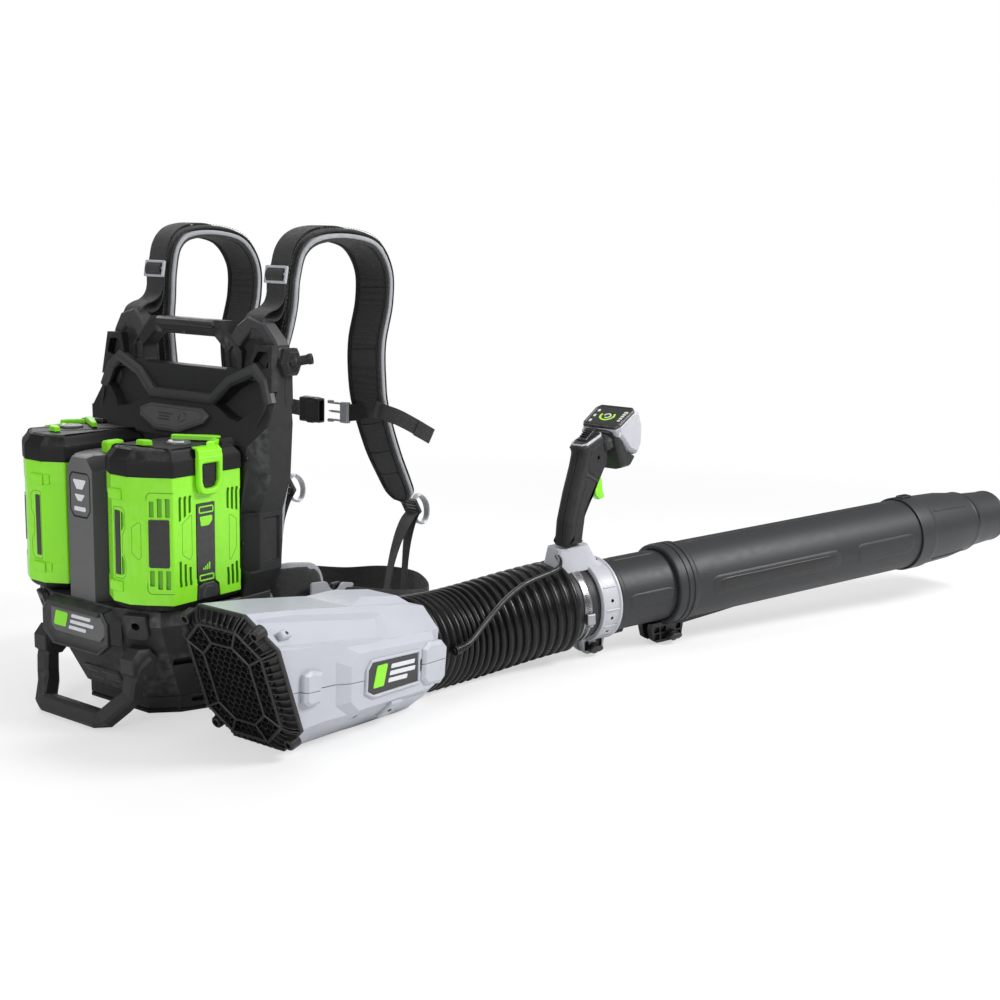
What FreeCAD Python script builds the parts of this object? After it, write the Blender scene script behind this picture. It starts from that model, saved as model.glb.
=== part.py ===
import FreeCAD, Part
import Sketcher
import math
import os
import re

# Backpack leaf blower: batteries and dock on a padded back frame, a fan unit on the
# wearer's right, and a hose, tubes and nozzle running forward with a control handle.
# Frame: millimetres and degrees.  +X is the wearer's forward direction, +Y the wearer's
# left, +Z up; the origin lies on the ground under the plane where the batteries meet
# the back frame.

Vec = FreeCAD.Vector
Placement = FreeCAD.Placement
Rotation = FreeCAD.Rotation
X_AXIS, Y_AXIS, Z_AXIS = Vec(1, 0, 0), Vec(0, 1, 0), Vec(0, 0, 1)
SIDES = ((-1, "right"), (1, "left"))

# ---------------------------------------------------------------------------
# Driving dimensions, held in the sheet "Sizes".
# ---------------------------------------------------------------------------
DIMENSIONS = [
    # batteries: extent behind the origin, outer and inner side, then heights
    ("bat_len", 154), ("bat_out", 156), ("bat_in", 43), ("bat_bot", 168), ("bat_top", 384),
    ("bat_cap_z", 348), ("bat_green_z", 178),
    # dock column, battery shelf and release button
    ("col_back", 147), ("col_top", 366), ("col_half", 26), ("shelf_z", 165.5),
    ("btn_len", 30), ("btn_wid", 15), ("btn_tall", 20),
    # back frame, carry handle, cover
    ("frame_back", 4), ("frame_deep", 80), ("frame_half", 184), ("frame_top", 512),
    ("handle_top", 541), ("handle_thick", 26), ("cover_thick", 4),
    # base: bottom plate, badge plate, foot handle bar
    ("base_thick", 6), ("badge_thick", 12), ("bar_side", 24),
    # padding and straps
    ("pad_thick", 18), ("pad_half", 172), ("belt_wide", 50), ("belt_thick", 3),
    ("strap_thick", 20), ("strap_wide", 68), ("webbing_thick", 2.4),
    # fan unit
    ("fan_y", -270), ("fan_x", -116), ("fan_z", 99.5), ("fan_pitch", 5.2), ("duct_rad", 70),
    ("imp_rad", 64), ("imp_hub", 24), ("imp_wide", 26), ("motor_rad", 27), ("motor_len", 62),
    ("shaft_rad", 4), ("shaft_len", 118), ("shaft_gap", 0.05),
    ("bearing_rad", 9), ("bearing_wide", 7), ("vane_count", 7), ("blade_count", 9),
    ("cant", 24.8), ("grille_thick", 16),
    # hose, from the fan outlet to the start of the tubes
    ("hose_rad", 75), ("hose_wall", 3), ("hose_x", 263), ("hose_z", 65),
    # tubes and nozzle: start point and direction, then sizes along the tube axis
    ("tube_x", 511.7), ("tube_y", -349.9), ("tube_z", 87),
    ("tube_yaw", -22.47), ("tube_pitch", 3.457),
    ("rear_rad", 59.3), ("rear_wall", 2.6), ("rear_len", 330),
    ("front_rad", 65.5), ("front_wall", 2.8), ("front_start", 194), ("front_end", 790),
    ("collar_rad", 69), ("noz_tip", 1021), ("noz_rad", 47.5), ("noz_waist", 52),
    # handle clamp and hose band
    ("clamp_start", 38), ("clamp_wide", 38), ("clamp_rad", 66.5), ("clamp_gap", 0.4),
    ("band_wide", 14), ("band_thick", 1.6),
    # control handle and fasteners
    ("grip_y", -357), ("grip_half", 17), ("head_half", 36), ("screen_thick", 3),
    ("knob_rad", 9), ("stud_rad", 3), ("screw_rad", 3.2),
]
SCRATCH_CELL = "D1"
ALIAS_PATTERN = r"\b(" + "|".join(alias for alias, _ in DIMENSIONS) + r")\b"

doc = FreeCAD.newDocument("BackpackLeafBlower")
sheet = doc.addObject("Spreadsheet::Sheet", "Sizes")
for row, (alias, value) in enumerate(DIMENSIONS, start=1):
    sheet.set("A%d" % row, alias)
    sheet.set("B%d" % row, str(value))
    sheet.setAlias("B%d" % row, alias)
doc.recompute()


def size(alias):
    """Read one driving dimension from the sheet."""
    return float(sheet.get(alias))


def number(value):
    """Number behind a plain value or an expression in aliases."""
    if not isinstance(value, str):
        return float(value)
    sheet.set(SCRATCH_CELL, "=" + value.replace("--", "+"))
    doc.recompute([sheet])
    result = float(sheet.get(SCRATCH_CELL))
    sheet.clear(SCRATCH_CELL)
    return result


def bind(obj, prop, value):
    """Tie a property to the sheet when its value is an expression."""
    if isinstance(value, str):
        obj.setExpression(prop, re.sub(ALIAS_PATTERN, r"Sizes.\1", value))


def set_size(obj, prop, value):
    setattr(obj, prop, number(value))
    bind(obj, prop, value)


# ---------------------------------------------------------------------------
# Document objects.
# ---------------------------------------------------------------------------
nodes = {}          # node name -> object whose Shape is exported


def keep(label, obj):
    """Register an object for export."""
    if label in nodes:
        raise RuntimeError("node twice: " + label)
    obj.Label = label
    nodes[label] = obj
    return obj


def feature(label, shape, placement=None):
    obj = doc.addObject("Part::Feature", "Solid_" + label)
    obj.Label = label
    obj.Shape = shape
    # without a placement the shape keeps its own
    if placement is not None:
        obj.Placement = placement
    return obj


def keep_shape(label, shape, placement=None):
    return keep(label, feature(label, shape, placement))


def fuse(label, base, tools):
    obj = doc.addObject("Part::MultiFuse", "Fuse_" + label)
    obj.Shapes = [base] + tools
    doc.recompute()
    return obj


def cut(label, base, tool):
    obj = doc.addObject("Part::Cut", "Cut_" + label)
    obj.Base = base
    obj.Tool = tool
    doc.recompute()
    return obj


def box_object(name, dimensions, placement):
    obj = doc.addObject("Part::Box", name)
    obj.Length, obj.Width, obj.Height = dimensions
    obj.Placement = placement
    return obj


def cylinder_object(name, radius, height, placement):
    obj = doc.addObject("Part::Cylinder", name)
    set_size(obj, "Radius", radius)
    set_size(obj, "Height", height)
    obj.Placement = placement
    return obj


# ---------------------------------------------------------------------------
# Sketch-based bodies.
# ---------------------------------------------------------------------------
def new_sketch(body, name, role, offset=0.0):
    """Sketch on an origin plane of the body, moved along its normal by offset."""
    sketch = body.newObject("Sketcher::SketchObject", name)
    plane = next(item for item in body.Origin.OriginFeatures if item.Role == role)
    sketch.AttachmentSupport = [(plane, "")]
    sketch.MapMode = "FlatFace"
    if offset:
        sketch.AttachmentOffset = shift(0, 0, offset)
    return sketch


def fix_point(sketch, geometry, point, place):
    """Fix a sketch point by its distances from the origin."""
    for kind, value in zip(("DistanceX", "DistanceY"), place):
        index = sketch.addConstraint(
            Sketcher.Constraint(kind, -1, 1, geometry, point, number(value)))
        bind(sketch, "Constraints[%d]" % index, value)


def polygon(sketch, points):
    """Closed polygon; vertices given as expressions are driven by the sheet."""
    first = sketch.GeometryCount
    corners = [Vec(number(x), number(y), 0) for x, y in points]
    count = len(corners)
    for i in range(count):
        sketch.addGeometry(Part.LineSegment(corners[i], corners[(i + 1) % count]), False)
    for i in range(count):
        sketch.addConstraint(
            Sketcher.Constraint("Coincident", first + i, 2, first + (i + 1) % count, 1))
    for i, place in enumerate(points):
        fix_point(sketch, first + i, 1, place)


def circle(sketch, x, y, radius):
    index = sketch.GeometryCount
    centre = Vec(number(x), number(y), 0)
    sketch.addGeometry(Part.Circle(centre, Z_AXIS, number(radius)), False)
    fix_point(sketch, index, 3, (x, y))
    constraint = sketch.addConstraint(Sketcher.Constraint("Radius", index, number(radius)))
    bind(sketch, "Constraints[%d]" % constraint, radius)


def new_body(label):
    body = doc.addObject("PartDesign::Body", "Body_" + label)
    body.Label = label
    return body


def padded_body(label, role, points, length, holes=(), circles=(), placement=Placement(),
                midplane=False, reverse=False):
    """Body padded from an outline with polygonal and round holes."""
    body = new_body(label)
    sketch = new_sketch(body, "Outline", role)
    for loop in [points] + list(holes):
        polygon(sketch, loop)
    for hole in circles:
        circle(sketch, *hole)
    pad = body.newObject("PartDesign::Pad", "Pad")
    pad.Profile = sketch
    set_size(pad, "Length", length)
    pad.Midplane = midplane
    pad.Reversed = reverse
    body.Tip = pad
    doc.recompute()
    body.Placement = placement
    return body


def revolved_body(label, points, placement):
    """Body turned about local x; the points are (x along the axis, radius)."""
    body = new_body(label)
    sketch = new_sketch(body, "Profile", "XY_Plane")
    polygon(sketch, points)
    turn = body.newObject("PartDesign::Revolution", "Revolution")
    turn.Profile = sketch
    turn.ReferenceAxis = (sketch, ["H_Axis"])
    turn.Angle = 360.0
    body.Tip = turn
    doc.recompute()
    body.Placement = placement
    return body


def pocket(body, name, role, points, length=None, offset=0.0, midplane=False, reverse=False):
    """Cut a polygon into the body; without a length it goes through all."""
    sketch = new_sketch(body, name, role, offset)
    polygon(sketch, points)
    doc.recompute()
    before = body.Shape.Volume
    cutter = body.newObject("PartDesign::Pocket", "Pocket")
    cutter.Profile = sketch
    if length is None:
        cutter.Type = 1
    else:
        cutter.Length = length
    cutter.Midplane = midplane
    cutter.Reversed = reverse
    body.Tip = cutter
    doc.recompute()
    # a pocket that points away from the material is turned round
    if body.Shape.Volume >= before - 1.0:
        cutter.Reversed = not reverse
        doc.recompute()
    if body.Shape.Volume >= before - 1.0:
        raise RuntimeError("pocket cuts nothing in " + body.Label)


# ---------------------------------------------------------------------------
# Plain shapes.
# ---------------------------------------------------------------------------
def shift(x, y, z):
    return Placement(Vec(x, y, z), Rotation())


def box(length, width, height, x, y, z):
    """Box with its lowest corner at x, y, z."""
    return Part.makeBox(length, width, height, Vec(x, y, z))


def rod(radius, length, x, y=0, z=0):
    """Cylinder along +x that starts at x, y, z."""
    return Part.makeCylinder(radius, length, Vec(x, y, z), X_AXIS)


def wire(points):
    return Part.makePolygon([Vec(*p) for p in points] + [Vec(*points[0])])


def loft(sections):
    return Part.makeLoft([wire(section) for section in sections], True, True)


def prism(points, direction):
    return Part.Face([wire(points)]).extrude(direction)


def side_prism(outline, y, width):
    """Prism of an (x, z) outline, from the plane y over a signed width."""
    return prism([(x, y, z) for x, z in outline], Vec(0, width, 0))


def at_height(outline, z):
    return [(x, y, z) for x, y in outline]


def ribbon(path, wide, thick, across):
    """Flat band with one rectangle per path point.

    Width, thickness and the width direction are each constant or a list by point.
    """
    def at(value, i):
        return value[i] if isinstance(value, list) else value

    points = [Vec(*p) for p in path]
    last = len(points) - 1
    sections = []
    for i, point in enumerate(points):
        if i == 0:
            along = points[1] - points[0]
        elif i == last:
            along = points[-1] - points[-2]
        else:
            arriving = point - points[i - 1]
            leaving = points[i + 1] - point
            arriving.normalize()
            leaving.normalize()
            along = arriving + leaving
        along.normalize()
        width_axis = Vec(*at(across, i))
        width_axis = width_axis - along * width_axis.dot(along)
        width_axis.normalize()
        side = width_axis * (at(wide, i) / 2.0)
        rise = along.cross(width_axis) * (at(thick, i) / 2.0)
        sections.append([tuple(point + side + rise), tuple(point - side + rise),
                         tuple(point - side - rise), tuple(point + side - rise)])
    return loft(sections)


def tube_along(points, radius, wall=0.0):
    """Round rod, or tube when a wall is given, along a smooth curve."""
    curve = Part.BSplineCurve()
    curve.interpolate([Vec(*p) for p in points])
    spine = Part.Wire([curve.toShape()])
    start = curve.value(curve.FirstParameter)
    tangent = curve.tangent(curve.FirstParameter)[0]

    def sweep(section_radius):
        section = Part.Wire([Part.makeCircle(section_radius, start, tangent)])
        return spine.makePipeShell([section], True, False)

    outside = sweep(radius)
    if wall <= 0:
        return outside
    return outside.cut(sweep(radius - wall))


def mirrored(shape):
    """Mirror image on the other side of the plane y = 0."""
    return shape.mirror(Vec(0, 0, 0), Y_AXIS)


def with_mirror(shape):
    return Part.makeCompound([shape, mirrored(shape)])


def largest_solid(shape):
    return max(shape.Solids, key=lambda solid: solid.Volume)


def chamfered(solid, width, edges):
    # guards against a chamfer the kernel cannot build: the edges then stay sharp
    try:
        return solid.makeChamfer(width, edges)
    except Exception:
        return solid


# ---------------------------------------------------------------------------
# Batteries: green case, black end mouldings and a latch on each.
# ---------------------------------------------------------------------------
BATTERY_MID_Y = 100


def battery_outline(side, grow):
    """Plan outline (x, y) as expressions, grown outwards by the given amount."""
    right = [("-1-%g" % grow, "-bat_in"),
             ("-1-%g" % grow, "-bat_out-%g" % grow),
             ("-122", "-bat_out-%g" % grow),
             ("-134-%g" % (.7 * grow), "-bat_out+16-%g" % (.7 * grow)),
             ("-bat_len-%g" % grow, "-bat_out+50-%g" % (.3 * grow)),
             ("-bat_len-%g" % grow, "-bat_in-30+%g" % (.2 * grow)),
             ("-bat_len+17-%g" % (.5 * grow), "-bat_in")]
    if side < 0:
        return right
    return [(x, "-(%s)" % y) for x, y in right]


def battery_section(side, grow):
    return [(number(x), number(y)) for x, y in battery_outline(side, grow)]


def battery_case(side, tag):
    case = padded_body("battery_case_" + tag, "XY_Plane", battery_outline(side, 0.0),
                       "bat_cap_z-bat_green_z", placement=shift(0, 0, size("bat_green_z")))
    # cell bay inside the case, open at the top under the end moulding
    near, far = side * 58, side * 142
    pocket(case, "CellBay", "XY_Plane",
           [(-14, near), (-14, far), (-118, far), (-140, far * 0.72), (-140, near * 1.3)],
           offset=8.0, reverse=True)
    keep("battery_case_" + tag, case)


def battery_ends(side, tag):
    top = size("bat_top")
    outline = battery_section(side, -1.2)
    middle = side * BATTERY_MID_Y
    inset = [(x * 0.93 - 2.5, y - (y - middle) * 0.10) for x, y in outline]
    cap = loft([at_height(outline, size("bat_cap_z")), at_height(outline, top - 12),
                at_height(inset, top)])
    # raised ribs on top: one across, one running forward
    ribs = box(14, 40, 8, -105, middle - 20, top)
    ribs = ribs.fuse(box(60, 10, 8, -91, side * 78 - 5, top))
    cap = cap.fuse(ribs).removeSplitter()
    bottom = loft([at_height(battery_section(side, -3.0), size("bat_bot")),
                   at_height(outline, size("bat_green_z"))])
    keep_shape("battery_ends_" + tag, Part.makeCompound([cap, bottom]))


# latch outline and window, columns x, z
LATCH_OUTLINE = [(-84, 322), (-44, 322), (-40, 330), (-40, 376), (-88, 376), (-88, 330)]
LATCH_WINDOW = [(-76, 338), (-52, 338), (-52, 364), (-76, 364)]

for side, tag in SIDES:
    battery_case(side, tag)
    battery_ends(side, tag)
    # the latch stands on the outer face
    keep("latch_" + tag,
         padded_body("latch_" + tag, "XZ_Plane", LATCH_OUTLINE, 9.0, holes=[LATCH_WINDOW],
                     placement=shift(0, side * (size("bat_out") + 1.0), 0),
                     reverse=side > 0))


# ---------------------------------------------------------------------------
# Dock column between the batteries, its release button and contact blocks.
# ---------------------------------------------------------------------------
def button_outline(clearance):
    """Rectangle of the release button, centred on x = -90, as expressions."""
    rear, front = "-90-btn_len/2-%g" % clearance, "-90+btn_len/2+%g" % clearance
    right, left = "-btn_wid/2-%g" % clearance, "btn_wid/2+%g" % clearance
    return [(rear, right), (front, right), (front, left), (rear, left)]


def dock_column():
    column = padded_body(
        "dock_column", "XY_Plane",
        [("-col_back", "-col_half"), ("-col_back", "col_half"),
         (-125, 41), (-1, 41), (-1, -41), (-125, -41)],
        "col_top-shelf_z", placement=shift(0, 0, size("shelf_z")))
    pocket(column, "ButtonWell", "XY_Plane", button_outline(0.5), 14.0,
           offset=size("col_top") - size("shelf_z"))
    pocket(column, "Core", "XY_Plane",
           [(-135, -22), (-120, -33), (-60, -33), (-60, 33), (-120, 33), (-135, 22)],
           150.0, reverse=True)
    pocket(column, "BadgeRecess", "YZ_Plane",
           [(-18, 118), (18, 118), (21, 124), (21, 160),
            (18, 166), (-18, 166), (-21, 160), (-21, 124)],
           1.5, offset=-size("col_back"), reverse=True)
    keep("dock_column", column)


dock_column()
keep("release_button", padded_body("release_button", "XY_Plane", button_outline(0), "btn_tall",
                                   placement=shift(0, 0, size("col_top") - 7)))
keep_shape("dock_terminals",
           Part.makeCompound([box(40, 1.4, 60, -50, side * 42 - 0.7, 190) for side in (-1, 1)]))


# ---------------------------------------------------------------------------
# Base: hollow housing under the batteries, bottom plate, controller, raised badge
# plate and foot handle.
# ---------------------------------------------------------------------------
def two_sided(right):
    """Full (x, y) outline from its right-hand half."""
    return right + [(x, -y) for x, y in reversed(right)]


BASE_LOW = two_sided([(-80, -54), (-54, -86), (-14, -103), (64, -112)])
BASE_MID = two_sided([(-132, -66), (-96, -112), (-30, -136), (64, -140)])
BASE_TOP = two_sided([(-148, -66), (-122, -128), (-60, -150), (64, -152)])


def hollow_section(outline, x_scale, y_scale, z):
    """Inner section: scaled down, with 6 more taken off the front."""
    return [(x * x_scale - (6 if x > 0 else 0), y * y_scale, z) for x, y in outline]


base_block = loft([at_height(BASE_LOW, size("base_thick")), at_height(BASE_MID, 96),
                   at_height(BASE_TOP, 150), at_height(BASE_TOP, size("shelf_z"))])
base_hollow = loft([hollow_section(BASE_LOW, .86, .86, size("base_thick")),
                    hollow_section(BASE_MID, .90, .92, 96),
                    hollow_section(BASE_TOP, .92, .93, 148)])
keep_shape("base_housing", base_block.cut(base_hollow))
keep("base_plate",
     padded_body("base_plate", "XY_Plane", BASE_LOW, "base_thick",
                 circles=[(40, 80, "screw_rad"), (40, -80, "screw_rad"),
                          (-50, 50, "screw_rad"), (-50, -50, "screw_rad")]))
keep("controller_board",
     padded_body("controller_board", "XY_Plane", [(-40, -60), (44, -60), (44, 60), (-40, 60)],
                 22.0, placement=shift(0, 0, size("base_thick"))))


def base_badge_plate():
    rear_x = -163
    plate = padded_body(
        "base_badge_plate", "YZ_Plane",
        [(-57, 160), (-69, 145), (-69, 115), (-48, 98),
         (48, 98), (69, 115), (69, 145), (57, 160)],
        "badge_thick", placement=shift(rear_x, 0, 0))
    pocket(plate, "Recess", "YZ_Plane",
           [(-50, 152), (-60, 141), (-60, 118), (-43, 105),
            (43, 105), (60, 118), (60, 141), (50, 152)],
           2.5, reverse=True)

    # wedge that ties the plate to the housing
    def wedge_section(x, low_z):
        return [(x, -48, low_z), (x, 48, low_z), (x, 48, 158), (x, -48, 158)]

    wedge = loft([wedge_section(rear_x + size("badge_thick"), 104), wedge_section(-141, 138)])
    web = feature("badge_web", wedge.cut(base_block))
    keep("base_badge_plate", fuse("badge", plate, [web]))


def foot_handle():
    # right half of the square bar, from the housing down to the middle
    path = [(-118, -96, 92), (-136, -94, 78), (-138, -90, 44), (-168, -62, 13), (-168, 0, 12)]
    width_directions = [(0, 1, 0.35), (0, 1, 0.2), (0.3, 1, -.2), (1, 0.7, 0.3), (1, 0, 0)]
    # end block sections, columns y, z; y is mirrored for the right-hand block
    rear_end = [(82, 74), (110, 74), (116, 92), (110, 108), (84, 108)]
    front_end = [(84, 74), (108, 74), (113, 92), (108, 106), (86, 106)]
    bar_side = size("bar_side")
    half = ribbon(path, bar_side, bar_side, width_directions)
    handle = half.fuse(mirrored(half)).removeSplitter()
    for side in (-1, 1):
        handle = handle.fuse(loft([[(-150, side * y, z) for y, z in rear_end],
                                   [(-118, side * y, z) for y, z in front_end]]))
    keep_shape("foot_handle", largest_solid(handle.cut(base_block)))


base_badge_plate()
foot_handle()


# ---------------------------------------------------------------------------
# Back frame, carry handle, cover and hook bracket.
# ---------------------------------------------------------------------------
def back_frame():
    """Moulding whose upper part leans forward, hollow on the wearer's side."""
    # columns y, z
    outline = [(0, "shelf_z"), ("frame_half-32", "shelf_z"), ("frame_half-16", 200),
               ("frame_half-16", 283), ("frame_half-2", 330), ("frame_half", 405),
               ("frame_half-6", 440), ("frame_half-13", "frame_top"),
               ("frame_half-44", "frame_top"), (128, 478), (92, 458), (63, 429),
               (-63, 429), (-92, 458), (-128, 478), ("-frame_half+44", "frame_top"),
               ("-frame_half+13", "frame_top"), ("-frame_half+6", 440),
               ("-frame_half", 405), ("-frame_half+2", 330), ("-frame_half+16", 283),
               ("-frame_half+16", 200), ("-frame_half+32", "shelf_z")]
    frame = padded_body("back_frame", "YZ_Plane", outline, "frame_deep",
                        placement=shift(size("frame_back"), 0, 0))
    # leaning rear face above the batteries, then leaning front face
    pocket(frame, "RearLean", "XZ_Plane",
           [(-10, 377), (1, 377), (26, 418), (30, 432), (40, 520), (-10, 520)],
           500.0, midplane=True)
    pocket(frame, "FrontLean", "XZ_Plane",
           [(58, 150), (66, 400), (74, 515), (95, 515), (95, 150)],
           500.0, midplane=True)
    pocket(frame, "Hollow", "YZ_Plane",
           [("-frame_half+46", 185), ("-frame_half+30", 300), ("-frame_half+18", 400),
            (-95, 415), (95, 415), ("frame_half-18", 400), ("frame_half-30", 300),
            ("frame_half-46", 185)],
           60.0, offset=28.0, reverse=True)
    return keep("back_frame", frame)


def carry_handle(frame):
    handle = padded_body(
        "carry_handle", "YZ_Plane",
        [(-90, 459), (-63, 430), (63, 430), (90, 459), (112, 470), (112, 500),
         (72, "handle_top"), (-72, "handle_top"), (-112, 500), (-112, 470)],
        "handle_thick", placement=shift(40, 0, 0))
    pocket(handle, "GripOpening", "YZ_Plane",
           [(-86, 474), (86, 474), (88, 496), (62, 518), (-62, 518), (-88, 496)],
           60.0, midplane=True)
    arms = [box_object("ArmRight", (22, 44, 20), shift(52, -144, 500)),
            box_object("ArmLeft", (22, 44, 20), shift(52, 100, 500))]
    handle = fuse("handle_arms", handle, arms)
    # the handle stops at the frame's surface
    keep("carry_handle",
         cut("carry_handle", handle, feature("FrameBlock", frame.Shape.copy())))


def frame_cover():
    """Plate on the leaning rear face of the frame."""
    lean = 31.4
    angle = math.radians(lean)
    seat = Vec(17.6, 0, 397.6)
    normal = Vec(-math.cos(angle), 0, math.sin(angle))
    lift = size("cover_thick") + 0.2
    placement = Placement(seat + normal * lift, Rotation(Y_AXIS, lean))
    keep("frame_cover",
         padded_body("frame_cover", "YZ_Plane",
                     [(-54, 418), (-72, 409), (-66, 396), (-25, 378),
                      (25, 378), (66, 396), (72, 409), (54, 418)],
                     "cover_thick", placement=placement.multiply(shift(0, 0, -seat.z))))


def hook_bracket(frame):
    """Hexagonal boss with a short tube stub on the right shoulder."""
    # columns x, z
    inner_hexagon = [(60, 470), (84, 470), (92, 488), (84, 508), (60, 508), (52, 488)]
    outer_hexagon = [(64, 474), (80, 474), (86, 488), (80, 502), (64, 502), (58, 488)]
    stub_axis = Vec(0.55, -0.8, 0.2)
    bracket = loft([[(x, -172.5, z) for x, z in inner_hexagon],
                    [(x, -186, z) for x, z in outer_hexagon]])
    bracket = bracket.fuse(Part.makeCylinder(7, 26, Vec(72, -185, 490), stub_axis))
    bracket = bracket.cut(Part.makeCylinder(4, 30, Vec(74, -188, 491), stub_axis))
    keep_shape("hook_bracket", bracket.cut(frame.Shape))


frame = back_frame()
carry_handle(frame)
frame_cover()
hook_bracket(frame)

# ---------------------------------------------------------------------------
# Padding and webbing.  Paths have columns x, y, z.
# ---------------------------------------------------------------------------
keep("back_pad",
     padded_body("back_pad", "XZ_Plane",
                 [(66.5, 182), (73, 400), (75.5, 430), (75.5 + 14, 430),
                  ("73+pad_thick", 400), ("66.5+pad_thick", 190)],
                 "2*pad_half", midplane=True))

HIP_PATH = [(88, -166, 150), (135, -178, 148), (180, -180, 146)]
keep_shape("hip_pads",
           with_mirror(ribbon(HIP_PATH, [70, 76, 56], [12, 14, 10], (0, 0, 1))))

BELT_PATH = [(191, -181, 146), (250, -174, 140), (320, -152, 128),
             (375, -115, 116), (410, -62, 106), (424, 0, 102)]
belt_half = ribbon(BELT_PATH, size("belt_wide"), size("belt_thick"), (0, 0, 1))
keep_shape("waist_belt", belt_half.fuse(mirrored(belt_half)))


def shoulder_pads():
    full = size("strap_wide")
    # columns x, y, z, width
    stations = [(112, -126, 560, 46), (114, -127, 600, 48), (124, -129, 636, 52),
                (150, -133, 657, 60), (205, -137, 661, 66), (258, -138, 645, full),
                (287, -138, 605, full), (289, -138, 560, full), (280, -138, 505, full),
                (281, -138, 450, full), (290, -138, 405, 66), (318, -138, 340, 64),
                (348, -138, 290, 58), (372, -138, 252, 40)]
    thickness = [18] + [size("strap_thick")] * 12 + [14]
    right = ribbon([station[:3] for station in stations],
                   [station[3] for station in stations], thickness, (0, 1, 0))
    keep_shape("shoulder_pad_right", right)
    keep_shape("shoulder_pad_left", mirrored(right))


def strap_webbing():
    thick = size("webbing_thick")
    top_loop = ribbon([(98, -126, 628), (94, -126, 590), (88, -126, 556),
                       (76, -126, 536), (64, -126, 523)], 38, thick, (0, 1, 0))
    lower_strap = ribbon([(397, -139, 213), (384, -142, 194), (368, -146, 172),
                          (356, -148, 156)], 28, thick, (0, 1, 0))
    chest = ribbon([(266, 102, 398), (264, 60, 397), (264, 20, 396), (264, -14, 395)],
                   25, thick, (0, 0, 1))
    loose_end = ribbon([(266, -174, 404), (282, -196, 396), (304, -214, 380),
                        (322, -228, 366)], 25, thick, (0, 0, 1))
    keep_shape("strap_webbing",
               Part.makeCompound([top_loop, mirrored(top_loop), lower_strap,
                                  mirrored(lower_strap), chest, loose_end]))


def strap_fittings():
    buckle = box(3.0, 46, 28, 88.2, -149, 594).cut(box(9, 34, 16, 86, -143, 600))
    keep_shape("strap_buckles", with_mirror(buckle))

    # ring outline and opening, columns x, z
    ring_outline = [(396, 252), (404, 254), (424, 232), (430, 216),
                    (424, 204), (412, 204), (408, 214)]
    ring_opening = [(402, 244), (406, 244), (419, 228), (423, 216), (419, 210), (414, 211)]
    ring = side_prism(ring_outline, -151, 26).cut(side_prism(ring_opening, -152, 28))
    keep_shape("strap_rings", with_mirror(ring))

    keep_shape("chest_buckle_female",
               box(12, 42, 30, 258, -58, 380).cut(box(7, 34, 24, 260.5, -60, 383)))
    male = box(6, 20, 24, 261, -103, 383)
    # prongs, columns length, height, z
    for length, height, z in ((26, 5, 383), (26, 5, 402), (22, 4, 393)):
        male = male.fuse(box(6, length, height, 261, -84, z))
    keep_shape("chest_buckle_male", male.removeSplitter())


shoulder_pads()
strap_webbing()
strap_fittings()

# ---------------------------------------------------------------------------
# Fan unit.  Local x runs along the fan axis from the intake to the hose.
# ---------------------------------------------------------------------------
FAN = Placement(Vec(size("fan_x"), size("fan_y"), size("fan_z")),
                Rotation(Y_AXIS, size("fan_pitch")))
Z_TO_X = Rotation(Y_AXIS, 90)
CANT = math.radians(size("cant"))


def octagon(half_y, top, bottom, cut_y, cut_z):
    """Rectangle with cut corners, columns y, z."""
    return [(-half_y, -bottom + cut_z), (-half_y, top - cut_z), (-half_y + cut_y, top),
            (half_y - cut_y, top), (half_y, top - cut_z), (half_y, -bottom + cut_z),
            (half_y - cut_y, -bottom), (-half_y + cut_y, -bottom)]


def section_at(x, outline, slope=0.0):
    """(y, z) outline at x, its plane leaning back by the slope."""
    return [(x - slope * z, y, z) for y, z in outline]


def canted_loft(stations):
    """Loft of octagons; columns x, half_y, top, bottom, cut_y, cut_z, share of the cant."""
    slope = math.tan(CANT)
    return loft([section_at(station[0], octagon(*station[1:6]), slope * station[6])
                 for station in stations])


def fan_housing():
    shell = canted_loft([(8, 82, 97, 93, 42, 40, 1.0), (60, 84, 98, 88, 42, 42, 0.4),
                         (150, 84, 97, 84, 42, 42, 0), (300, 80, 92, 82, 36, 36, 0),
                         (352, 76, 82, 76, 32, 32, 0)])
    intake = canted_loft([(-60, 70, 84, 80, 34, 32, 1.0), (20, 70, 84, 80, 34, 32, 1.0),
                          (60, 69.9, 70, 70, 41, 41, 0)])
    duct = rod(size("duct_rad"), 420, -60)
    shell = shell.cut(intake).cut(duct)
    shell = shell.fuse(rod(size("hose_rad") - 4, 40, 345).cut(duct))
    # two halves with a 0.2 gap between them
    for tag, low_z in (("upper", 0.1), ("lower", -200.1)):
        half = shell.common(box(600, 300, 200, -100, -150, low_z))
        keep_shape("fan_housing_" + tag, half.removeSplitter(), FAN)


def grille_bars():
    """Lattice of bars and an octagonal ring, trimmed to the rim's window."""
    bars = box(4, 3, 186, 0, -1.5, -93)
    for y in (-48, -24, 24, 48):
        bars = bars.fuse(box(4, 3, 150, 0, y - 1.5, -75))
    for z in (-66, -33, 0, 33, 66):
        bars = bars.fuse(box(4, 146, 3, 0, -73, z - 1.5))
    ring = prism(section_at(0, octagon(46, 66, 66, 22, 22)), Vec(6, 0, 0))
    ring = ring.cut(prism(section_at(-1, octagon(43, 63, 63, 21, 21)), Vec(9, 0, 0)))
    bars = bars.fuse(ring)
    return bars.common(prism(section_at(-1, octagon(73, 93, 93, 38, 36)), Vec(12, 0, 0)))


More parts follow.
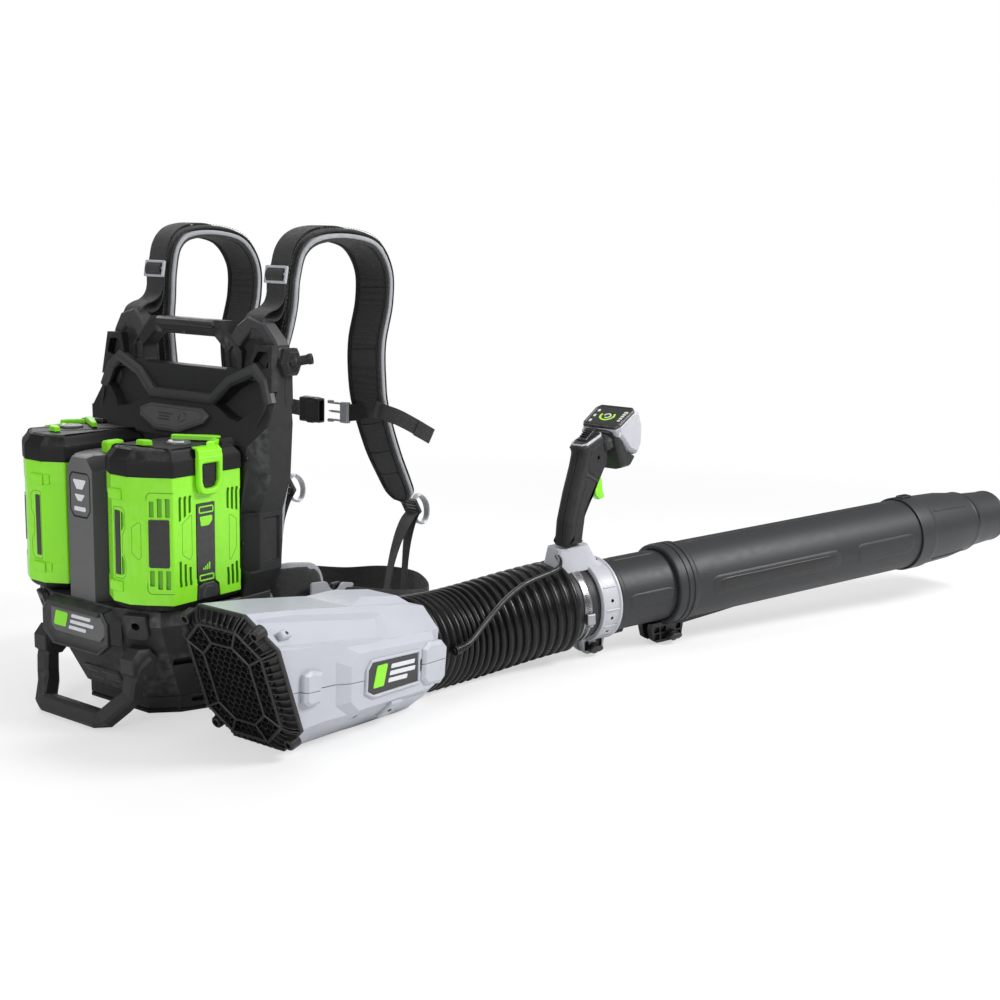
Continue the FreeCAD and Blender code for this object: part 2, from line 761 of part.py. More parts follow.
def intake_grille(placement):
    rim = padded_body("intake_grille_rim", "YZ_Plane", octagon(86, 104, 104, 44, 42),
                      "grille_thick")
    pocket(rim, "Window", "YZ_Plane", octagon(72, 92, 92, 38, 36), 60.0, midplane=True)
    grille = fuse("intake_grille", rim, [feature("grille_bars", grille_bars())])
    grille.Placement = placement
    return keep("intake_grille", grille)


def case_screws(grille):
    """Screws in the grille rim and on the rear of the back frame."""
    grille_shape = grille.Shape
    screws = []
    for y, z in ((-79, 58), (79, 58), (-79, -58), (79, -58)):
        screw = rod(3.0, 4, -4.2, y, z).fuse(rod(5.0, 3, -5.2, y, z))
        screw.transformShape(grille.Placement.toMatrix())
        screws.append(screw.cut(grille_shape))
    for y, z in ((-150, 240), (150, 240), (-160, 360), (160, 360)):
        screws.append(rod(4.5, 3.4, 0.4, y, z))
    keep_shape("case_screws",
               Part.makeCompound([solid for screw in screws for solid in screw.Solids]))


def impeller():
    hub, root = size("imp_hub"), 20
    count = size("blade_count")
    wheel = rod(hub, size("imp_wide"), 40)
    wheel = wheel.fuse(Part.makeCone(hub * .4, hub, 18, Vec(22, 0, 0), X_AXIS))
    for i in range(int(count)):
        # blades overrun the tip circle and are trimmed to it below
        blade = box(26, 2.2, size("imp_rad") + 4 - root, -13, -1.1, root)
        blade.rotate(Vec(0, 0, 0), Z_AXIS, 38)
        blade.translate(Vec(53, 0, 0))
        blade.rotate(Vec(0, 0, 0), X_AXIS, 360.0 / count * i)
        wheel = wheel.fuse(blade)
    wheel = wheel.cut(rod(size("shaft_rad"), 80, 10))
    wheel = wheel.common(rod(size("imp_rad"), 120, 0))
    keep_shape("impeller", wheel.removeSplitter(), FAN)


def fan_bearings():
    rings = []
    for x in (74, 126):
        outside = rod(size("bearing_rad"), size("bearing_wide"), x)
        rings.append(outside.cut(rod(size("shaft_rad") + size("shaft_gap"), 20, x - 5)))
    keep_shape("fan_bearings", Part.makeCompound(rings), FAN)


def stator_vanes():
    duct, motor, count = size("duct_rad"), size("motor_rad"), size("vane_count")
    wall = 2.5
    stator = rod(duct, 44, 86).cut(rod(duct - wall, 60, 80))
    hub = rod(motor + wall, 44, 86).cut(rod(motor, 60, 80))
    for i in range(int(count)):
        vane = box(40, 2.4, duct - motor - 3, 88, -1.2, motor + 1.5)
        vane.rotate(Vec(0, 0, 0), X_AXIS, 360.0 / count * i)
        stator = stator.fuse(vane)
    keep_shape("stator_vanes", stator.fuse(hub).removeSplitter(), FAN)


fan_housing()
# in the grille's frame x is its normal, pointing into the housing, and z runs up the slope
grille_face = FAN.multiply(Placement(Vec(0, 0, 0), Rotation(Y_AXIS, -size("cant"))))
grille_x = -size("grille_thick") - 0.3 + 8.0 * math.cos(CANT)
grille = intake_grille(grille_face.multiply(shift(grille_x, 0, 0)))
case_screws(grille)
keep("housing_badge",
     padded_body("housing_badge", "XZ_Plane",
                 [(148, -17), (156, -25), (244, -25), (250, -19),
                  (250, 17), (242, 25), (154, 25), (148, 19)],
                 3.0, placement=FAN.multiply(shift(0, -84.2, 4))))
impeller()
keep("fan_shaft", cylinder_object("Shaft", "shaft_rad", "shaft_len",
                                  FAN.multiply(Placement(Vec(24, 0, 0), Z_TO_X))))
keep("fan_motor",
     revolved_body("fan_motor",
                   [(72, "bearing_rad"), (72, "motor_rad"), ("72+motor_len", "motor_rad"),
                    ("80+motor_len", "motor_rad-8"), ("80+motor_len", "bearing_rad")], FAN))
fan_bearings()
stator_vanes()
# block between the base housing and the fan unit
keep_shape("fan_mount_bracket",
           largest_solid(box(92, 70, 66, -36, -185.6, 42).cut(base_block)))

# ---------------------------------------------------------------------------
# Flexible hose in three lengths and its clamp band.  In the TUBE frame x runs along
# the tube axis, y to the left and z up.
# ---------------------------------------------------------------------------
yaw = math.radians(size("tube_yaw"))
pitch = math.radians(size("tube_pitch"))
TUBE_AXIS = Vec(math.cos(pitch) * math.cos(yaw), math.cos(pitch) * math.sin(yaw),
                math.sin(pitch))
TUBE_LEFT = Vec(-math.sin(yaw), math.cos(yaw), 0)
TUBE_START = Vec(size("tube_x"), size("tube_y"), size("tube_z"))
TUBE = Placement(TUBE_START,
                 Rotation(TUBE_AXIS, TUBE_LEFT, TUBE_AXIS.cross(TUBE_LEFT), "XYZ"))

fan_pitch = math.radians(size("fan_pitch"))
HOSE_AXIS = Vec(math.cos(fan_pitch), 0, -math.sin(fan_pitch))
HOSE_START = Vec(size("hose_x"), size("fan_y"), size("hose_z"))
HOSE_PULL = 270.0       # length of the end tangents of the hose curve


def hose_point(u):
    """Cubic Hermite curve from the fan outlet (u = 0) to the tube start (u = 1)."""
    start_share = 2 * u ** 3 - 3 * u ** 2 + 1
    start_tangent = u ** 3 - 2 * u ** 2 + u
    end_share = -2 * u ** 3 + 3 * u ** 2
    end_tangent = u ** 3 - u ** 2
    return (HOSE_START * start_share + HOSE_AXIS * (HOSE_PULL * start_tangent)
            + TUBE_START * end_share + TUBE_AXIS * (HOSE_PULL * end_tangent))


# columns name, start and end along the hose curve
for name, start, end in (("bellows_rear", 0.015, 0.42), ("bellows_mid", 0.425, 0.465),
                         ("bellows_front", 0.47, 0.965)):
    path = [tuple(hose_point(start + (end - start) * i / 8.0)) for i in range(9)]
    keep_shape(name, tube_along(path, size("hose_rad"), size("hose_wall")))

REAR_RADIUS = size("rear_rad")
BAND_GAP = 3.4          # from the rear tube to the inside of the band


def hose_clamp():
    band = revolved_body("hose_clamp",
                         [(4, "rear_rad+3.4"), (4, "rear_rad+3.4+band_thick"),
                          ("4+band_wide", "rear_rad+3.4+band_thick"),
                          ("4+band_wide", "rear_rad+3.4")], TUBE)
    screw_axis = Vec(0, 0.25, 1)
    worm = Part.makeCylinder(6, 22, Vec(11, -REAR_RADIUS - 9.5, -10), screw_axis)
    worm = worm.fuse(
        Part.makeCylinder(4.5, 6, Vec(11, -REAR_RADIUS - 11.2, -16.5), screw_axis))
    worm = worm.cut(rod(REAR_RADIUS + BAND_GAP, 60, -10))
    keep("hose_clamp", fuse("hose_clamp", band, [feature("worm_box", worm, TUBE)]))


hose_clamp()

# ---------------------------------------------------------------------------
# Tubes and nozzle, in the TUBE frame.
# ---------------------------------------------------------------------------
Z_TO_RIGHT = Rotation(X_AXIS, 90)
TUBE_STUD_X, TUBE_STUD_Z = 212, -86


def tube_box(name, dimensions, x, y, z):
    return box_object(name, dimensions, TUBE.multiply(shift(x, y, z)))


def rear_tube():
    tube = revolved_body("rear_tube",
                         [(-8, "rear_rad-rear_wall"), (-8, "rear_rad+3"), (30, "rear_rad+3"),
                          (30, "rear_rad"), ("rear_len", "rear_rad"),
                          ("rear_len", "rear_rad-rear_wall")], TUBE)
    keel = tube_box("RearKeel", (74, 9, 9), 88, -4.5, -REAR_RADIUS - 8)
    keep("rear_tube", fuse("rear_tube", tube, [keel]))


def front_tube():
    """Front tube with a collar, two lugs below it and a keel in front of them."""
    skin = revolved_body(
        "front_tube_skin",
        [("front_start", "front_rad-front_wall"), ("front_start", "collar_rad"),
         ("front_start+40", "collar_rad"), ("front_start+42", "front_rad"),
         ("front_end-16", "front_rad"), ("front_end-14", "front_rad+1.6"),
         ("front_end", "front_rad+1.6"), ("front_end", "front_rad-front_wall")], TUBE)
    solids = fuse("front_tube_all", skin, [
        tube_box("LugLeft", (64, 12, 30), 172, 7, -95),
        tube_box("LugRight", (64, 12, 30), 172, -19, -95),
        tube_box("FrontKeel", (150, 10, 12), 236, -5, -size("front_rad") - 10)])
    slot = tube_box("KeelSlot", (60, 13, 36), 160, -6.5, -96)
    bore = cylinder_object("BoreCut", "front_rad-front_wall", 700,
                           TUBE.multiply(Placement(Vec(150, 0, 0), Z_TO_X)))
    stud_hole = cylinder_object(
        "StudHole", "stud_rad+0.05", 60,
        TUBE.multiply(Placement(Vec(TUBE_STUD_X, 30, TUBE_STUD_Z), Z_TO_RIGHT)))
    cutters = fuse("front_cutters", slot, [bore, stud_hole])
    keep("front_tube", cut("front_tube", solids, cutters))


def nozzle():
    outside = [(745, "front_rad-front_wall-0.3"),
               ("front_end+0.4", "front_rad-front_wall-0.3"),
               ("front_end+0.4", "front_rad+1.6"), (808, "front_rad+1.6"),
               (880, "front_rad-1"), (925, 57), (945, "noz_waist+1"), (975, "noz_waist-1"),
               ("noz_tip-6", "noz_rad+1"), ("noz_tip", "noz_rad")]
    inside = [("noz_tip", "noz_rad-2.6"), ("noz_tip-24", "noz_rad-2.6"),
              (975, "noz_waist-4"), (945, "noz_waist-2"), (925, 54), (880, "front_rad-4")]
    keep("nozzle", revolved_body(
        "nozzle", [(745, "front_rad-front_wall-2.6")] + outside + inside, TUBE))


def keep_knob(label, stud_length, x, y, z):
    """Wing knob on a stud; the wing points to the wearer's right."""
    knob = Part.makeCylinder(size("knob_rad"), 9, Vec(0, 0, 0), Z_AXIS)
    knob = knob.fuse(box(26, 7, 15, -13, -3.5, 6))
    knob = knob.fuse(
        Part.makeCylinder(size("stud_rad"), stud_length, Vec(0, 0, -stud_length), Z_AXIS))
    keep_shape(label, knob.removeSplitter(),
               TUBE.multiply(Placement(Vec(x, y, z), Z_TO_RIGHT)))


rear_tube()
front_tube()
nozzle()
keep_knob("tube_knob", 36, TUBE_STUD_X, -19.3, TUBE_STUD_Z)

# ---------------------------------------------------------------------------
# Handle clamp around the rear tube, in the TUBE frame.
# ---------------------------------------------------------------------------
CLAMP_X, CLAMP_WIDE = size("clamp_start"), size("clamp_wide")
CLAMP_BORE = REAR_RADIUS + size("clamp_gap")
CLAMP_STUD_X, CLAMP_STUD_Z = CLAMP_X + 13, -78
clamp_ring = rod(size("clamp_rad"), CLAMP_WIDE, CLAMP_X)
clamp_bore = rod(CLAMP_BORE, CLAMP_WIDE + 2, CLAMP_X - 1)


def clamp_upper():
    """Upper half ring with a saddle rising to the grip."""
    clamp_end = CLAMP_X + CLAMP_WIDE
    # columns rear x, rear z, front x, front z, half width
    saddle_levels = [(CLAMP_X, 54, clamp_end, 54, 22), (-8, 78, clamp_end - 2, 72, 18),
                     (-22, 96, CLAMP_X + 16, 88, 16)]
    saddle = loft([[(rear, -half, rear_z), (front, -half, front_z),
                    (front, half, front_z), (rear, half, rear_z)]
                   for rear, rear_z, front, front_z, half in saddle_levels])
    upper = clamp_ring.common(box(200, 200, 100, -50, -100, 0.2)).fuse(saddle)
    upper = upper.cut(clamp_bore).cut(rod(REAR_RADIUS + 9.5, CLAMP_X + 30, -30))
    return largest_solid(upper)


def clamp_lower():
    """Lower half ring with two lugs for the knob's stud."""
    lower = clamp_ring.common(box(200, 200, 100, -50, -100, -100.2))
    for y in (4, -15):
        lower = lower.fuse(box(CLAMP_WIDE + 4, 11, 34, CLAMP_X - 6, y, -88))
    lower = lower.cut(clamp_bore).cut(rod(CLAMP_BORE, 100, -10))
    lower = lower.cut(Part.makeCylinder(size("stud_rad") + 0.05, 60,
                                        Vec(CLAMP_STUD_X, -30, CLAMP_STUD_Z), Y_AXIS))
    # room over the rear tube's end collar
    return lower.cut(rod(REAR_RADIUS + 3.6, 20, 16))


upper_clamp = clamp_upper()
keep_shape("handle_clamp_upper", upper_clamp, TUBE)
keep_shape("handle_clamp_lower", clamp_lower(), TUBE)
keep_knob("handle_knob", 28, CLAMP_STUD_X, -15.3, CLAMP_STUD_Z)

# ---------------------------------------------------------------------------
# Control handle.  Outlines have columns x, z and are centred on the plane y = grip_y.
# ---------------------------------------------------------------------------
GRIP_Y, GRIP_HALF, HEAD_HALF = size("grip_y"), size("grip_half"), size("head_half")
GRIP_OUTLINE = [
    (497, 186), (500, 226), (514, 270), (531, 312), (536, 334), (529, 344), (536, 352),
    (592, 368), (600, 345), (612, 312), (618, 298), (600, 294), (590, 276), (575, 252),
    (560, 246), (549, 234), (541, 206), (537, 186)]
TRIGGER_SLOT = [(577, 295), (604, 293.2), (612, 262), (596, 246), (572, 246), (568, 262)]
TRIGGER_OUTLINE = [(582, 289), (600, 289), (606, 280), (610, 262),
                   (616, 250), (600, 248), (588, 256), (584, 270)]
LEVER_SLOT = [(538, 350), (545, 334), (588, 348), (594, 372), (560, 372)]
LEVER_OUTLINE = [(549, 350), (556, 343), (583, 354), (584, 366),
                 (578, 374), (566, 371), (552, 358)]
HEAD_OUTLINE = [(594, 369), (600, 374.5), (655, 402), (668, 398), (680, 372),
                (680, 338), (664, 316), (650, 300), (622, 299), (604, 340)]
BOOST_Y, BOOST_Z = GRIP_Y - 20, 356


def grip_slice(outline, half_width):
    return side_prism(outline, GRIP_Y - half_width, 2 * half_width)


def grip_shell(side, tag):
    """One half of the grip, split on the plane y = grip_y."""
    outer_y = GRIP_Y + side * GRIP_HALF
    shell = side_prism(GRIP_OUTLINE, GRIP_Y, side * GRIP_HALF)
    outer_edges = [edge for edge in shell.Edges
                   if abs(edge.CenterOfMass.y - outer_y) < 0.01]
    shell = chamfered(shell, 7.0, outer_edges)
    shell = shell.cut(grip_slice(TRIGGER_SLOT, 6.2))
    shell = shell.cut(grip_slice(LEVER_SLOT, 9.2))
    clamp = upper_clamp.copy()
    clamp.transformShape(TUBE.toMatrix())
    shell = largest_solid(shell.cut(clamp))
    # hairline gap between the two halves
    shell.translate(Vec(0, side * 0.05, 0))
    keep_shape("grip_" + tag, shell)


def display_head():
    """Head with a sloping top; returns the placement of the screen on that slope."""
    head = grip_slice(HEAD_OUTLINE, HEAD_HALF)
    front_edges = [edge for edge in head.Edges
                   if abs(abs(edge.CenterOfMass.y - GRIP_Y) - HEAD_HALF) < 0.01
                   and edge.CenterOfMass.x > 655]
    head = chamfered(head, 9.0, front_edges)
    for name in ("grip_left", "grip_right"):
        head = head.cut(nodes[name].Shape)
    head = head.cut(grip_slice(LEVER_SLOT, 7))
    (low_x, low_z), (high_x, high_z) = HEAD_OUTLINE[1:3]
    slope = math.atan2(high_z - low_z, high_x - low_x)
    screen_frame = Placement(Vec(low_x, GRIP_Y, low_z),
                             Rotation(Y_AXIS, -math.degrees(slope)))
    recess = box(56, 2 * HEAD_HALF - 8, 6, 3, -HEAD_HALF + 4, -2.6)
    recess.transformShape(screen_frame.toMatrix())
    head = head.cut(recess)
    # bore for the boost button in the front face
    head = head.cut(Part.makeCylinder(4.6, 14, Vec(683, BOOST_Y, BOOST_Z), Vec(-1, 0, 0)))
    keep_shape("display_head", largest_solid(head))
    return screen_frame


for side, tag in reversed(SIDES):
    grip_shell(side, tag)
keep_shape("trigger", grip_slice(TRIGGER_OUTLINE, 5.5))
keep_shape("cruise_lever", grip_slice(LEVER_OUTLINE, 8.5))
screen_frame = display_head()
keep("display_screen",
     padded_body("display_screen", "XY_Plane",
                 [(3.5, -31), (8, -31.5), (54, -31.5), (58.5, -27),
                  (58.5, 27), (54, 31.5), (8, 31.5), (3.5, 27)],
                 "screen_thick", placement=screen_frame.multiply(shift(0, 0, -2.5))))
keep("boost_button",
     cylinder_object("Boost", 4.4, 10.0,
                     Placement(Vec(682.5, BOOST_Y, BOOST_Z), Rotation(Y_AXIS, -90))))

# ---------------------------------------------------------------------------
# Control cable: from beside the fan housing, along the hose to the handle saddle.
# ---------------------------------------------------------------------------
CABLE_RADIUS = 4.0
CABLE_PATHS = {
    "cable_rear": [(228, -351, 74), (262, -354, 80), (300, -353, 100), (340, -355, 124),
                   (366, -358, 137)],
    "cable_mid": [(366.6, -358.1, 137.3), (392, -363, 147), (420, -370, 153),
                  (440, -374, 156)],
    "cable_front": [(440.6, -374.1, 156.1), (460, -377, 160), (478, -374, 168),
                    (488, -367, 177)],
}
for name, path in CABLE_PATHS.items():
    keep_shape(name, tube_along(path, CABLE_RADIUS))

# ---------------------------------------------------------------------------
# Check and export.
# ---------------------------------------------------------------------------
doc.recompute()
bad = []
for obj in doc.Objects:
    state = [str(flag) for flag in obj.State]
    if "Invalid" in state or "Error" in state:
        bad.append((obj.Label, state))
for name, obj in nodes.items():
    shape = obj.Shape
    if shape.isNull() or not shape.isValid() or shape.Volume <= 0:
        bad.append((name, "shape"))
if bad:
    raise RuntimeError("failed objects: %r" % bad)
os.makedirs("parts", exist_ok=True)
for name, obj in nodes.items():
    obj.Shape.exportStep("parts/" + name + ".step")
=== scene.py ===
"""Backpack leaf blower: the visual model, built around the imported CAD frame.

Shapes are worked out in millimetres and become metres when a mesh is made. +Z is up and the
pack stands on z = 0. The dock column and batteries face -X, the shoulder pads are on +X.
The wearer's right is -Y: the fan unit sits there and its hose and tube run out to +X.
A `side` is -1 for the wearer's right and +1 for the left.
"""
import math
import bpy
import bmesh
from mathutils import Matrix, Vector


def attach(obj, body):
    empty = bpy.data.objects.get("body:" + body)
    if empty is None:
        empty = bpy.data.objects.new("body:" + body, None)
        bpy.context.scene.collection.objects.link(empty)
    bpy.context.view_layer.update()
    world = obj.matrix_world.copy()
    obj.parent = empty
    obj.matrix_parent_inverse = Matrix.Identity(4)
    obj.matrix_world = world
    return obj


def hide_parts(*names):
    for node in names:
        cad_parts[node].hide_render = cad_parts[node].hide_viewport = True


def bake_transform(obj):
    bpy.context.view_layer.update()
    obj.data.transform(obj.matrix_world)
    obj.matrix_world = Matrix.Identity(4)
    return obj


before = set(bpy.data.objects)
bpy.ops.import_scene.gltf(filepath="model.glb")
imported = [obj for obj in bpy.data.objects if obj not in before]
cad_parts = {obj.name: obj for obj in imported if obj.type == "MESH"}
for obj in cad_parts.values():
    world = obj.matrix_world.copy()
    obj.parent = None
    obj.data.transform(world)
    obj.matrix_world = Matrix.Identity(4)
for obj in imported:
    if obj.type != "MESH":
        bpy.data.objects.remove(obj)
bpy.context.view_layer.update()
MM = 0.001
X, Y, Z = Vector((1, 0, 0)), Vector((0, 1, 0)), Vector((0, 0, 1))
SIDES = (-1, 1)


# ---------------------------------------------------------------- materials
def srgb(colour):
    """Linear RGBA from an sRGB colour of 0-255 levels."""
    def linear(level):
        level = level / 255.0
        return level / 12.92 if level <= 0.04045 else ((level + 0.055) / 1.055) ** 2.4
    return tuple(linear(level) for level in colour) + (1.0,)


class Shader:
    """Short ways to add nodes to a tree."""

    def __init__(self, tree):
        self.tree = tree

    def add(self, kind, inputs=None, **settings):
        """New node; inputs maps a socket to a value or to the output that feeds it."""
        node = self.tree.nodes.new("ShaderNode" + kind)
        for key, value in settings.items():
            setattr(node, key, value)
        for socket, value in (inputs or {}).items():
            if isinstance(value, bpy.types.NodeSocket):
                self.tree.links.new(value, node.inputs[socket])
            else:
                node.inputs[socket].default_value = value
        return node

    def noise(self, vector, scale, detail):
        node = self.add("TexNoise", {"Scale": scale, "Detail": detail, "Vector": vector})
        return node.outputs["Fac"]

    def remap(self, value, from_min, from_max, to_min=0.0, to_max=1.0):
        return self.add("MapRange", {"From Min": from_min, "From Max": from_max, "To Min": to_min,
                                     "To Max": to_max, "Value": value}).outputs[0]

    def maths(self, operation, *values):
        return self.add("Math", dict(enumerate(values)), operation=operation).outputs[0]

    def scaled(self, vector, scale):
        return self.add("VectorMath", {0: vector, "Scale": scale}, operation="SCALE").outputs[0]

    def mix(self, factor, first, second):
        """Colour mix: 0, 6, 7 and output 2 are the colour sockets of the node."""
        return self.add("Mix", {0: factor, 6: first, 7: second}, data_type="RGBA").outputs[2]

    def bump(self, height, strength, distance, normal=None):
        inputs = {"Strength": strength, "Distance": distance, "Height": height}
        if normal is not None:
            inputs["Normal"] = normal
        return self.add("Bump", inputs).outputs[0]


def pattern_field(shader, pattern, period, place):
    """Height field of a cloth pattern whose repeat is `period` millimetres."""
    if pattern == "mesh":           # spacer mesh: close-set round cells
        cells = shader.add("TexVoronoi", {"Scale": 1000.0 / period, "Randomness": 0.12,
                                          "Vector": place}, feature="F1")
        return cells.outputs["Distance"]
    if pattern == "web":            # ribbed webbing, from the strap's own UV in metres
        uv = shader.add("UVMap").outputs[0]
        split = shader.add("SeparateXYZ", {0: uv})
        waves = []
        for axis, repeat in ((0, period), (1, period * 0.62)):
            angle = shader.maths("MULTIPLY", split.outputs[axis], 2 * math.pi * 1000.0 / repeat)
            waves.append(shader.maths("SINE", angle))
        crossed = shader.maths("MULTIPLY", *waves)
        return shader.maths("ADD", crossed, waves[0])
    field = None                    # plain weave from crossed waves
    for direction in ((1, 1, 0.3), (-1, 1, 0.3), (0.3, 0.2, 1.4)):
        rate = tuple(v * 2 * math.pi * 1000.0 / period / 1.4 for v in direction)
        angle = shader.add("VectorMath", {0: place, 1: rate}, operation="DOT_PRODUCT")
        wave = shader.maths("SINE", angle.outputs["Value"])
        field = wave if field is None else shader.maths("ADD", field, wave)
    return field


def material(name, base, rough=0.45, grain=0.25, grain_mm=0.8, mottle=0.05, wear=0.2,
             wear_rgb=None, metal=0.0, spec=0.5, coat=0.0, rough_var=0.10, sheen=0.0,
             pattern=None, pattern_mm=2.0, pattern_depth=0.5, dust=0.04, brushed=False):
    """Plastic, rubber, metal or cloth: colour drift, grain, rubbed edges, dusty hollows."""
    base = srgb(base)
    mat = bpy.data.materials.new(name)
    mat.use_nodes = True
    mat.node_tree.nodes.clear()
    shader = Shader(mat.node_tree)
    output = shader.add("OutputMaterial")
    surface = shader.add("BsdfPrincipled", {
        "Metallic": metal, "Specular IOR Level": spec, "Coat Weight": coat,
        "Coat Roughness": 0.18, "Sheen Weight": sheen, "Sheen Roughness": 0.5})
    link = mat.node_tree.links.new
    link(surface.outputs[0], output.inputs[0])
    place = shader.add("TexCoord").outputs["Object"]
    # broad drift of the base colour
    drift = shader.noise(place, scale=14.0, detail=4.0)
    drift = shader.remap(drift, 0.3, 0.7, 1.0 - mottle, 1.0 + mottle)
    colour = shader.scaled(base[:3], drift)
    # rubbed convex edges and dust in the hollows, both found from pointiness
    if wear > 0 or dust > 0:
        pointiness = shader.add("NewGeometry").outputs["Pointiness"]
    scuff = shader.noise(place, scale=90.0, detail=5.0)
    if wear > 0:
        edge = shader.remap(pointiness, 0.53, 0.66)
        patchy = shader.remap(scuff, 0.35, 0.7)
        amount = shader.maths("MULTIPLY", shader.maths("MULTIPLY", edge, patchy), wear)
        if wear_rgb:
            tint = srgb(wear_rgb)
        else:
            tint = tuple(min(1.0, v * 1.9 + 0.05) for v in base[:3]) + (1.0,)
        colour = shader.mix(amount, colour, tint)
    if dust > 0:
        hollow = shader.remap(pointiness, 0.49, 0.38)
        amount = shader.maths("MULTIPLY", hollow, dust)
        colour = shader.mix(amount, colour, (0.34, 0.33, 0.31, 1))
    roughness = shader.remap(scuff, 0.3, 0.7, max(0.02, rough - rough_var),
                             min(1.0, rough + rough_var))
    link(roughness, surface.inputs["Roughness"])
    normal = None
    if grain > 0:
        where = place
        if brushed:                 # stretch the grain along the object's Z
            stretch = shader.add("Mapping", {"Scale": (1.0, 1.0, 0.06), "Vector": place})
            where = stretch.outputs[0]
        fine = shader.noise(where, scale=1000.0 / max(grain_mm, 0.05), detail=2.0)
        normal = shader.bump(fine, strength=grain, distance=0.00018)
    if pattern:
        field = pattern_field(shader, pattern, pattern_mm, place)
        normal = shader.bump(field, strength=pattern_depth, distance=0.0006, normal=normal)
        low, high = (0.0, 0.75) if pattern == "mesh" else (-1.6, 1.6)
        colour = shader.scaled(colour, shader.remap(field, low, high, 0.80, 1.22))
    if normal is not None:
        link(normal, surface.inputs["Normal"])
    link(colour, surface.inputs["Base Color"])
    mat.diffuse_color = base
    return mat


# hard mouldings
BLACK = material("black_moulding", (22, 22, 23), rough=0.42, grain=0.35, grain_mm=0.7,
                 wear=0.30, wear_rgb=(96, 96, 98))
# near-black: the own colour of screws, the floor plate and the thumb panel, and painted shade on
# the walls of cuts, on slits and on the intake liner
NEAR_BLACK_AND_SHADE = material("near_black_and_painted_shade", (15, 15, 16), rough=0.5, grain=0.3, wear=0.12)
SATIN = material("black_satin_tube", (27, 27, 29), rough=0.30, grain=0.12, grain_mm=0.5,
                 mottle=0.08, wear=0.22, wear_rgb=(100, 100, 104), rough_var=0.06)
FRAME_BLACK = material("frame_moulding", (31, 31, 32), rough=0.52, grain=0.35, grain_mm=0.7,
                       wear=0.42, wear_rgb=(118, 118, 120), spec=0.34, rough_var=0.03)
# the base's black is lighter than the frame's: painted light against the shadow the batteries cast
# on the base
BASE_BLACK = material("base_moulding", (45, 45, 46), rough=0.5, grain=0.35, grain_mm=0.7,
                      wear=0.4, wear_rgb=(122, 122, 124), spec=0.36, rough_var=0.03)
RIM_GREY = material("rim_moulding", (54, 54, 56), rough=0.5, grain=0.3, rough_var=0.03,
                    spec=0.4, wear=0.4, wear_rgb=(122, 122, 124))
COVER_GREY = material("cover_moulding", (70, 70, 72), rough=0.5, grain=0.3, rough_var=0.03,
                      spec=0.4, wear=0.3, wear_rgb=(122, 122, 124))
CAP_BLACK = material("battery_moulding", (17, 17, 18), rough=0.54, grain=0.3, wear=0.32,
                     wear_rgb=(84, 84, 86), spec=0.26, rough_var=0.03)
GREY = material("graphite_moulding", (88, 88, 90), rough=0.42, grain=0.3, wear=0.25,
                wear_rgb=(140, 140, 144))
DARK_GREY = material("graphite_dark", (44, 44, 46), rough=0.42, grain=0.3, wear=0.25,
                     wear_rgb=(110, 110, 114))
LIGHT = material("light_grey_moulding", (180, 183, 191), rough=0.40, grain=0.3, grain_mm=0.9,
                 mottle=0.025, wear=0.12, wear_rgb=(228, 230, 236), dust=0.10)
GREEN = material("green_moulding", (134, 225, 20), rough=0.36, grain=0.22, mottle=0.03,
                 wear=0.16, wear_rgb=(186, 240, 110), dust=0.02, coat=0.12)
# darker green for the walls of the battery's slots, grooves, pockets and wells: painted shade
GREEN_PAINTED_SHADE = material("green_groove_painted_shade", (94, 166, 18), rough=0.5, grain=0.2, wear=0.0)
# still darker green for slot walls as painted shade; no piece is given it
material("green_slot_painted_shade", (38, 74, 10), rough=0.6, grain=0.2, wear=0.0)
# rubber, metal and the inner parts
RUBBER = material("hose_rubber", (13, 13, 14), rough=0.36, grain=0.30, grain_mm=0.5,
                  mottle=0.1, wear=0.14, wear_rgb=(84, 84, 86), spec=0.34)
CABLE = material("cable_jacket", (16, 16, 17), rough=0.38, grain=0.2, wear=0.1)
GRIP = material("grip_overmould", (26, 26, 27), rough=0.62, grain=0.8, grain_mm=0.9,
                wear=0.12, pattern="mesh", pattern_mm=1.9, pattern_depth=0.25)
STEEL = material("screw_steel", (150, 150, 154), rough=0.3, grain=0.35, grain_mm=0.5,
                 metal=0.95, mottle=0.08, brushed=True)
material("clamp_band_zinc", (168, 168, 172), rough=0.28, grain=0.4, grain_mm=0.4,
         metal=1.0, wear=0.25, mottle=0.06, brushed=True)
MOTOR = material("motor_can", (74, 74, 78), rough=0.34, grain=0.3, metal=0.85, wear=0.3)
FAN_NYLON = material("fan_nylon", (46, 46, 48), rough=0.4, grain=0.2, wear=0.1)
BRASS = material("contact_alloy", (196, 160, 88), rough=0.3, grain=0.3, metal=1.0)
BOARD = material("circuit_board", (20, 82, 50), rough=0.4, grain=0.2, wear=0.0, mottle=0.15)
# cloth and webbing
FABRIC = material("pad_face_fabric", (41, 41, 42), rough=0.85, grain=0.6, grain_mm=0.5,
                  wear=0.10, wear_rgb=(78, 78, 80), spec=0.25, sheen=0.25, pattern="weave",
                  pattern_mm=1.5, dust=0.08, mottle=0.09)
SPACER = material("pad_spacer_mesh", (34, 34, 35), rough=0.9, grain=0.4, wear=0.0, spec=0.2,
                  sheen=0.3, pattern="mesh", pattern_mm=2.6, pattern_depth=0.9, mottle=0.08)
LINING = material("pad_grey_lining", (150, 152, 157), rough=0.85, grain=0.4, wear=0.0,
                  spec=0.25, sheen=0.3, pattern="mesh", pattern_mm=2.4, pattern_depth=0.7)
material("piping_grey", (156, 158, 163), rough=0.7, grain=0.4, grain_mm=0.5, wear=0.05,
         spec=0.3, pattern="weave", pattern_mm=1.0, pattern_depth=0.3)
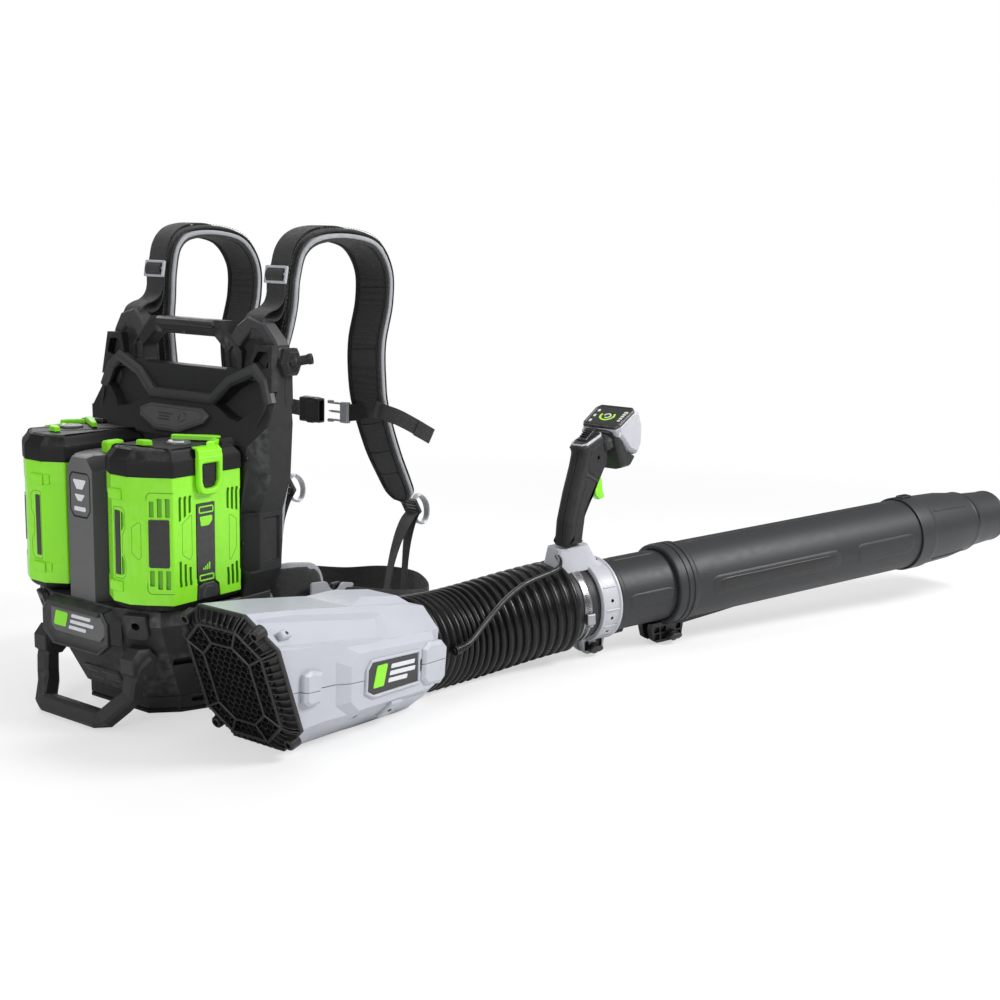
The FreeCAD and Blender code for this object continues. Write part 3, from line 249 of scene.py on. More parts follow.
WEB = material("webbing_black", (38, 38, 39), rough=0.78, grain=0.3, wear=0.10,
               wear_rgb=(88, 88, 90), spec=0.3, sheen=0.2, pattern="web", pattern_mm=2.2,
               pattern_depth=0.7)
THREAD = material("stitch_thread", (92, 92, 94), rough=0.8, grain=0.3, grain_mm=0.3,
                  wear=0.0, sheen=0.3)
PIPING = material("piping_black", (30, 30, 31), rough=0.6, grain=0.4, grain_mm=0.5, wear=0.1,
                  spec=0.35, pattern="weave", pattern_mm=1.0, pattern_depth=0.3)
# buckles, screen and badges
BUCKLE_GREY = material("buckle_grey_acetal", (172, 174, 180), rough=0.32, grain=0.15,
                       wear=0.15, mottle=0.03)
BUCKLE = material("buckle_black_acetal", (44, 44, 45), rough=0.4, rough_var=0.03, grain=0.15)
GLASS = material("screen_glass", (26, 30, 24), rough=0.12, grain=0.0, wear=0.0, coat=0.8,
                 rough_var=0.03, mottle=0.03, dust=0.0)
GLOW = material("screen_segments", (176, 226, 60), rough=0.35, grain=0.1, wear=0.0, dust=0.0)
SOFT_GLOW = material("screen_soft", (206, 210, 196), rough=0.35, grain=0.1, wear=0.0, dust=0.0)
LABEL = material("label_black", (14, 14, 15), rough=0.25, grain=0.1, wear=0.05, coat=0.3,
                 mottle=0.03)
PALE = material("badge_pale", (212, 214, 218), rough=0.35, grain=0.15, wear=0.05, mottle=0.02)
FOOT = material("rubber_foot", (22, 22, 22), rough=0.8, grain=0.6, wear=0.05)
# fan unit, tube and handle
SEAM = material("seam_shadow", (96, 98, 104), rough=0.6, grain=0.1, wear=0.0)
HANGER = material("hanger_grey", (150, 152, 157), rough=0.4, grain_mm=0.7, wear=0.1)
TUBE = material("tube_satin", (44, 45, 47), rough=0.5, rough_var=0.03, grain=0.35,
                grain_mm=0.7, mottle=0.03, wear=0.1, spec=0.35)
RING = material("ring_grey", (178, 180, 186), rough=0.42, grain=0.3, grain_mm=0.7, wear=0.1)
NOZZLE = material("nozzle_satin", (48, 49, 51), rough=0.46, rough_var=0.03, grain=0.35,
                  grain_mm=0.7, mottle=0.03, wear=0.1, spec=0.35)
HEAD = material("head_grey", (182, 184, 190), rough=0.4, grain_mm=0.7, mottle=0.04, wear=0.08)


# ---------------------------------------------------------------- geometry
class Frame:
    """An origin in millimetres with axes u, v and n; n is the depth direction."""

    def __init__(self, origin, u, v, n):
        self.origin = Vector(origin)
        self.u, self.v, self.n = (Vector(axis).normalized() for axis in (u, v, n))

    def at(self, a, b, depth=0.0):
        return self.origin + self.u * a + self.v * b + self.n * depth

    def moved(self, a, b, depth=0.0):
        return Frame(self.at(a, b, depth), self.u, self.v, self.n)


def side_frame(origin, side):
    """u along X, v up, depth outwards to the given side."""
    return Frame(origin, X, Z, (0, side, 0))


def mirrored(points, side):
    """Points given for the right (y first negative), mirrored in Y for the left."""
    return [(p[0], p[1] if side < 0 else -p[1], *p[2:]) for p in points]


def inset(outline, distance):
    """Offset a polygon inwards."""
    pts = [tuple(p[:2]) for p in outline]
    if abs(distance) < 1e-9:
        return pts
    area = sum(a[0] * b[1] - b[0] * a[1] for a, b in zip(pts, pts[1:] + pts[:1])) / 2.0
    turn = 1.0 if area > 0 else -1.0
    result = []
    for i in range(len(pts)):
        before, here, after = Vector(pts[i - 1]), Vector(pts[i]), Vector(pts[(i + 1) % len(pts)])
        edge1, edge2 = here - before, after - here
        if edge1.length < 1e-9 or edge2.length < 1e-9:
            result.append(pts[i])
            continue
        edge1.normalize()
        edge2.normalize()
        normal1 = Vector((-edge1.y, edge1.x)) * turn
        normal2 = Vector((-edge2.y, edge2.x)) * turn
        mitre = normal1 + normal2
        if mitre.length < 1e-6:
            mitre = normal1
        mitre.normalize()
        result.append(tuple(here + mitre * (distance / max(0.35, mitre.dot(normal1)))))
    return result


def rounded(outline, radius, seg=3):
    """Polygon with its corners turned into arcs of about the radius, one or one per corner."""
    count = len(outline)
    radii = radius if isinstance(radius, (list, tuple)) else [radius] * count
    result = []
    for i in range(count):
        before, here, after = (Vector(outline[k % count][:2]) for k in (i - 1, i, i + 1))
        edge1, edge2 = before - here, after - here
        length1, length2 = edge1.length, edge2.length
        edge1.normalize()
        edge2.normalize()
        angle = math.acos(max(-1, min(1, edge1.dot(edge2))))
        if radii[i] <= 0 or angle > math.radians(176):
            result.append(tuple(here))
            continue
        reach = min(radii[i] / math.tan(angle / 2), length1 * 0.45, length2 * 0.45)
        start, end = here + edge1 * reach, here + edge2 * reach
        for k in range(seg + 1):
            f = k / seg
            result.append(tuple(start * (1 - f) ** 2 + here * 2 * f * (1 - f) + end * f * f))
    return result


def rect(x0, y0, x1, y1):
    return [(x0, y0), (x1, y0), (x1, y1), (x0, y1)]


def layers(frame, outline, steps):
    """Rings of an outline on a frame, one for every (depth, inset)."""
    return [[frame.at(a, b, depth) for a, b in inset(outline, into)] for depth, into in steps]


class Mesh:
    """Vertices in millimetres, faces and the material slot of each face."""

    def __init__(self):
        self.verts, self.faces, self.slots = [], [], []

    def add(self, verts, faces, slot=0):
        first = len(self.verts)
        self.verts += [Vector(v) for v in verts]
        self.faces += [tuple(i + first for i in face) for face in faces]
        self.slots += [slot] * len(faces)
        return self

    def join(self, other):
        first = len(self.verts)
        self.verts += other.verts
        self.faces += [tuple(i + first for i in face) for face in other.faces]
        self.slots += other.slots
        return self

    def loft(self, rings, caps=True, slot=0, loop=False):
        """Skin equal rings; a loop joins the last ring to the first."""
        size, count = len(rings[0]), len(rings)
        faces = []
        for i in range(count if loop else count - 1):
            a, b = i * size, ((i + 1) % count) * size
            for j in range(size):
                k = (j + 1) % size
                faces.append((a + j, a + k, b + k, b + j))
        if caps and not loop:
            faces.append(tuple(reversed(range(size))))
            faces.append(tuple(range((count - 1) * size, count * size)))
        return self.add([p for ring in rings for p in ring], faces, slot)

    def prism(self, frame, outline, steps, slot=0):
        """Solid through the (depth, inset) steps of an outline."""
        return self.loft(layers(frame, outline, steps), slot=slot)

    def slab(self, frame, outline, depth0, depth1):
        return self.prism(frame, outline, [(depth0, 0.0), (depth1, 0.0)])

    def hoop(self, frame, outline, steps):
        """Closed band round an outline whose section is the (depth, inset) steps."""
        return self.loft(layers(frame, outline, steps), loop=True)

    def box(self, frame, low, high, chamfer=0.0):
        """Box between two (a, b, depth) corners, chamfered at both ends of its depth."""
        outline = rect(low[0], low[1], high[0], high[1])
        if chamfer <= 0:
            return self.slab(frame, outline, low[2], high[2])
        return self.prism(frame, outline, [(low[2], chamfer), (low[2] + chamfer, 0),
                                           (high[2] - chamfer, 0), (high[2], chamfer)])

    def revolve(self, frame, profile, n=72, closed=False, start=0.0, end=360.0, flatten=1.0):
        """Turn a profile of (depth, radius) about the frame's n axis."""
        full = abs(end - start) > 359.9
        count = n if full else n + 1
        verts = []
        for k in range(count):
            t = math.radians(start + (end - start) * k / n)
            verts += [frame.at(r * math.cos(t), r * math.sin(t) * flatten, depth)
                      for depth, r in profile]
        size = len(profile)
        faces = []
        for i in range(count if full else count - 1):
            a, b = i * size, ((i + 1) % count) * size
            for j in range(size if closed else size - 1):
                k = (j + 1) % size
                faces.append((a + j, b + j, b + k, a + k))
        if not full:
            faces.append(tuple(range(size)))
            faces.append(tuple(reversed(range((count - 1) * size, count * size))))
        elif not closed:
            faces.append(tuple(reversed([i * size for i in range(count)])))
            faces.append(tuple(i * size + size - 1 for i in range(count)))
        return self.add(verts, faces)

    def plug(self, frame, depth0, radius0, depth1, radius1, n, flatten=1.0):
        """Solid round or oval peg."""
        profile = [(depth0, .01), (depth0, radius0), (depth1, radius1), (depth1, .01)]
        return self.revolve(frame, profile, n=n, flatten=flatten)

    def screw(self, frame, r, head, depth):
        """Pan head with a recessed star socket."""
        n = 24
        turns = [2 * math.pi * k / n for k in range(n)]
        star = [r * (.46 if (k % 4) < 2 else .34) for k in range(n)]
        rows = [([r] * n, 0), ([r] * n, head * .55), ([r * .72] * n, head), (star, head),
                ([v * .95 for v in star], head - depth)]
        return self.loft([[frame.at(v * math.cos(t), v * math.sin(t), d)
                           for v, t in zip(radii, turns)] for radii, d in rows])


def groove(frame, outline, width, depth):
    """Cutter that leaves a groove along a closed outline on a face."""
    return Mesh().hoop(frame, outline, [(1.0, 0), (1.0, width), (-depth, width * .8),
                                        (-depth, width * .2)])


def to_object(name, mesh, mats):
    """Scene object in metres, doubles merged and normals outward."""
    data = bpy.data.meshes.new(name)
    data.from_pydata([tuple(v * MM) for v in mesh.verts], [], mesh.faces)
    for mat in mats if isinstance(mats, (list, tuple)) else [mats]:
        data.materials.append(mat)
    data.polygons.foreach_set("material_index", mesh.slots)
    data.update()
    bm = bmesh.new()
    bm.from_mesh(data)
    bmesh.ops.remove_doubles(bm, verts=bm.verts, dist=1e-6)
    bmesh.ops.dissolve_degenerate(bm, edges=bm.edges, dist=1e-6)
    bmesh.ops.recalc_face_normals(bm, faces=bm.faces)
    bm.to_mesh(data)
    bm.free()
    obj = bpy.data.objects.new(name, data)
    bpy.context.scene.collection.objects.link(obj)
    return obj


def bake(obj):
    """Apply every modifier."""
    bpy.context.view_layer.update()
    graph = bpy.context.evaluated_depsgraph_get()
    data = bpy.data.meshes.new_from_object(obj.evaluated_get(graph),
                                           preserve_all_data_layers=True, depsgraph=graph)
    obj.modifiers.clear()
    old = obj.data
    obj.data = data
    bpy.data.meshes.remove(old)


def boolean(obj, tool, operation, **settings):
    mod = obj.modifiers.new("boolean", "BOOLEAN")
    mod.operation = operation
    mod.solver = "EXACT"
    mod.object = tool
    for key, value in settings.items():
        setattr(mod, key, value)
    bake(obj)


def weld(obj, mesh):
    """Unite a mesh with an object."""
    tool = to_object("weld_tool", mesh, list(obj.data.materials))
    boolean(obj, tool, "UNION")
    bpy.data.objects.remove(tool)


def survey(data):
    """Vertex count, count of non-manifold edges and volume."""
    bm = bmesh.new()
    bm.from_mesh(data)
    result = (len(bm.verts), sum(1 for e in bm.edges if not e.is_manifold),
              abs(bm.calc_volume()))
    bm.free()
    return result


def carve(obj, tools, mat=None):
    """Subtract meshes; the cut faces take mat. A cut that spoils the mesh is undone."""
    for mesh in [tools] if isinstance(tools, Mesh) else tools:
        tool = to_object(obj.name + "_tool", mesh, [mat] if mat else list(obj.data.materials))
        before = obj.data.copy()
        _, open_before, volume_before = survey(before)
        # the second try lets the solver handle self-intersections
        for settings in ({}, {"use_self": True}):
            boolean(obj, tool, "DIFFERENCE", material_mode="TRANSFER", **settings)
            verts, open_edges, volume = survey(obj.data)
            if verts >= 8 and open_edges <= open_before + 6 and volume >= volume_before * .35:
                break
            obj.data = before
            before = obj.data.copy()
        bpy.data.meshes.remove(before)
        bpy.data.objects.remove(tool)


def dress(obj, body="pack", replaces=(), bevel=0, seg=2, angle=30, slot="black_plastic",
          smooth=34, weighted=True):
    """Round the edges, shade and attach a finished piece to its body; a piece given a blend of
    bodies only has its transform baked.
    """
    if bevel:
        mod = obj.modifiers.new("bevel", "BEVEL")
        mod.width = bevel * MM
        mod.segments = seg
        mod.limit_method = "ANGLE"
        mod.angle_limit = math.radians(angle)
        mod.use_clamp_overlap = True
        mod.harden_normals = False
        mod.miter_outer = "MITER_ARC"
    if obj.modifiers:
        bake(obj)
    data = obj.data
    data.polygons.foreach_set("use_smooth", [True] * len(data.polygons))
    data.set_sharp_from_angle(angle=math.radians(smooth))
    data.update()
    if weighted:
        mod = obj.modifiers.new("weighted", "WEIGHTED_NORMAL")
        mod.keep_sharp = True
        mod.weight = 80
        bake(obj)
    if isinstance(body, str):
        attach(obj, body)
    else:
        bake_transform(obj)
    if replaces:
        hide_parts(*([replaces] if isinstance(replaces, str) else replaces))


def piece(name, mesh, mats, body="pack", replaces=(), cut=None, cut_mat=None, **finish):
    """Make, carve and dress a piece in one go."""
    obj = to_object(name, mesh, mats)
    if cut is not None:
        carve(obj, cut, cut_mat)
    dress(obj, body, replaces, **finish)


def soft(name, mesh, mat, body="pack", replaces=(), slot="pad_fabric"):
    """Piece without bevels or weighted normals, shaded smooth."""
    piece(name, mesh, mat, body, replaces, slot=slot, smooth=60, weighted=False)


def spline(points, span):
    """Catmull-Rom points with `span` steps between neighbours."""
    pts = [Vector(p) for p in points]
    result = []
    for i in range(len(pts) - 1):
        p0 = pts[i - 1] if i > 0 else pts[0] * 2 - pts[1]
        p1, p2 = pts[i], pts[i + 1]
        p3 = pts[i + 2] if i + 2 < len(pts) else pts[-1] * 2 - pts[-2]
        for k in range(span):
            t = k / span
            result.append(0.5 * ((2 * p1) + (p2 - p0) * t
                                 + (2 * p0 - 5 * p1 + 4 * p2 - p3) * t * t
                                 + (3 * p1 - p0 - 3 * p2 + p3) * t ** 3))
    result.append(pts[-1])
    return result


def stations_along(points, across):
    """(point, tangent, across, normal) at every point; across is one vector or a list."""
    pts = [Vector(p) for p in points]
    result = []
    for i, p in enumerate(pts):
        tangent = (pts[min(i + 1, len(pts) - 1)] - pts[max(i - 1, 0)]).normalized()
        wide = Vector(across[i] if isinstance(across, list) else across)
        wide = (wide - tangent * wide.dot(tangent)).normalized()
        result.append((p, tangent, wide, tangent.cross(wide)))
    return result


def rod(points, radius, n=16, across=(0.13, 0.31, 0.94)):
    """Round bar along a path; the radius may be a list."""
    rings = []
    for i, (p, _, wide, normal) in enumerate(stations_along(points, across)):
        r = radius[i] if isinstance(radius, list) else radius
        turns = [2 * math.pi * k / n for k in range(n)]
        rings.append([p + wide * r * math.cos(t) + normal * r * math.sin(t) for t in turns])
    return Mesh().loft(rings)


def blend_list(values, fraction):
    """Value at a fraction 0..1 of the way along a list."""
    x = fraction * (len(values) - 1)
    i = min(int(x), len(values) - 2)
    return values[i] + (values[i + 1] - values[i]) * (x - i)


def bar_section(centre, wide, high, half_w, half_h, cut):
    """Eight-cornered section with its corners cut."""
    w, h = half_w, half_h
    pts = [(-w, -h + cut), (-w, h - cut), (-w + cut, h), (w - cut, h),
           (w, h - cut), (w, -h + cut), (w - cut, -h), (-w + cut, -h)]
    return [centre + wide * a + high * b for a, b in pts]


def strap(name, path, width, thick, across, replaces=(), span=8, edge=0.35, mat=WEB,
          slot="webbing", ripple=0.0):
    """Flat band with rounded edges; its UV is (across, along) in metres for the ribbed weave."""
    pts = spline(path, span)
    if isinstance(across, list):
        vectors = [Vector(v) for v in across]
        across = []
        for i in range(len(pts)):
            x = i / (len(pts) - 1) * (len(vectors) - 1)
            j = min(int(x), len(vectors) - 2)
            across.append(vectors[j].lerp(vectors[j + 1], x - j))
    rings, lengths, along = [], [], 0.0
    for i, (p, _, wide, normal) in enumerate(stations_along(pts, across)):
        if i:
            along += (pts[i] - pts[i - 1]).length
        lengths.append(along)
        half = blend_list(width, i / (len(pts) - 1)) if isinstance(width, list) else width
        half = half / 2
        t = thick / 2
        upper = [(-half + edge * 1.2, t), (-half + 3, t * 1.05), (0, t * 1.12),
                 (half - 3, t * 1.05), (half - edge * 1.2, t)]
        profile = [(-half, 0), *upper, (half, 0), *((a, -b) for a, b in reversed(upper))]
        lift = ripple * math.sin(along / 9.0)
        rings.append([p + wide * a + normal * (b + lift) for a, b in profile])
    mesh = Mesh().loft(rings)
    data = bpy.data.meshes.new(name)
    data.from_pydata([tuple(v * MM) for v in mesh.verts], [], mesh.faces)
    data.materials.append(mat)
    size = len(profile)
    uv = data.uv_layers.new(name="UVMap")
    for poly in data.polygons:
        for li in poly.loop_indices:
            vi = data.loops[li].vertex_index
            # every ring takes its across places from the last profile
            uv.data[li].uv = (profile[vi % size][0] * MM, lengths[vi // size] * MM)
    data.update()
    obj = bpy.data.objects.new(name, data)
    bpy.context.scene.collection.objects.link(obj)
    bm = bmesh.new()
    bm.from_mesh(data)
    bmesh.ops.recalc_face_normals(bm, faces=bm.faces)
    bm.to_mesh(data)
    bm.free()
    dress(obj, replaces=replaces, slot=slot, smooth=50, weighted=False)


def stitches(name, pts, normals, length, gap, r, lift=0.25):
    """Row of short raised thread stitches along a path."""
    reach = [0.0]
    for a, b in zip(pts, pts[1:]):
        reach.append(reach[-1] + (b - a).length)

    def place(s):
        for i in range(len(pts) - 1):
            if reach[i + 1] >= s:
                k = (s - reach[i]) / max(reach[i + 1] - reach[i], 1e-9)
                return pts[i].lerp(pts[i + 1], k), normals[i].lerp(normals[i + 1], k).normalized()

    mesh = Mesh()
    s = gap
    while s + length < reach[-1]:
        a, up_a = place(s)
        b, up_b = place(s + length)
        mid = (a + b) / 2 + (up_a + up_b).normalized() * lift
        mesh.join(rod([a, a.lerp(mid, .5) + up_a * lift * .4, mid,
                       b.lerp(mid, .5) + up_b * lift * .4, b],
                      [r * .5, r, r, r, r * .5], n=6, across=tuple(up_a)))
        s += length + gap
    soft(name, mesh, THREAD, slot="webbing")


def both(build):
    """Run a builder for the right and then the left."""
    for side, tag in ((-1, "right"), (1, "left")):
        build(side, tag)


UP = Frame((0, 0, 0), X, Y, Z)

# ------------------------------------------------------------- batteries
# Plan of the right battery, X and Y.
BATTERY_PLAN = [(-1, -43), (-1, -156), (-122, -156), (-143, -126), (-154, -106), (-154, -73),
                (-137, -43)]
GAUGE_X, GAUGE_Y = -72, 112
HINGE_SCREWS = [(6.5, 324), (6.5, 201)]     # on the inner rear facet
# Closed outlines on the battery faces, (along the face, Z).
OUTER_GROOVES = [[(15, 286), (31, 297), (33, 294), (33, 241), (29, 234), (15, 244)],
                 [(98, 285), (101, 288), (113, 279), (113, 240), (101, 222), (98, 225)]]
FACET_GROOVE = [(3, 282), (14, 290), (17, 286), (17, 243), (13, 237), (3, 247)]
REAR_GROOVE = [(3, 307), (20, 307), (26, 301), (26, 279), (20, 269), (20, 247), (26, 237),
               (26, 216), (20, 210), (3, 210)]
FOOT_RECESS = [(38, 170), (82, 170), (79, 196), (70, 203), (48, 203), (40, 200)]
LATCH_OUTER = rounded([(37.5, 376.5), (81, 376.5), (80, 338), (74, 327.5), (67, 324.5),
                       (50, 324.5), (42, 328), (38, 338)], [3, 3, 7, 5, 5, 5, 5, 7], 4)
LATCH_INNER = rounded([(45, 366.5), (73.5, 366.5), (73, 343), (69, 335), (64, 333), (53, 333),
                       (47.5, 336), (45.4, 344)], [3, 3, 5, 4, 4, 4, 4, 5], 4)


def battery_faces(side):
    """Frames on the rear, first facet, second facet, outer face and inner rear facet."""
    def face(i, j):
        a, b = (Vector(p) for p in mirrored((BATTERY_PLAN[i], BATTERY_PLAN[j]), side))
        d = (b - a).normalized()
        n = Vector((d.y, -d.x, 0)) if side < 0 else Vector((-d.y, d.x, 0))
        return Frame((a.x, a.y, 0), (d.x, d.y, 0), Z, n)
    inner = face(5, 6)
    inner.n = -inner.n
    return face(5, 4), face(4, 3), face(3, 2), face(2, 1), inner


def slot_cut(frame, u0, u1, z0, z1, depth=3.0, slant=0.0):
    pts = rounded([(u0, z0 + slant), (u1, z0), (u1, z1), (u0, z1)], 1.2, 2)
    return Mesh().prism(frame, pts, [(1.2, -0.5), (0, -0.1), (-depth, 0.35)])


def battery_cuts(side):
    rear, facet1, facet2, outer, inner = battery_faces(side)
    slots = Mesh()
    for u in (5, 15.5, 26):
        short = 4 if u < 6 else 0
        slots.join(slot_cut(facet2, u, u + 6.2, 296, 321 - short, 2.6))
        slots.join(slot_cut(facet2, u, u + 6.2, 200 + short, 225, 2.6))
    for k, u in enumerate((10, 18.5, 27)):
        slots.join(slot_cut(outer, u, u + 4.2, 291 + 4.5 * k, 322, 3.4, -3))
        slots.join(slot_cut(outer, u, u + 4.2, 201, 236 - 5 * k, 3.4))
    for k, u in enumerate((94, 102, 110)):
        slots.join(slot_cut(outer, u, u + 4.4, 294 - 2 * k, 324, 3.4, 3))
        slots.join(slot_cut(outer, u, u + 4.4, 189, 214 + 3 * k, 3.4))
    grooves = Mesh()
    for outline in OUTER_GROOVES:
        grooves.join(groove(outer, rounded(outline, 2, 2), 1.5, 1.1))
    grooves.join(groove(facet1, rounded(FACET_GROOVE, 2, 2), 1.4, 1.0))
    grooves.join(groove(rear, rounded(REAR_GROOVE, 2.5, 2), 1.5, 1.2))
    pockets = Mesh()
    for frame, outline, radius, depth in (
            (rear, [(5.0, 302), (16, 302), (16, 215), (5.0, 215)], 1.5, 1.6),
            (rear, [(17.5, 302), (23, 298), (23, 282), (17.5, 273)], 1.5, 2.4),
            (rear, [(17.5, 244), (23, 235), (23, 219), (17.5, 214)], 1.5, 2.4),
            (outer, [(39.5, 309), (72.5, 309), (72.5, 200), (39.5, 200)], 2, 1.6),
            (facet2, [(3.6, 293.2), (31.4, 293.2), (31.4, 228.5), (3.6, 228.5)], 2.5, 0.9)):
        pockets.slab(frame, rounded(outline, radius, 2), 1, -depth)
    foot = Mesh().slab(outer, rounded(FOOT_RECESS, 3, 3), 2, -9)
    panel = [(1.2, 198), (1.2, 324), (5, 329), (60, 329), (60, 193), (5, 193)]
    wells = [Mesh().plug(inner.moved(u, z), -7, 3.6, 1.0, 4.2, n=20) for u, z in HINGE_SCREWS]
    return [slots, grooves, pockets, foot, groove(facet2, rounded(panel, 2, 2), 1.3, 0.9)] + wells


def battery_shell(side, tag):
    body = "battery_" + tag[0]
    rear, _, facet2, outer, inner = battery_faces(side)
    footprint = rounded(mirrored(BATTERY_PLAN, side), 4.5, 3)
    shell = Mesh().prism(UP, footprint, [(178.0, 0.6), (179.2, 0), (206, 0), (209, 0.9),
                                         (318, 0.9), (321, 0), (346.8, 0), (348, 0.6)])
    # the walls of the slots, grooves, pockets and wells take the darker green as painted shade
    piece("battery_shell_" + tag, shell, GREEN, body, "battery_case_" + tag,
          cut=battery_cuts(side), cut_mat=GREEN_PAINTED_SHADE, bevel=0.5, angle=32, slot="green_plastic")
    # blocks across the rear corner, screws in their wells
    blocks = Mesh()
    for z0, z1 in ((316, 331), (193, 207.5)):
        blocks.prism(rear, rounded(rect(-4.0, z0, 21, z1), 2.5, 3),
                     [(-.8, 0), (2.6 - 1.2, 0), (2.6, 1.2)])
        blocks.prism(inner, rounded(rect(-2.0, z0 + .5, 12, z1 - .5), 2.5, 3),
                     [(-.8, 0), (1.4 - .9, 0), (1.4, .9)])
    piece("battery_hinges_" + tag, blocks, GREEN, body, bevel=0.5, slot="green_plastic")
    screws = Mesh()
    for u, z in HINGE_SCREWS:
        screws.screw(inner.moved(u, z, -5.5), 3.1, 1.6, 1.4)
    piece("battery_screws_" + tag, screws, NEAR_BLACK_AND_SHADE, body, slot="steel")
    labels = Mesh()
    labels.prism(facet2, rounded([(4, 293), (31, 293), (31, 229), (4, 229)], 2.5, 3),
                 [(-0.9, 0), (0.25, 0), (0.45, .4)])
    labels.prism(outer, rounded([(40, 308.6), (72, 308.6), (72, 200.4), (40, 200.4)], 2, 3),
                 [(-1.6, 0), (0.0, 0), (0.3, .4)])
    piece("battery_labels_" + tag, labels, LABEL, body, slot="battery_black", smooth=30)
    strip = Mesh().prism(rear, rounded([(5.6, 301), (15.2, 301), (15.2, 216), (5.6, 216)], 1.2, 2),
                         [(-1.6, 0), (-.5, 0), (-.3, .3)])
    piece("battery_side_strip_" + tag, strip, DARK_GREY, body, slot="battery_black", smooth=30)
    # rounded frames, a plaque and a row of ticks on the outer label
    trim = Mesh()
    for z0, z1 in ((295, 305), (203, 212)):
        trim.hoop(outer, rounded(rect(43, z0, 69, z1), 3, 4),
                  [(0.2, 0), (1.3, .3), (1.3, 1.7), (0.2, 2.0)])
    trim.prism(outer, rounded([(45, 291), (67, 291), (67, 284), (61, 278), (47, 278)], 2, 3),
               [(0.1, 0), (.6, 0), (.9, .5)])
    for k in range(4):
        tick = rect(50 + k * 3.4, 218, 52.2 + k * 3.4, 221 + 2.2 * k)
        trim.prism(outer, rounded(tick, .4, 1), [(0.1, 0), (.5, 0), (.6, .2)])
    piece("battery_trim_" + tag, trim, GREEN, body, slot="green_plastic", smooth=40)


def battery_ends(side, tag):
    """Black cap and base, the round gauge and the green rails on the cap."""
    body = "battery_" + tag[0]
    plan = mirrored(BATTERY_PLAN, side)
    cap = Mesh().prism(UP, rounded(plan, 4.5, 3), [
        (348.2, -0.4), (349.2, -1.3), (366, -1.3), (368, -.6), (369.5, -.6), (379, 7.5),
        (382, 9.0), (384, 13)])
    cap.prism(UP, rounded(inset(plan, 14), 6, 3), [(382, 0), (386.2, 1.2), (388, 4.0)])
    # wedge beside the latch and the raised lobe at the rear
    wedge = [(-30, -150), (-6, -150), (-6, -112), (-16, -112), (-34, -140)]
    cap.prism(UP, rounded(mirrored(wedge, side), 3, 2), [(378, 0), (387, 1), (390, 4)])
    lobe = [(-146, -86), (-132, -64), (-112, -64), (-112, -96), (-126, -112), (-140, -104)]
    cap.prism(UP, rounded(mirrored(lobe, side), 4, 2), [(378, 0), (385.5, 1), (388, 5)])
    gauge_frame = Frame((GAUGE_X, side * GAUGE_Y, 0), X, Y, Z)
    cuts = [Mesh().plug(gauge_frame, 384.6, 17, 394, 18, n=40),
            groove(UP.moved(0, 0, 388.0), rounded(inset(plan, 27), 6, 3), 1.4, 1.2)]
    piece("battery_cap_" + tag, cap, CAP_BLACK, body, "battery_ends_" + tag, cut=cuts,
          bevel=0.7, slot="battery_black")
    base = Mesh().prism(UP, rounded(inset(plan, 1.2), 4.5, 3),
                        [(168.2, 9), (171.5, 4.5), (175, 1.2), (178, -0.1)])
    piece("battery_base_" + tag, base, CAP_BLACK, body, bevel=0.6, slot="battery_black")
    disc = Mesh().revolve(gauge_frame, [(384.4, .01), (386.4, 4), (387.0, 10), (387.4, 14.6),
                                        (386.8, 15.8), (384.6, 16.2)], n=48)
    piece("battery_gauge_" + tag, disc, GREY, body, smooth=40, slot="battery_black")
    arc = Mesh().revolve(gauge_frame, [(387.3, 9.0), (388.3, 9.6), (388.5, 13.2), (387.3, 13.8)],
                         n=24, start=100, end=260, closed=True)
    piece("battery_gauge_arc_" + tag, arc, PALE, body, smooth=40, slot="light_grey_plastic")
    rails = Mesh()
    for outline, radius, steps in (
            ([(-60, -82), (-52, -80), (-20, -126), (-18, -136), (-26, -142), (-31, -133)],
             1.6, [(386, 0), (391.0, .4), (392.2, 1.6)]),
            ([(-31, -133), (-24, -142), (-48, -155), (-62, -153), (-44, -142)],
             1.2, [(381, 0), (388.0, .3), (389.5, 1.4)]),
            ([(-121, -84), (-113, -82), (-106, -94), (-110, -106), (-120, -98)],
             1.6, [(385, 0), (390.4, .5), (391.4, 1.6)])):
        rails.prism(UP, rounded(mirrored(outline, side), radius, 2), steps)
    piece("battery_rails_" + tag, rails, GREEN, body, bevel=0.3, slot="green_plastic")


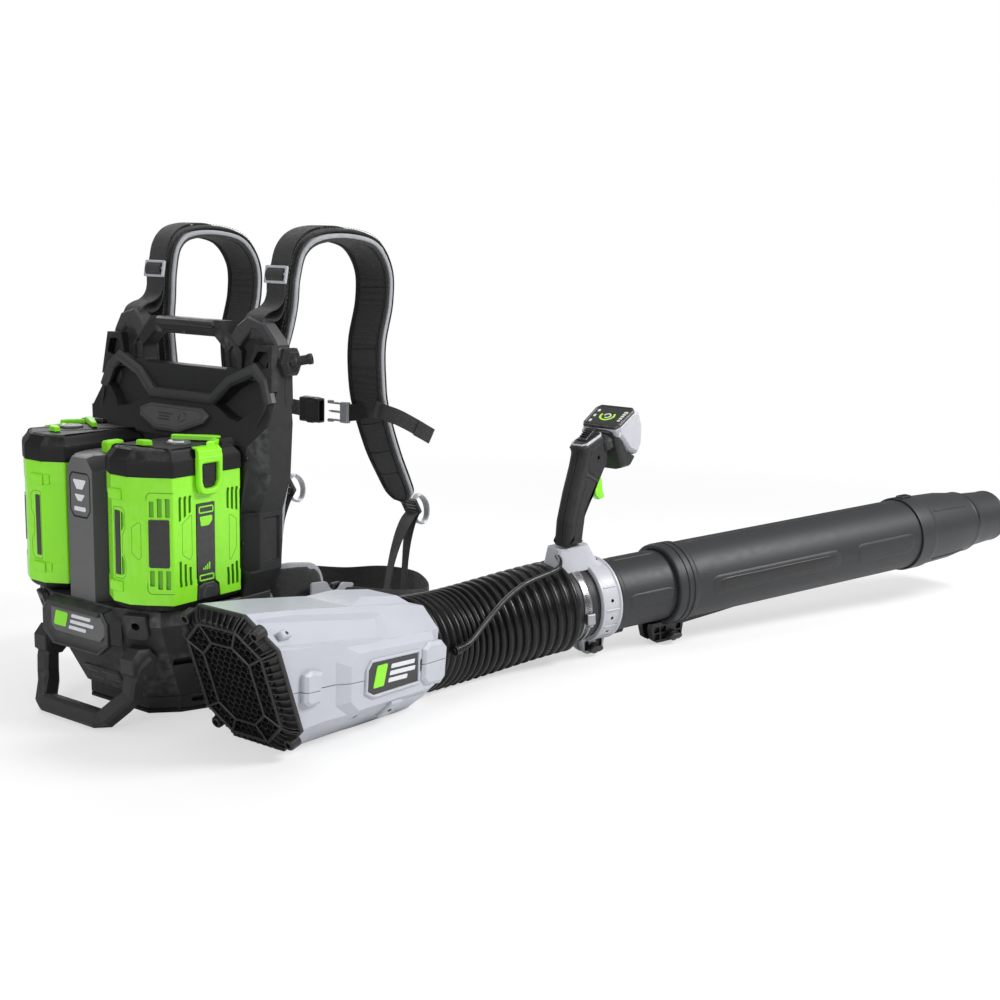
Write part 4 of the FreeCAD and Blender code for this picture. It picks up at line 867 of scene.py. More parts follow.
def battery_latch(side, tag):
    outer = battery_faces(side)[3]
    foot = Mesh().prism(outer, rounded([(40, 177.5), (80, 177.5), (77, 193), (69, 201), (49, 201),
                                        (41.5, 197)], 4, 4),
                        [(-8.4, 0), (-1.0, 0), (1.6, 1.2), (2.6, 4)])
    foot.prism(outer, rounded([(46, 179), (73, 179), (71, 191), (66, 196), (52, 196)], 3, 3),
               [(2.0, 0), (3.6, .8)])
    piece("battery_foot_" + tag, foot, DARK_GREY, "battery_" + tag[0], bevel=0.4,
          slot="battery_black")
    # latch: closed frame with a rounded heel and a hooked top, ribbed panel behind it
    body = "latch_" + tag[0]
    low = outer.moved(0, -4.0)
    latch = Mesh().loft(
        layers(low, LATCH_OUTER, [(1.4, 0), (6.2, 0), (7.6, .5), (8.4, 1.7)])
        + layers(low, LATCH_INNER, [(8.4, -1.9), (7.2, -.6), (6.0, 0), (1.4, 0)]), loop=True)
    # hook rings: (u0, u1, inner z, outer z, inner depth, outer depth)
    hook = [(38.4, 80.2, 370.0, 370, 1.6, 8.1), (39, 80, 379.5, 379.5, 0.0, 6.2),
            (40, 79.5, 381.5, 383.6, -2.2, 1.5), (41, 79, 381.8, 384.2, -9, -9)]
    latch.loft([[outer.at(u0, z0, d0), outer.at(u1, z0, d0), outer.at(u1, z1, d1),
                 outer.at(u0, z1, d1)] for u0, u1, z0, z1, d0, d1 in hook])
    piece("battery_latch_" + tag, latch, GREEN, body, "latch_" + tag, bevel=0.5,
          slot="green_plastic")
    panel = Mesh().prism(outer, rounded(rect(44.4, 328.0, 74.6, 364.5), 4, 3),
                         [(1.35, 0), (2.6, .2), (3.0, .6)])
    for k in range(7):
        z = 335.5 + k * 3.9
        panel.prism(outer, rounded(rect(49, z, 70, z + 1.7), .6, 1), [(2.9, 0), (4.0, .35)])
    piece("latch_thumb_panel_" + tag, panel, NEAR_BLACK_AND_SHADE, body, smooth=30, slot="battery_black")


def battery(side, tag):
    battery_shell(side, tag)
    battery_ends(side, tag)
    battery_latch(side, tag)


both(battery)

# ------------------------------------------------------------ dock column
COLUMN_REAR = -147
COLUMN_HALF = 41
COLUMN_PLAN = [(COLUMN_REAR, -26), (COLUMN_REAR, 26), (-125, COLUMN_HALF), (-1, COLUMN_HALF),
               (-1, -COLUMN_HALF), (-125, -COLUMN_HALF)]
# Badge outline on the rear face, (leftover Y, Z).
COLUMN_BADGE = [(-16, 341), (16, 341), (21.5, 334), (21.5, 289), (14, 279), (-14, 279),
                (-21.5, 289), (-21.5, 334)]
column_rear = Frame((COLUMN_REAR, 0, 0), -Y, Z, -X)


def column_shell():
    shell = Mesh().prism(UP, rounded(COLUMN_PLAN, [2, 2, 2, 1, 1, 2], 2),
                         [(165.7, 0), (349, 0), (364.4, 0)])
    obj = to_object("dock_column_shell", shell, [GREY, DARK_GREY])
    # sloped top at the rear, then a shoulder down each side
    carve(obj, Mesh().loft([[(x, -60, z), (x, 60, z), (x, 60, 420), (x, -60, 420)]
                            for x, z in ((-170, 352), (-128, 368))]), mat=GREY)
    # columns: X, inner Y, Z of the lower edge, top Y, top Z
    shoulder = [(-150, 27, 341, 6, 372), (-112, 41.5, 352, 26, 368), (5, 41.5, 356, 32, 368)]
    for side in SIDES:
        carve(obj, Mesh().loft([[(x, side * y, z), (x, side * 70, z), (x, side * 70, 400),
                                 (x, side * top_y, top_z)]
                                for x, y, z, top_y, top_z in shoulder]), mat=GREY)
    # the walls of the badge recess and the button slot take near-black as painted shade
    carve(obj, [Mesh().prism(column_rear, rounded(COLUMN_BADGE, 2, 2),
                             [(1, -.6), (0, 0), (-1.6, .6)]),
                Mesh().slab(UP, rect(-106, -8.4, -74, 8.4), 350, 380)], mat=NEAR_BLACK_AND_SHADE)
    # painted shade: the flanks and everything that looks upwards are darker
    for poly in obj.data.polygons:
        n = poly.normal
        if abs(n.y) > 0.35 and n.z < 0.5 or n.z > 0.3:
            poly.material_index = 1
    obj.data.materials[1] = DARK_GREY
    dress(obj, replaces="dock_column", bevel=1.0, slot="grey_plastic")


column_shell()
mesh = Mesh().prism(column_rear, rounded(inset(COLUMN_BADGE, 2.2), 2, 2),
                    [(-1.5, 0), (-.2, 0), (.3, .6)])
piece("column_badge", mesh, GREY, smooth=30, slot="grey_plastic")
mesh = Mesh()
for outline, radius in (([(-14, 331), (14, 331), (6, 318), (-6, 318)], 1.5),
                        ([(-11, 311), (11, 311), (4, 302), (-4, 302)], 1.2),
                        (rect(-12, 288, 12, 294), 2)):
    mesh.prism(column_rear, rounded(outline, radius, 2), [(.1, 0), (.55, .0), (.75, .3)])
piece("column_emblem", mesh, PALE, smooth=30, slot="light_grey_plastic")
mesh = Mesh().prism(UP, rounded(rect(-104.6, -7.1, -75.4, 7.1), 3.2, 4),
                    [(359.5, 0), (374.5, 0), (377.6, .9), (379, 2.8)])
mesh.prism(UP, rounded(rect(-100, -3.2, -80, 3.2), 2, 3), [(378.4, 0), (379.6, .6)])
piece("release_button_cap", mesh, GREEN, "release", "release_button", bevel=0.4,
      slot="green_plastic")
mesh = Mesh()
for side in SIDES:
    face = side_frame((0, side * COLUMN_HALF, 0), side)
    for k in range(5):
        mesh.prism(face, rounded(rect(-48 + k * 8, 192, -43.5 + k * 8, 248), 1, 2),
                   [(.2, 0), (1.3, 0), (1.7, .5)])
piece("terminal_blades", mesh, BRASS, replaces="dock_terminals", bevel=0.15,
      slot="contact_brass")

# ------------------------------------------------------------------- base
# Plans of the base at three heights, X and Y.
BASE_LOW = [(-90, -61), (-57, -92), (-16, -109), (64, -115), (64, 115), (-16, 109), (-57, 92),
            (-90, 61)]
BASE_MID = [(-132, -66), (-96, -112), (-30, -136), (64, -140), (64, 140), (-30, 136),
            (-96, 112), (-132, 66)]
BASE_TOP = [(-148, -66), (-122, -128), (-60, -150), (64, -152), (64, 152), (-60, 150),
            (-122, 128), (-148, 66)]


def level_ring(plan, z):
    return [(x, y, z) for x, y in plan]


def plane_frame(a, b, c):
    """Frame on the plane through three points, u from a to b, normal away from the pack."""
    a, b, c = Vector(a), Vector(b), Vector(c)
    u = (b - a).normalized()
    n = u.cross(c - a).normalized()
    mid = (a + b + c) / 3
    if n.dot(mid - Vector((-20, 0, 90))) < 0:
        n = -n
    v = n.cross(u) if n.cross(u).z > 0 else u.cross(n)
    return Frame(a, u, v, n)


def right_plane(side, *points):
    """plane_frame from points given for the right."""
    return plane_frame(*mirrored(points, side))


def foot_frame(side):
    """Upright frame over the low outer step of the base."""
    low = right_plane(side, (-54, -86, 20), (-14, -103, 20), (-54, -86, 10))
    return Frame(low.at(0, 0), low.u, Z, low.n)


def base_shell():
    obj = to_object("base_shell", Mesh().loft([
        level_ring(inset(BASE_LOW, 1.5), 6.2), level_ring(BASE_LOW, 8.5),
        level_ring(BASE_LOW, 24),
        level_ring([(x * 1.02 - 3 if x < 60 else x, y * 1.03) for x, y in BASE_LOW], 27),
        level_ring(BASE_MID, 96),
        level_ring([(x if x > 60 else x - 3, y * 1.02) for x, y in BASE_MID], 100),
        level_ring(BASE_TOP, 143), level_ring(BASE_TOP, 163.6),
        level_ring(inset(BASE_TOP, 1.5), 165.4)]), BASE_BLACK)
    cuts, lugs, holes = [], Mesh(), Mesh()
    for side in SIDES:
        # slats low on the flank and a recess behind them
        flank = right_plane(side, (-30, -136, 96), (64, -140, 96), (-14, -103, 24))
        cut = Mesh()
        for k in range(5):
            v0, v1 = -14 - k * 9.5, -19.5 - k * 9.5
            cut.prism(flank, [(8, v0), (60, v0), (62, v1), (6, v1)], [(2, -.4), (-4.5, .6)])
        rear_flank = right_plane(side, (-96, -112, 96), (-30, -136, 96), (-54, -86, 24))
        cut.prism(rear_flank, rounded([(8, -8), (60, -8), (52, -58), (16, -58)], 4, 2),
                  [(2, -1), (-2.6, 1.4)])
        # long recess on the upper flank
        upper = right_plane(side, (-60, -150, 143), (64, -152, 143), (-30, -139, 100))
        recess = Mesh().prism(upper, rounded([(14, 14), (104, 14), (112, 2), (112, -30),
                                              (100, -38), (20, -38), (10, -26)], 3, 2),
                              [(3, -1.5), (-2.8, 1.2)])
        # screw block beside the badge
        corner = right_plane(side, (-148, -66, 143), (-122, -128, 143), (-132, -68, 100))
        lugs.prism(corner, rounded([(16, 18), (50, 18), (50, -14), (44, -20), (20, -20),
                                    (16, -14)], 2, 2), [(-3, 0), (3.6, 0), (5.0, 1.4)])
        cuts += [cut, recess, Mesh().plug(corner.moved(33, 2), -8, 5.2, 7, 6.0, n=28)]
        # stepped foot with an oval hole
        foot = foot_frame(side)
        lugs.prism(foot, rounded([(-6, -14), (52, -14), (52, 2), (44, 8), (2, 8), (-6, 2)], 2, 2),
                   [(-8, 0), (6, 0), (9, 2.5)])
        oval = Frame(foot.at(23, 0, 0) + Z * 17, X, Y, Z)
        holes.plug(oval, -16, 6, 16, 6, n=24, flatten=.6)
        holes.slab(foot, rounded([(14, -5), (32, -5), (32, 1.5), (14, 1.5)], 3.2, 4), 12, 2)
    weld(obj, lugs)
    # the walls of the slats, recesses and holes take near-black as painted shade
    carve(obj, cuts + [holes], mat=NEAR_BLACK_AND_SHADE)
    dress(obj, replaces="base_housing", bevel=1.3, angle=24)


base_shell()
piece("base_floor", Mesh().prism(UP, BASE_LOW, [(0.4, 1.5), (1.6, 0), (5.8, 0)]), NEAR_BLACK_AND_SHADE,
      replaces="base_plate", bevel=0.5)
mesh = Mesh()
for x, y in ((40, 84), (40, -84), (-40, 60), (-40, -60)):
    mesh.revolve(Frame((x, y, 0), X, Y, Z), [(0.0, 9), (0.2, 10.5), (1.2, 11), (1.8, 11)], n=28)
piece("rubber_feet", mesh, FOOT, bevel=0.2, slot="grip_rubber")

# badge plate: raised rim round a sloped field with plain stripes
badge_frame = Frame((-163, 0, 0), -Y, Z, -X)
mesh = Mesh().prism(badge_frame, [(-57, 160), (57, 160), (69, 145), (69, 115), (48, 98),
                                  (-48, 98), (-69, 115), (-69, 145)],
                    [(-12, 1), (-1, 0), (0.2, .9), (0.2, 3.6), (-1.2, 4.6), (-4.2, 12)])
piece("badge_plate_shell", mesh, DARK_GREY, replaces="base_badge_plate", bevel=0.7,
      slot="grey_plastic")
mesh = Mesh().prism(badge_frame, rounded([(-52, 153), (50, 153), (61, 141), (61, 128), (50, 117),
                                          (-44, 117), (-52, 124)], 2, 2),
                    [(-4.6, 0), (-2.6, 0), (-1.9, 1.0)])
piece("badge_field", mesh, GREY, bevel=0.3, slot="grey_plastic")
stripe_steps = [(-2.0, 0), (-1.2, 0), (-.9, .4)]
mesh = Mesh().prism(badge_frame, rounded([(-40, 147), (-14, 147), (-20, 126), (-46, 126)], 3, 3),
                    stripe_steps)
for u0, u1, z in ((-6, 34, 142), (-9, 40, 133.5), (-12, 24, 125)):
    mesh.prism(badge_frame, rounded([(u0, z + 5), (u1, z + 5), (u1 - 2, z), (u0 - 2, z)], 2, 3),
               stripe_steps, slot=1)
piece("badge_stripes", mesh, [GREEN, PALE], smooth=30, slot="badge_plastic")


def yz_loft(mesh, *rings):
    """Loft rings given as (x, [(y, z), ...])."""
    return mesh.loft([[(x, y, z) for y, z in pts] for x, pts in rings])


# web between the plate and the shell
mesh = Mesh()
yz_loft(mesh, (-152, [(-54, 104), (54, 104), (58, 162), (-58, 162)]),
        (-138, [(-58, 116), (58, 116), (62, 164), (-62, 164)]))
yz_loft(mesh, (-166, [(-50, 152), (50, 152), (56, 160), (-56, 160)]),
        (-140, [(-64, 154), (64, 154), (64, 165), (-64, 165)]))
for side in SIDES:
    yz_loft(mesh, (-160, [(side * y, z) for y, z in ((60, 112), (67, 118), (68, 146), (58, 158))]),
            (-144, [(side * y, z) for y, z in ((62, 112), (76, 112), (76, 150), (66, 164))]))
piece("badge_web", mesh, BASE_BLACK, bevel=0.9)

# plain plate with blank lines on the sloped rear between the handle's legs
plate_frame = plane_frame((-132, -66, 96), (-132, 66, 96), (-94.8, -62.8, 27))
mesh = Mesh().prism(plate_frame, rounded([(38, -42), (112, -42), (112, -72), (38, -72)], 2, 2),
                    [(-1, 0), (1.0, 0), (1.5, .5)])
line_steps = [(1.2, 0), (1.75, 0), (1.9, .2)]
for u0, u1, v in ((44, 78, -48.5), (44, 70, -54), (44, 74, -59.5), (86, 106, -51)):
    mesh.prism(plate_frame, rounded(rect(u0, v - 2.2, u1, v), .6, 1), line_steps, slot=1)
for k in range(4):
    mesh.prism(plate_frame, rounded(rect(83 + 6.4 * k, -67, 87.4 + 6.4 * k, -62.6), 1.8, 3),
               line_steps, slot=1)
piece("plain_plate", mesh, [DARK_GREY, GREY], smooth=30, slot="grey_plastic")

# Foot handle: centre line of the right half, ending on the middle.
FOOT_BAR = [(-118, -97, 92), (-134, -95, 82), (-139, -92, 66), (-141, -90, 46), (-148, -80, 34),
            (-165, -64, 14.5), (-168.5, -56, 13), (-168.5, 0, 13)]
KNUCKLE = [(-21, -12), (-21, 8), (-9, 21), (10, 19), (20, 6), (20, -12), (8, -22), (-12, -20)]


def foot_handle():
    """Bar of chamfered section with knuckles where it meets the shell."""
    path = FOOT_BAR + [(x, -y, z) for x, y, z in reversed(FOOT_BAR[:-1])]
    n = len(path)
    rings = []
    for i in range(n):
        tangent = Vector(path[min(i + 1, n - 1)]) - Vector(path[max(i - 1, 0)])
        tangent.normalize()
        # the flat of the bar faces away from the pack
        away = Vector((-1.0, 0, 0.25)) if 3 < i < n - 4 else Vector((-1, 0, 0.05))
        high = (away - tangent * away.dot(tangent)).normalized()
        wide = high.cross(tangent).normalized()
        rings.append(bar_section(Vector(path[i]), wide, high, 12.2, 12.2, 4.2))
    obj = to_object("foot_handle_bar", Mesh().loft(rings), BASE_BLACK)
    for side in SIDES:
        frame = side_frame((-131, side * 92, 91), side)
        weld(obj, Mesh().prism(frame, KNUCKLE, [(-12.5, 1.6), (-11, 0), (12, 0), (13.5, 1.6)]))
    dress(obj, replaces="foot_handle", bevel=1.1, angle=20)


foot_handle()

# ------------------------------------------------------------- back frame
# Outline in Y and Z: the left half from the bottom round to the collar.
FRAME_HALF = [(152, 165.5), (168, 200), (168, 283), (182, 330), (184, 405), (178, 440),
              (171, 512), (140, 512), (128, 478), (92, 458), (63, 429)]
FRAME_HOLLOW = [(138, 185), (154, 300), (166, 400), (95, 415)]
YZ = Frame((0, 0, 0), Y, Z, X)
SIDE_PLANE = side_frame((0, 0, 0), 1)
FRAME_REAR = 5.0


def rear_x(z):
    """X of the frame's rear face at a height: upright, then leaning forward in three runs."""
    if z <= 377:
        return FRAME_REAR
    if z < 418:
        return 5 + (z - 377) * 25 / 41.0
    if z < 432:
        return 30 + (z - 418) * 4 / 14.0
    return 34 + (z - 432) * 10 / 88.0


def whole(half):
    """Right and left halves of a (Y, Z) outline given for the left."""
    return [(-y, z) for y, z in half] + [(y, z) for y, z in reversed(half)]


def frame_shell():
    obj = to_object("frame_shell", Mesh().slab(YZ, whole(FRAME_HALF), 4, 77.5), FRAME_BLACK)
    cuts = [Mesh().slab(SIDE_PLANE, outline, -260, 260) for outline in (
        [(-10, 377), (5, 377), (30, 418), (34, 432), (44, 520), (-10, 525)],
        [(62, 150), (70, 400), (78, 515), (110, 525), (110, 150)])]
    for side in SIDES:
        # long bevel down the outer rear edge in two runs: (Y, Z) at both ends
        for run in (((184, 404), (168, 284)), ((168, 283), (168, 203))):
            cuts.append(Mesh().loft([[(-6, side * (y - 30), z), (30, side * (y + 9), z),
                                      (-6, side * (y + 9), z)] for y, z in run]))
        # upper rear corner slopes back to the shoulder
        cuts.append(Mesh().loft([
            [(-6, side * 150, 404), (34, side * 195, 404), (-6, side * 195, 404)],
            [(20, side * 146, 450), (60, side * 190, 450), (10, side * 200, 450)]]))
    carve(obj, cuts, mat=FRAME_BLACK)
    cuts = []
    for side in SIDES:
        # deep panel beside the cover
        panel = [(side * y, z) for y, z in ((66, 424), (98, 452), (134, 471), (150, 468),
                                            (168, 440), (126, 404), (104, 408))]
        face = [Vector((rear_x(z) - 3, y, z + 1.0)) for y, z in panel]
        floor = [(rear_x(z) + 16, y, z - 2) for y, z in inset(panel, 5)]
        cuts.append(Mesh().loft([[(v.x - 12, v.y, v.z) for v in face], face, floor]))
        # pocket in the shoulder
        pocket = [(side * y, z) for y, z in ((146, 503), (164, 503), (168, 482), (150, 478),
                                             (137, 488))]
        cuts.append(Mesh().slab(YZ, rounded(pocket, 3, 2), 30, 62))
    rear = Frame((FRAME_REAR, 0, 0), Y, Z, -X)
    for side in SIDES:
        # pocket in the flank, groove on the flat rear and slot beside it
        flank = side_frame((0, side * 168, 0), side)
        cuts.append(Mesh().prism(flank, rounded([(26, 275), (60, 275), (60, 212), (26, 212)], 2, 2),
                                 [(1.5, -1), (-3.4, 1.6)]))
        ring = [(side * 60, 360), (side * 148, 360), (side * 148, 300), (side * 60, 300)]
        cuts.append(groove(rear, rounded(ring, 5, 3), 1.5, 1.4))
        slit = [(side * 96, 372), (side * 100, 372), (side * 101, 350), (side * 97, 348)]
        cuts.append(Mesh().slab(rear, rounded(slit, 1.2, 2), 2, -4))
    # the walls of the panels, pockets, grooves and slits take near-black as painted shade
    carve(obj, cuts, mat=NEAR_BLACK_AND_SHADE)
    # hollow on the wearer's side
    carve(obj, Mesh().prism(YZ, rounded(whole(FRAME_HOLLOW), 6, 2),
                            [(34, 6), (46, 2), (100, -3)]), mat=FRAME_BLACK)
    dress(obj, replaces="back_frame", bevel=1.5, angle=17)


frame_shell()

# Raised rim along the collar and down beside the panels, (Y, Z).
FRAME_RIM = [(-172, 432), (-160, 462), (-140, 478), (-94, 459), (-62, 430), (62, 430), (94, 459),
             (140, 478), (160, 462), (172, 432)]


def frame_rim():
    rings = []
    pts = [Vector((0, y, z)) for y, z in FRAME_RIM]
    n = len(pts)
    for i, here in enumerate(pts):
        ahead = (pts[min(i + 1, n - 1)] - here).normalized()
        behind = (here - pts[i - 1]).normalized() if i else ahead
        if i == n - 1:
            ahead = behind
        along = (behind + ahead).normalized()
        across = Vector((0, -along.z, along.y))
        spread = 1.0 / max(.6, across.dot(Vector((0, -behind.z, behind.y))))
        centre = Vector((rear_x(here.z) + 2.5, here.y, here.z))
        high = 7.5 if 1 < i < n - 2 else 5.0
        # section: (across, rearward)
        section = ((-9, -4), (-9, 2), (-5, high - 1), (0, high), (4, high - .5), (8, 2), (9, -6))
        rings.append([centre + across * spread * a - X * b for a, b in section])
    piece("frame_rim", Mesh().loft(rings), RIM_GREY, bevel=0.9, angle=16)


frame_rim()
# rib down each flank edge from the rim's end
mesh = Mesh()
for side in SIDES:
    rings = []
    for y, z in ((171, 436), (163, 404), (158, 340), (148, 290), (146, 205)):
        p = Vector((rear_x(z) + .5, side * y, z))
        rings.append([p + Vector((a, side * b, 0))
                      for a, b in ((0, -3.4), (-2.0, -1.6), (-2.0, 1.6), (3, 3.6), (5, 0))])
    mesh.loft(rings)
piece("frame_edge_ribs", mesh, FRAME_BLACK, bevel=0.5, angle=16)

# -------------------------------------------------------------- cover
tilt = math.radians(31.4)
cover_frame = Frame((17.6, 0, 397.6), -Y, (math.sin(tilt), 0, math.cos(tilt)),
                    (-math.cos(tilt), 0, math.sin(tilt)))
COVER = [(-54, 20.4), (54, 20.4), (72, 11.4), (66, -1.6), (25, -19.6), (-25, -19.6),
         (-66, -1.6), (-72, 11.4)]
COVER_THICK = 7.2
piece("cover_plate", Mesh().prism(cover_frame, COVER, [(0.2, 0), (4.5, 0), (COVER_THICK, 3.2)]),
      COVER_GREY, replaces="frame_cover", bevel=0.8,
      cut=groove(cover_frame.moved(0, 0, COVER_THICK), inset(COVER, 5.5), 0.9, .8))
# three arcs and three dashes on the cover
mesh = Mesh()
for k in range(3):
    angle = 20 + 120 * k
    mesh.revolve(cover_frame.moved(24, 2.5, 6.8), [(0, 5.6), (.95, 5.9), (.95, 7.2), (0, 7.6)],
                 n=14, start=angle, end=angle + 84, closed=True)
for k, width in enumerate((30, 22, 26)):
    mesh.prism(cover_frame.moved(-8, 5.5 - 4.5 * k, 6.9),
               rounded(rect(-width / 2 - 4, -1.0, width / 2 - 4, 1.0), .9, 2),
               [(0, 0), (.7, .1), (.9, .4)])
piece("cover_relief", mesh, DARK_GREY, smooth=40)

# -------------------------------------------------------- carry handle
carry_frame = Frame((40, 0, 0), -Y, Z, -X)
CARRY_OUTER = [(-90, 459), (-63, 430), (63, 430), (90, 459), (112, 470), (112, 500),
               (74, 540.5), (-74, 540.5), (-112, 500), (-112, 470)]
CARRY_HOLE = [(-86, 474), (86, 474), (88, 496), (62, 518), (-62, 518), (-88, 496)]
cuts = [Mesh().prism(carry_frame, rounded(CARRY_HOLE, 5, 3),
                     [(4, -3.5), (-2, 0), (-24, 0), (-32, -4)])]
for side in SIDES:          # shallow recess in each post
    cuts.append(Mesh().prism(carry_frame, [(side * y, z) for y, z in (
        (92, 478), (107, 476), (107, 498), (98, 508), (90, 500))], [(2, -1), (-3.5, 1.5)]))
cut = Mesh()                # two shallow recesses under the grip
for u0, u1 in ((-44, -6), (4, 46)):
    cut.prism(carry_frame, rounded([(u0, 523), (u1, 523), (u1 + 4, 518), (u1 + 2, 512),
                                    (u0 - 2, 512), (u0 - 4, 518)], 1, 1), [(4, -1), (-1.6, .6)])
piece("handle_loop", Mesh().prism(carry_frame, CARRY_OUTER,
                                  [(-26, 1.5), (-24.5, 0), (-4, 0), (0, 5)]),
      FRAME_BLACK, replaces="carry_handle", cut=cuts + [cut], bevel=1.6, seg=3, angle=24)
mesh = Mesh().prism(carry_frame, rounded([(-58, 541), (58, 541), (66, 533), (60, 527),
                                          (-60, 527), (-66, 533)], 2, 2),
                    [(-24, 2), (-22, 0), (-3.2, 0), (1.8, 3)])
piece("handle_grip_pad", mesh, DARK_GREY, bevel=0.8)

# Arm from the handle post over to the strap shoulder: centre x, y, z and half sizes.
ARM_STATIONS = [(56, 92, 506, 13, 13), (58, 106, 526, 13, 12), (60, 122, 540, 12, 10),
                (62, 142, 536, 12, 9), (66, 158, 514, 13, 10), (67, 171, 480, 12, 12)]
mesh = Mesh()
for side in SIDES:
    rings = []
    for x, y, z, half_x, half_z in ARM_STATIONS:
        high = Vector((0, -.4, .8) if y < 140 else (0, .85, .5)).normalized()
        high = Vector((0, side * high.y, high.z))
        rings.append(bar_section(Vector((x, side * y, z)), X, high, half_x, half_z, 3.0))
    mesh.loft(rings)
    # cross roller the strap loops over
    mesh.revolve(Frame((66, side * 126, 531), X, Z, Y),
                 [(-22, 4.5), (-21, 5.5), (21, 5.5), (22, 4.5)], n=24)
piece("shoulder_arms", mesh, RIM_GREY, bevel=1.2, angle=20)


def level_loft(mesh, side, *rings):
    """Loft level rings given as (z, [(x, y), ...]) for the left."""
    mesh.loft([[(x, side * y, z) for x, y in pts] for z, pts in rings])


mesh = Mesh()
for side in SIDES:
    # towers outside the straps
    level_loft(mesh, side, (430, [(50, 152), (78, 152), (80, 176), (62, 181), (46, 172)]),
               (470, [(52, 150), (80, 150), (82, 173), (66, 177), (49, 168)]),
               (506, [(56, 150), (80, 150), (81, 168), (68, 171.5), (54, 163)]))
    # stepped box inboard of the tower
    level_loft(mesh, side, (532, [(58, 110), (74, 110), (74, 146), (58, 146)]),
               (500, [(54, 96), (77, 96), (77, 156), (54, 156)]),
               (462, [(44, 92), (76, 92), (76, 152), (44, 152)]))
piece("shoulder_towers", mesh, FRAME_BLACK, bevel=1.4, angle=20)

# hexagonal boss on the right shoulder with a hollow stud
mesh = Mesh().prism(side_frame((0, -172.2, 0), -1),
                    [(60, 470), (84, 470), (92, 488), (84, 508), (60, 508), (52, 488)],
                    [(0, 0), (7, 0), (13.6, 5)])
axis = Vector((.55, -.8, .2)).normalized()
mesh.revolve(Frame((72, -185, 490), axis.orthogonal(), axis.cross(axis.orthogonal()), axis),
             [(-4, .01), (-4, 8.6), (4, 8.6), (5, 6.6), (19, 6.6), (20, 7.6), (25, 7.6),
              (26, 6.8), (26, 4.2), (14, 4.0), (14, .01)], n=36)
piece("hose_hook", mesh, FRAME_BLACK, replaces="hook_bracket", bevel=0.8)

# --------------------------------------------------------------- fan unit
# The fan axis points forward and slightly down; x runs along it from the intake.
FAN_TILT = math.radians(5.2)
FAN_ORIGIN = Vector((-116, -270, 99.5))
FAN_X = Vector((math.cos(FAN_TILT), 0, -math.sin(FAN_TILT)))
FAN_Y = Vector((0, 1, 0))
FAN_Z = Vector((math.sin(FAN_TILT), 0, math.cos(FAN_TILT)))
INTAKE_TILT = math.radians(24.8)
INTAKE_SLOPE = math.tan(INTAKE_TILT)


def fan_at(x, y, z):
    return FAN_ORIGIN + FAN_X * x + FAN_Y * y + FAN_Z * z


def octagon(half, top, bottom, cut_y, cut_z):
    return [(-half, -bottom + cut_z), (-half, top - cut_z), (-half + cut_y, top),
            (half - cut_y, top), (half, top - cut_z), (half, -bottom + cut_z),
            (half - cut_y, -bottom), (-half + cut_y, -bottom)]


def fan_section(half, top, bottom, cut_y, cut_z, x, slope=0.0):
    """Octagonal section; a slope leans it so that its top is nearer the intake."""
    return [fan_at(x - slope * z, y, z) for y, z in octagon(half, top, bottom, cut_y, cut_z)]


# Sections of the shell, out along the outside and back along the inside:
# half width, top, bottom, corner cuts in y and z, place on the axis, slope.
FAN_SECTIONS = [
    (82, 97, 93, 42, 40, 8, INTAKE_SLOPE), (84, 94, 89, 42, 41, 60, INTAKE_SLOPE * .4),
    (84.5, 86.5, 85, 42, 38, 150), (83, 77.5, 83, 40, 35, 262), (81, 75.5, 81, 38, 33, 284),
    (70, 70, 72, 31, 29, 314), (69.5, 69, 71, 31, 29, 320), (66, 66, 67, 30, 29, 320),
    (67.5, 67, 68, 28.2, 28.2, 290), (71.5, 71.5, 71.5, 29.6, 29.6, 70),
    (74, 88, 83, 38, 36, 14, INTAKE_SLOPE), (75, 90, 85, 39, 37, 8, INTAKE_SLOPE)]
chord = (FAN_X * 235.0 - FAN_Z * 15.0).normalized()
FAN_SIDE, UPPER_FACET, LOWER_FACET = {}, {}, {}
for side in SIDES:
    FAN_SIDE[side] = Frame(fan_at(0, side * 84, 0), FAN_X, FAN_Z, FAN_Y * side)
    slant = (FAN_Z - FAN_Y * side).normalized()
    UPPER_FACET[side] = Frame(fan_at(0, side * 83.2, 55.5), chord, slant,
                              chord.cross(slant) * -side)
    LOWER_FACET[side] = Frame(fan_at(0, side * 84, -44), FAN_X, -FAN_Z - FAN_Y * side,
                              FAN_Y * side - FAN_Z)
FAN_TOP = Frame(fan_at(0, 0, 98), FAN_X * 236.0 - FAN_Z * 20.0, FAN_Y,
                FAN_Z * 236.0 + FAN_X * 20.0)
HOUSING_BADGE = [(137, -21), (136, 12), (145, 24.5), (248, 25.5), (252, -24), (154, -29)]


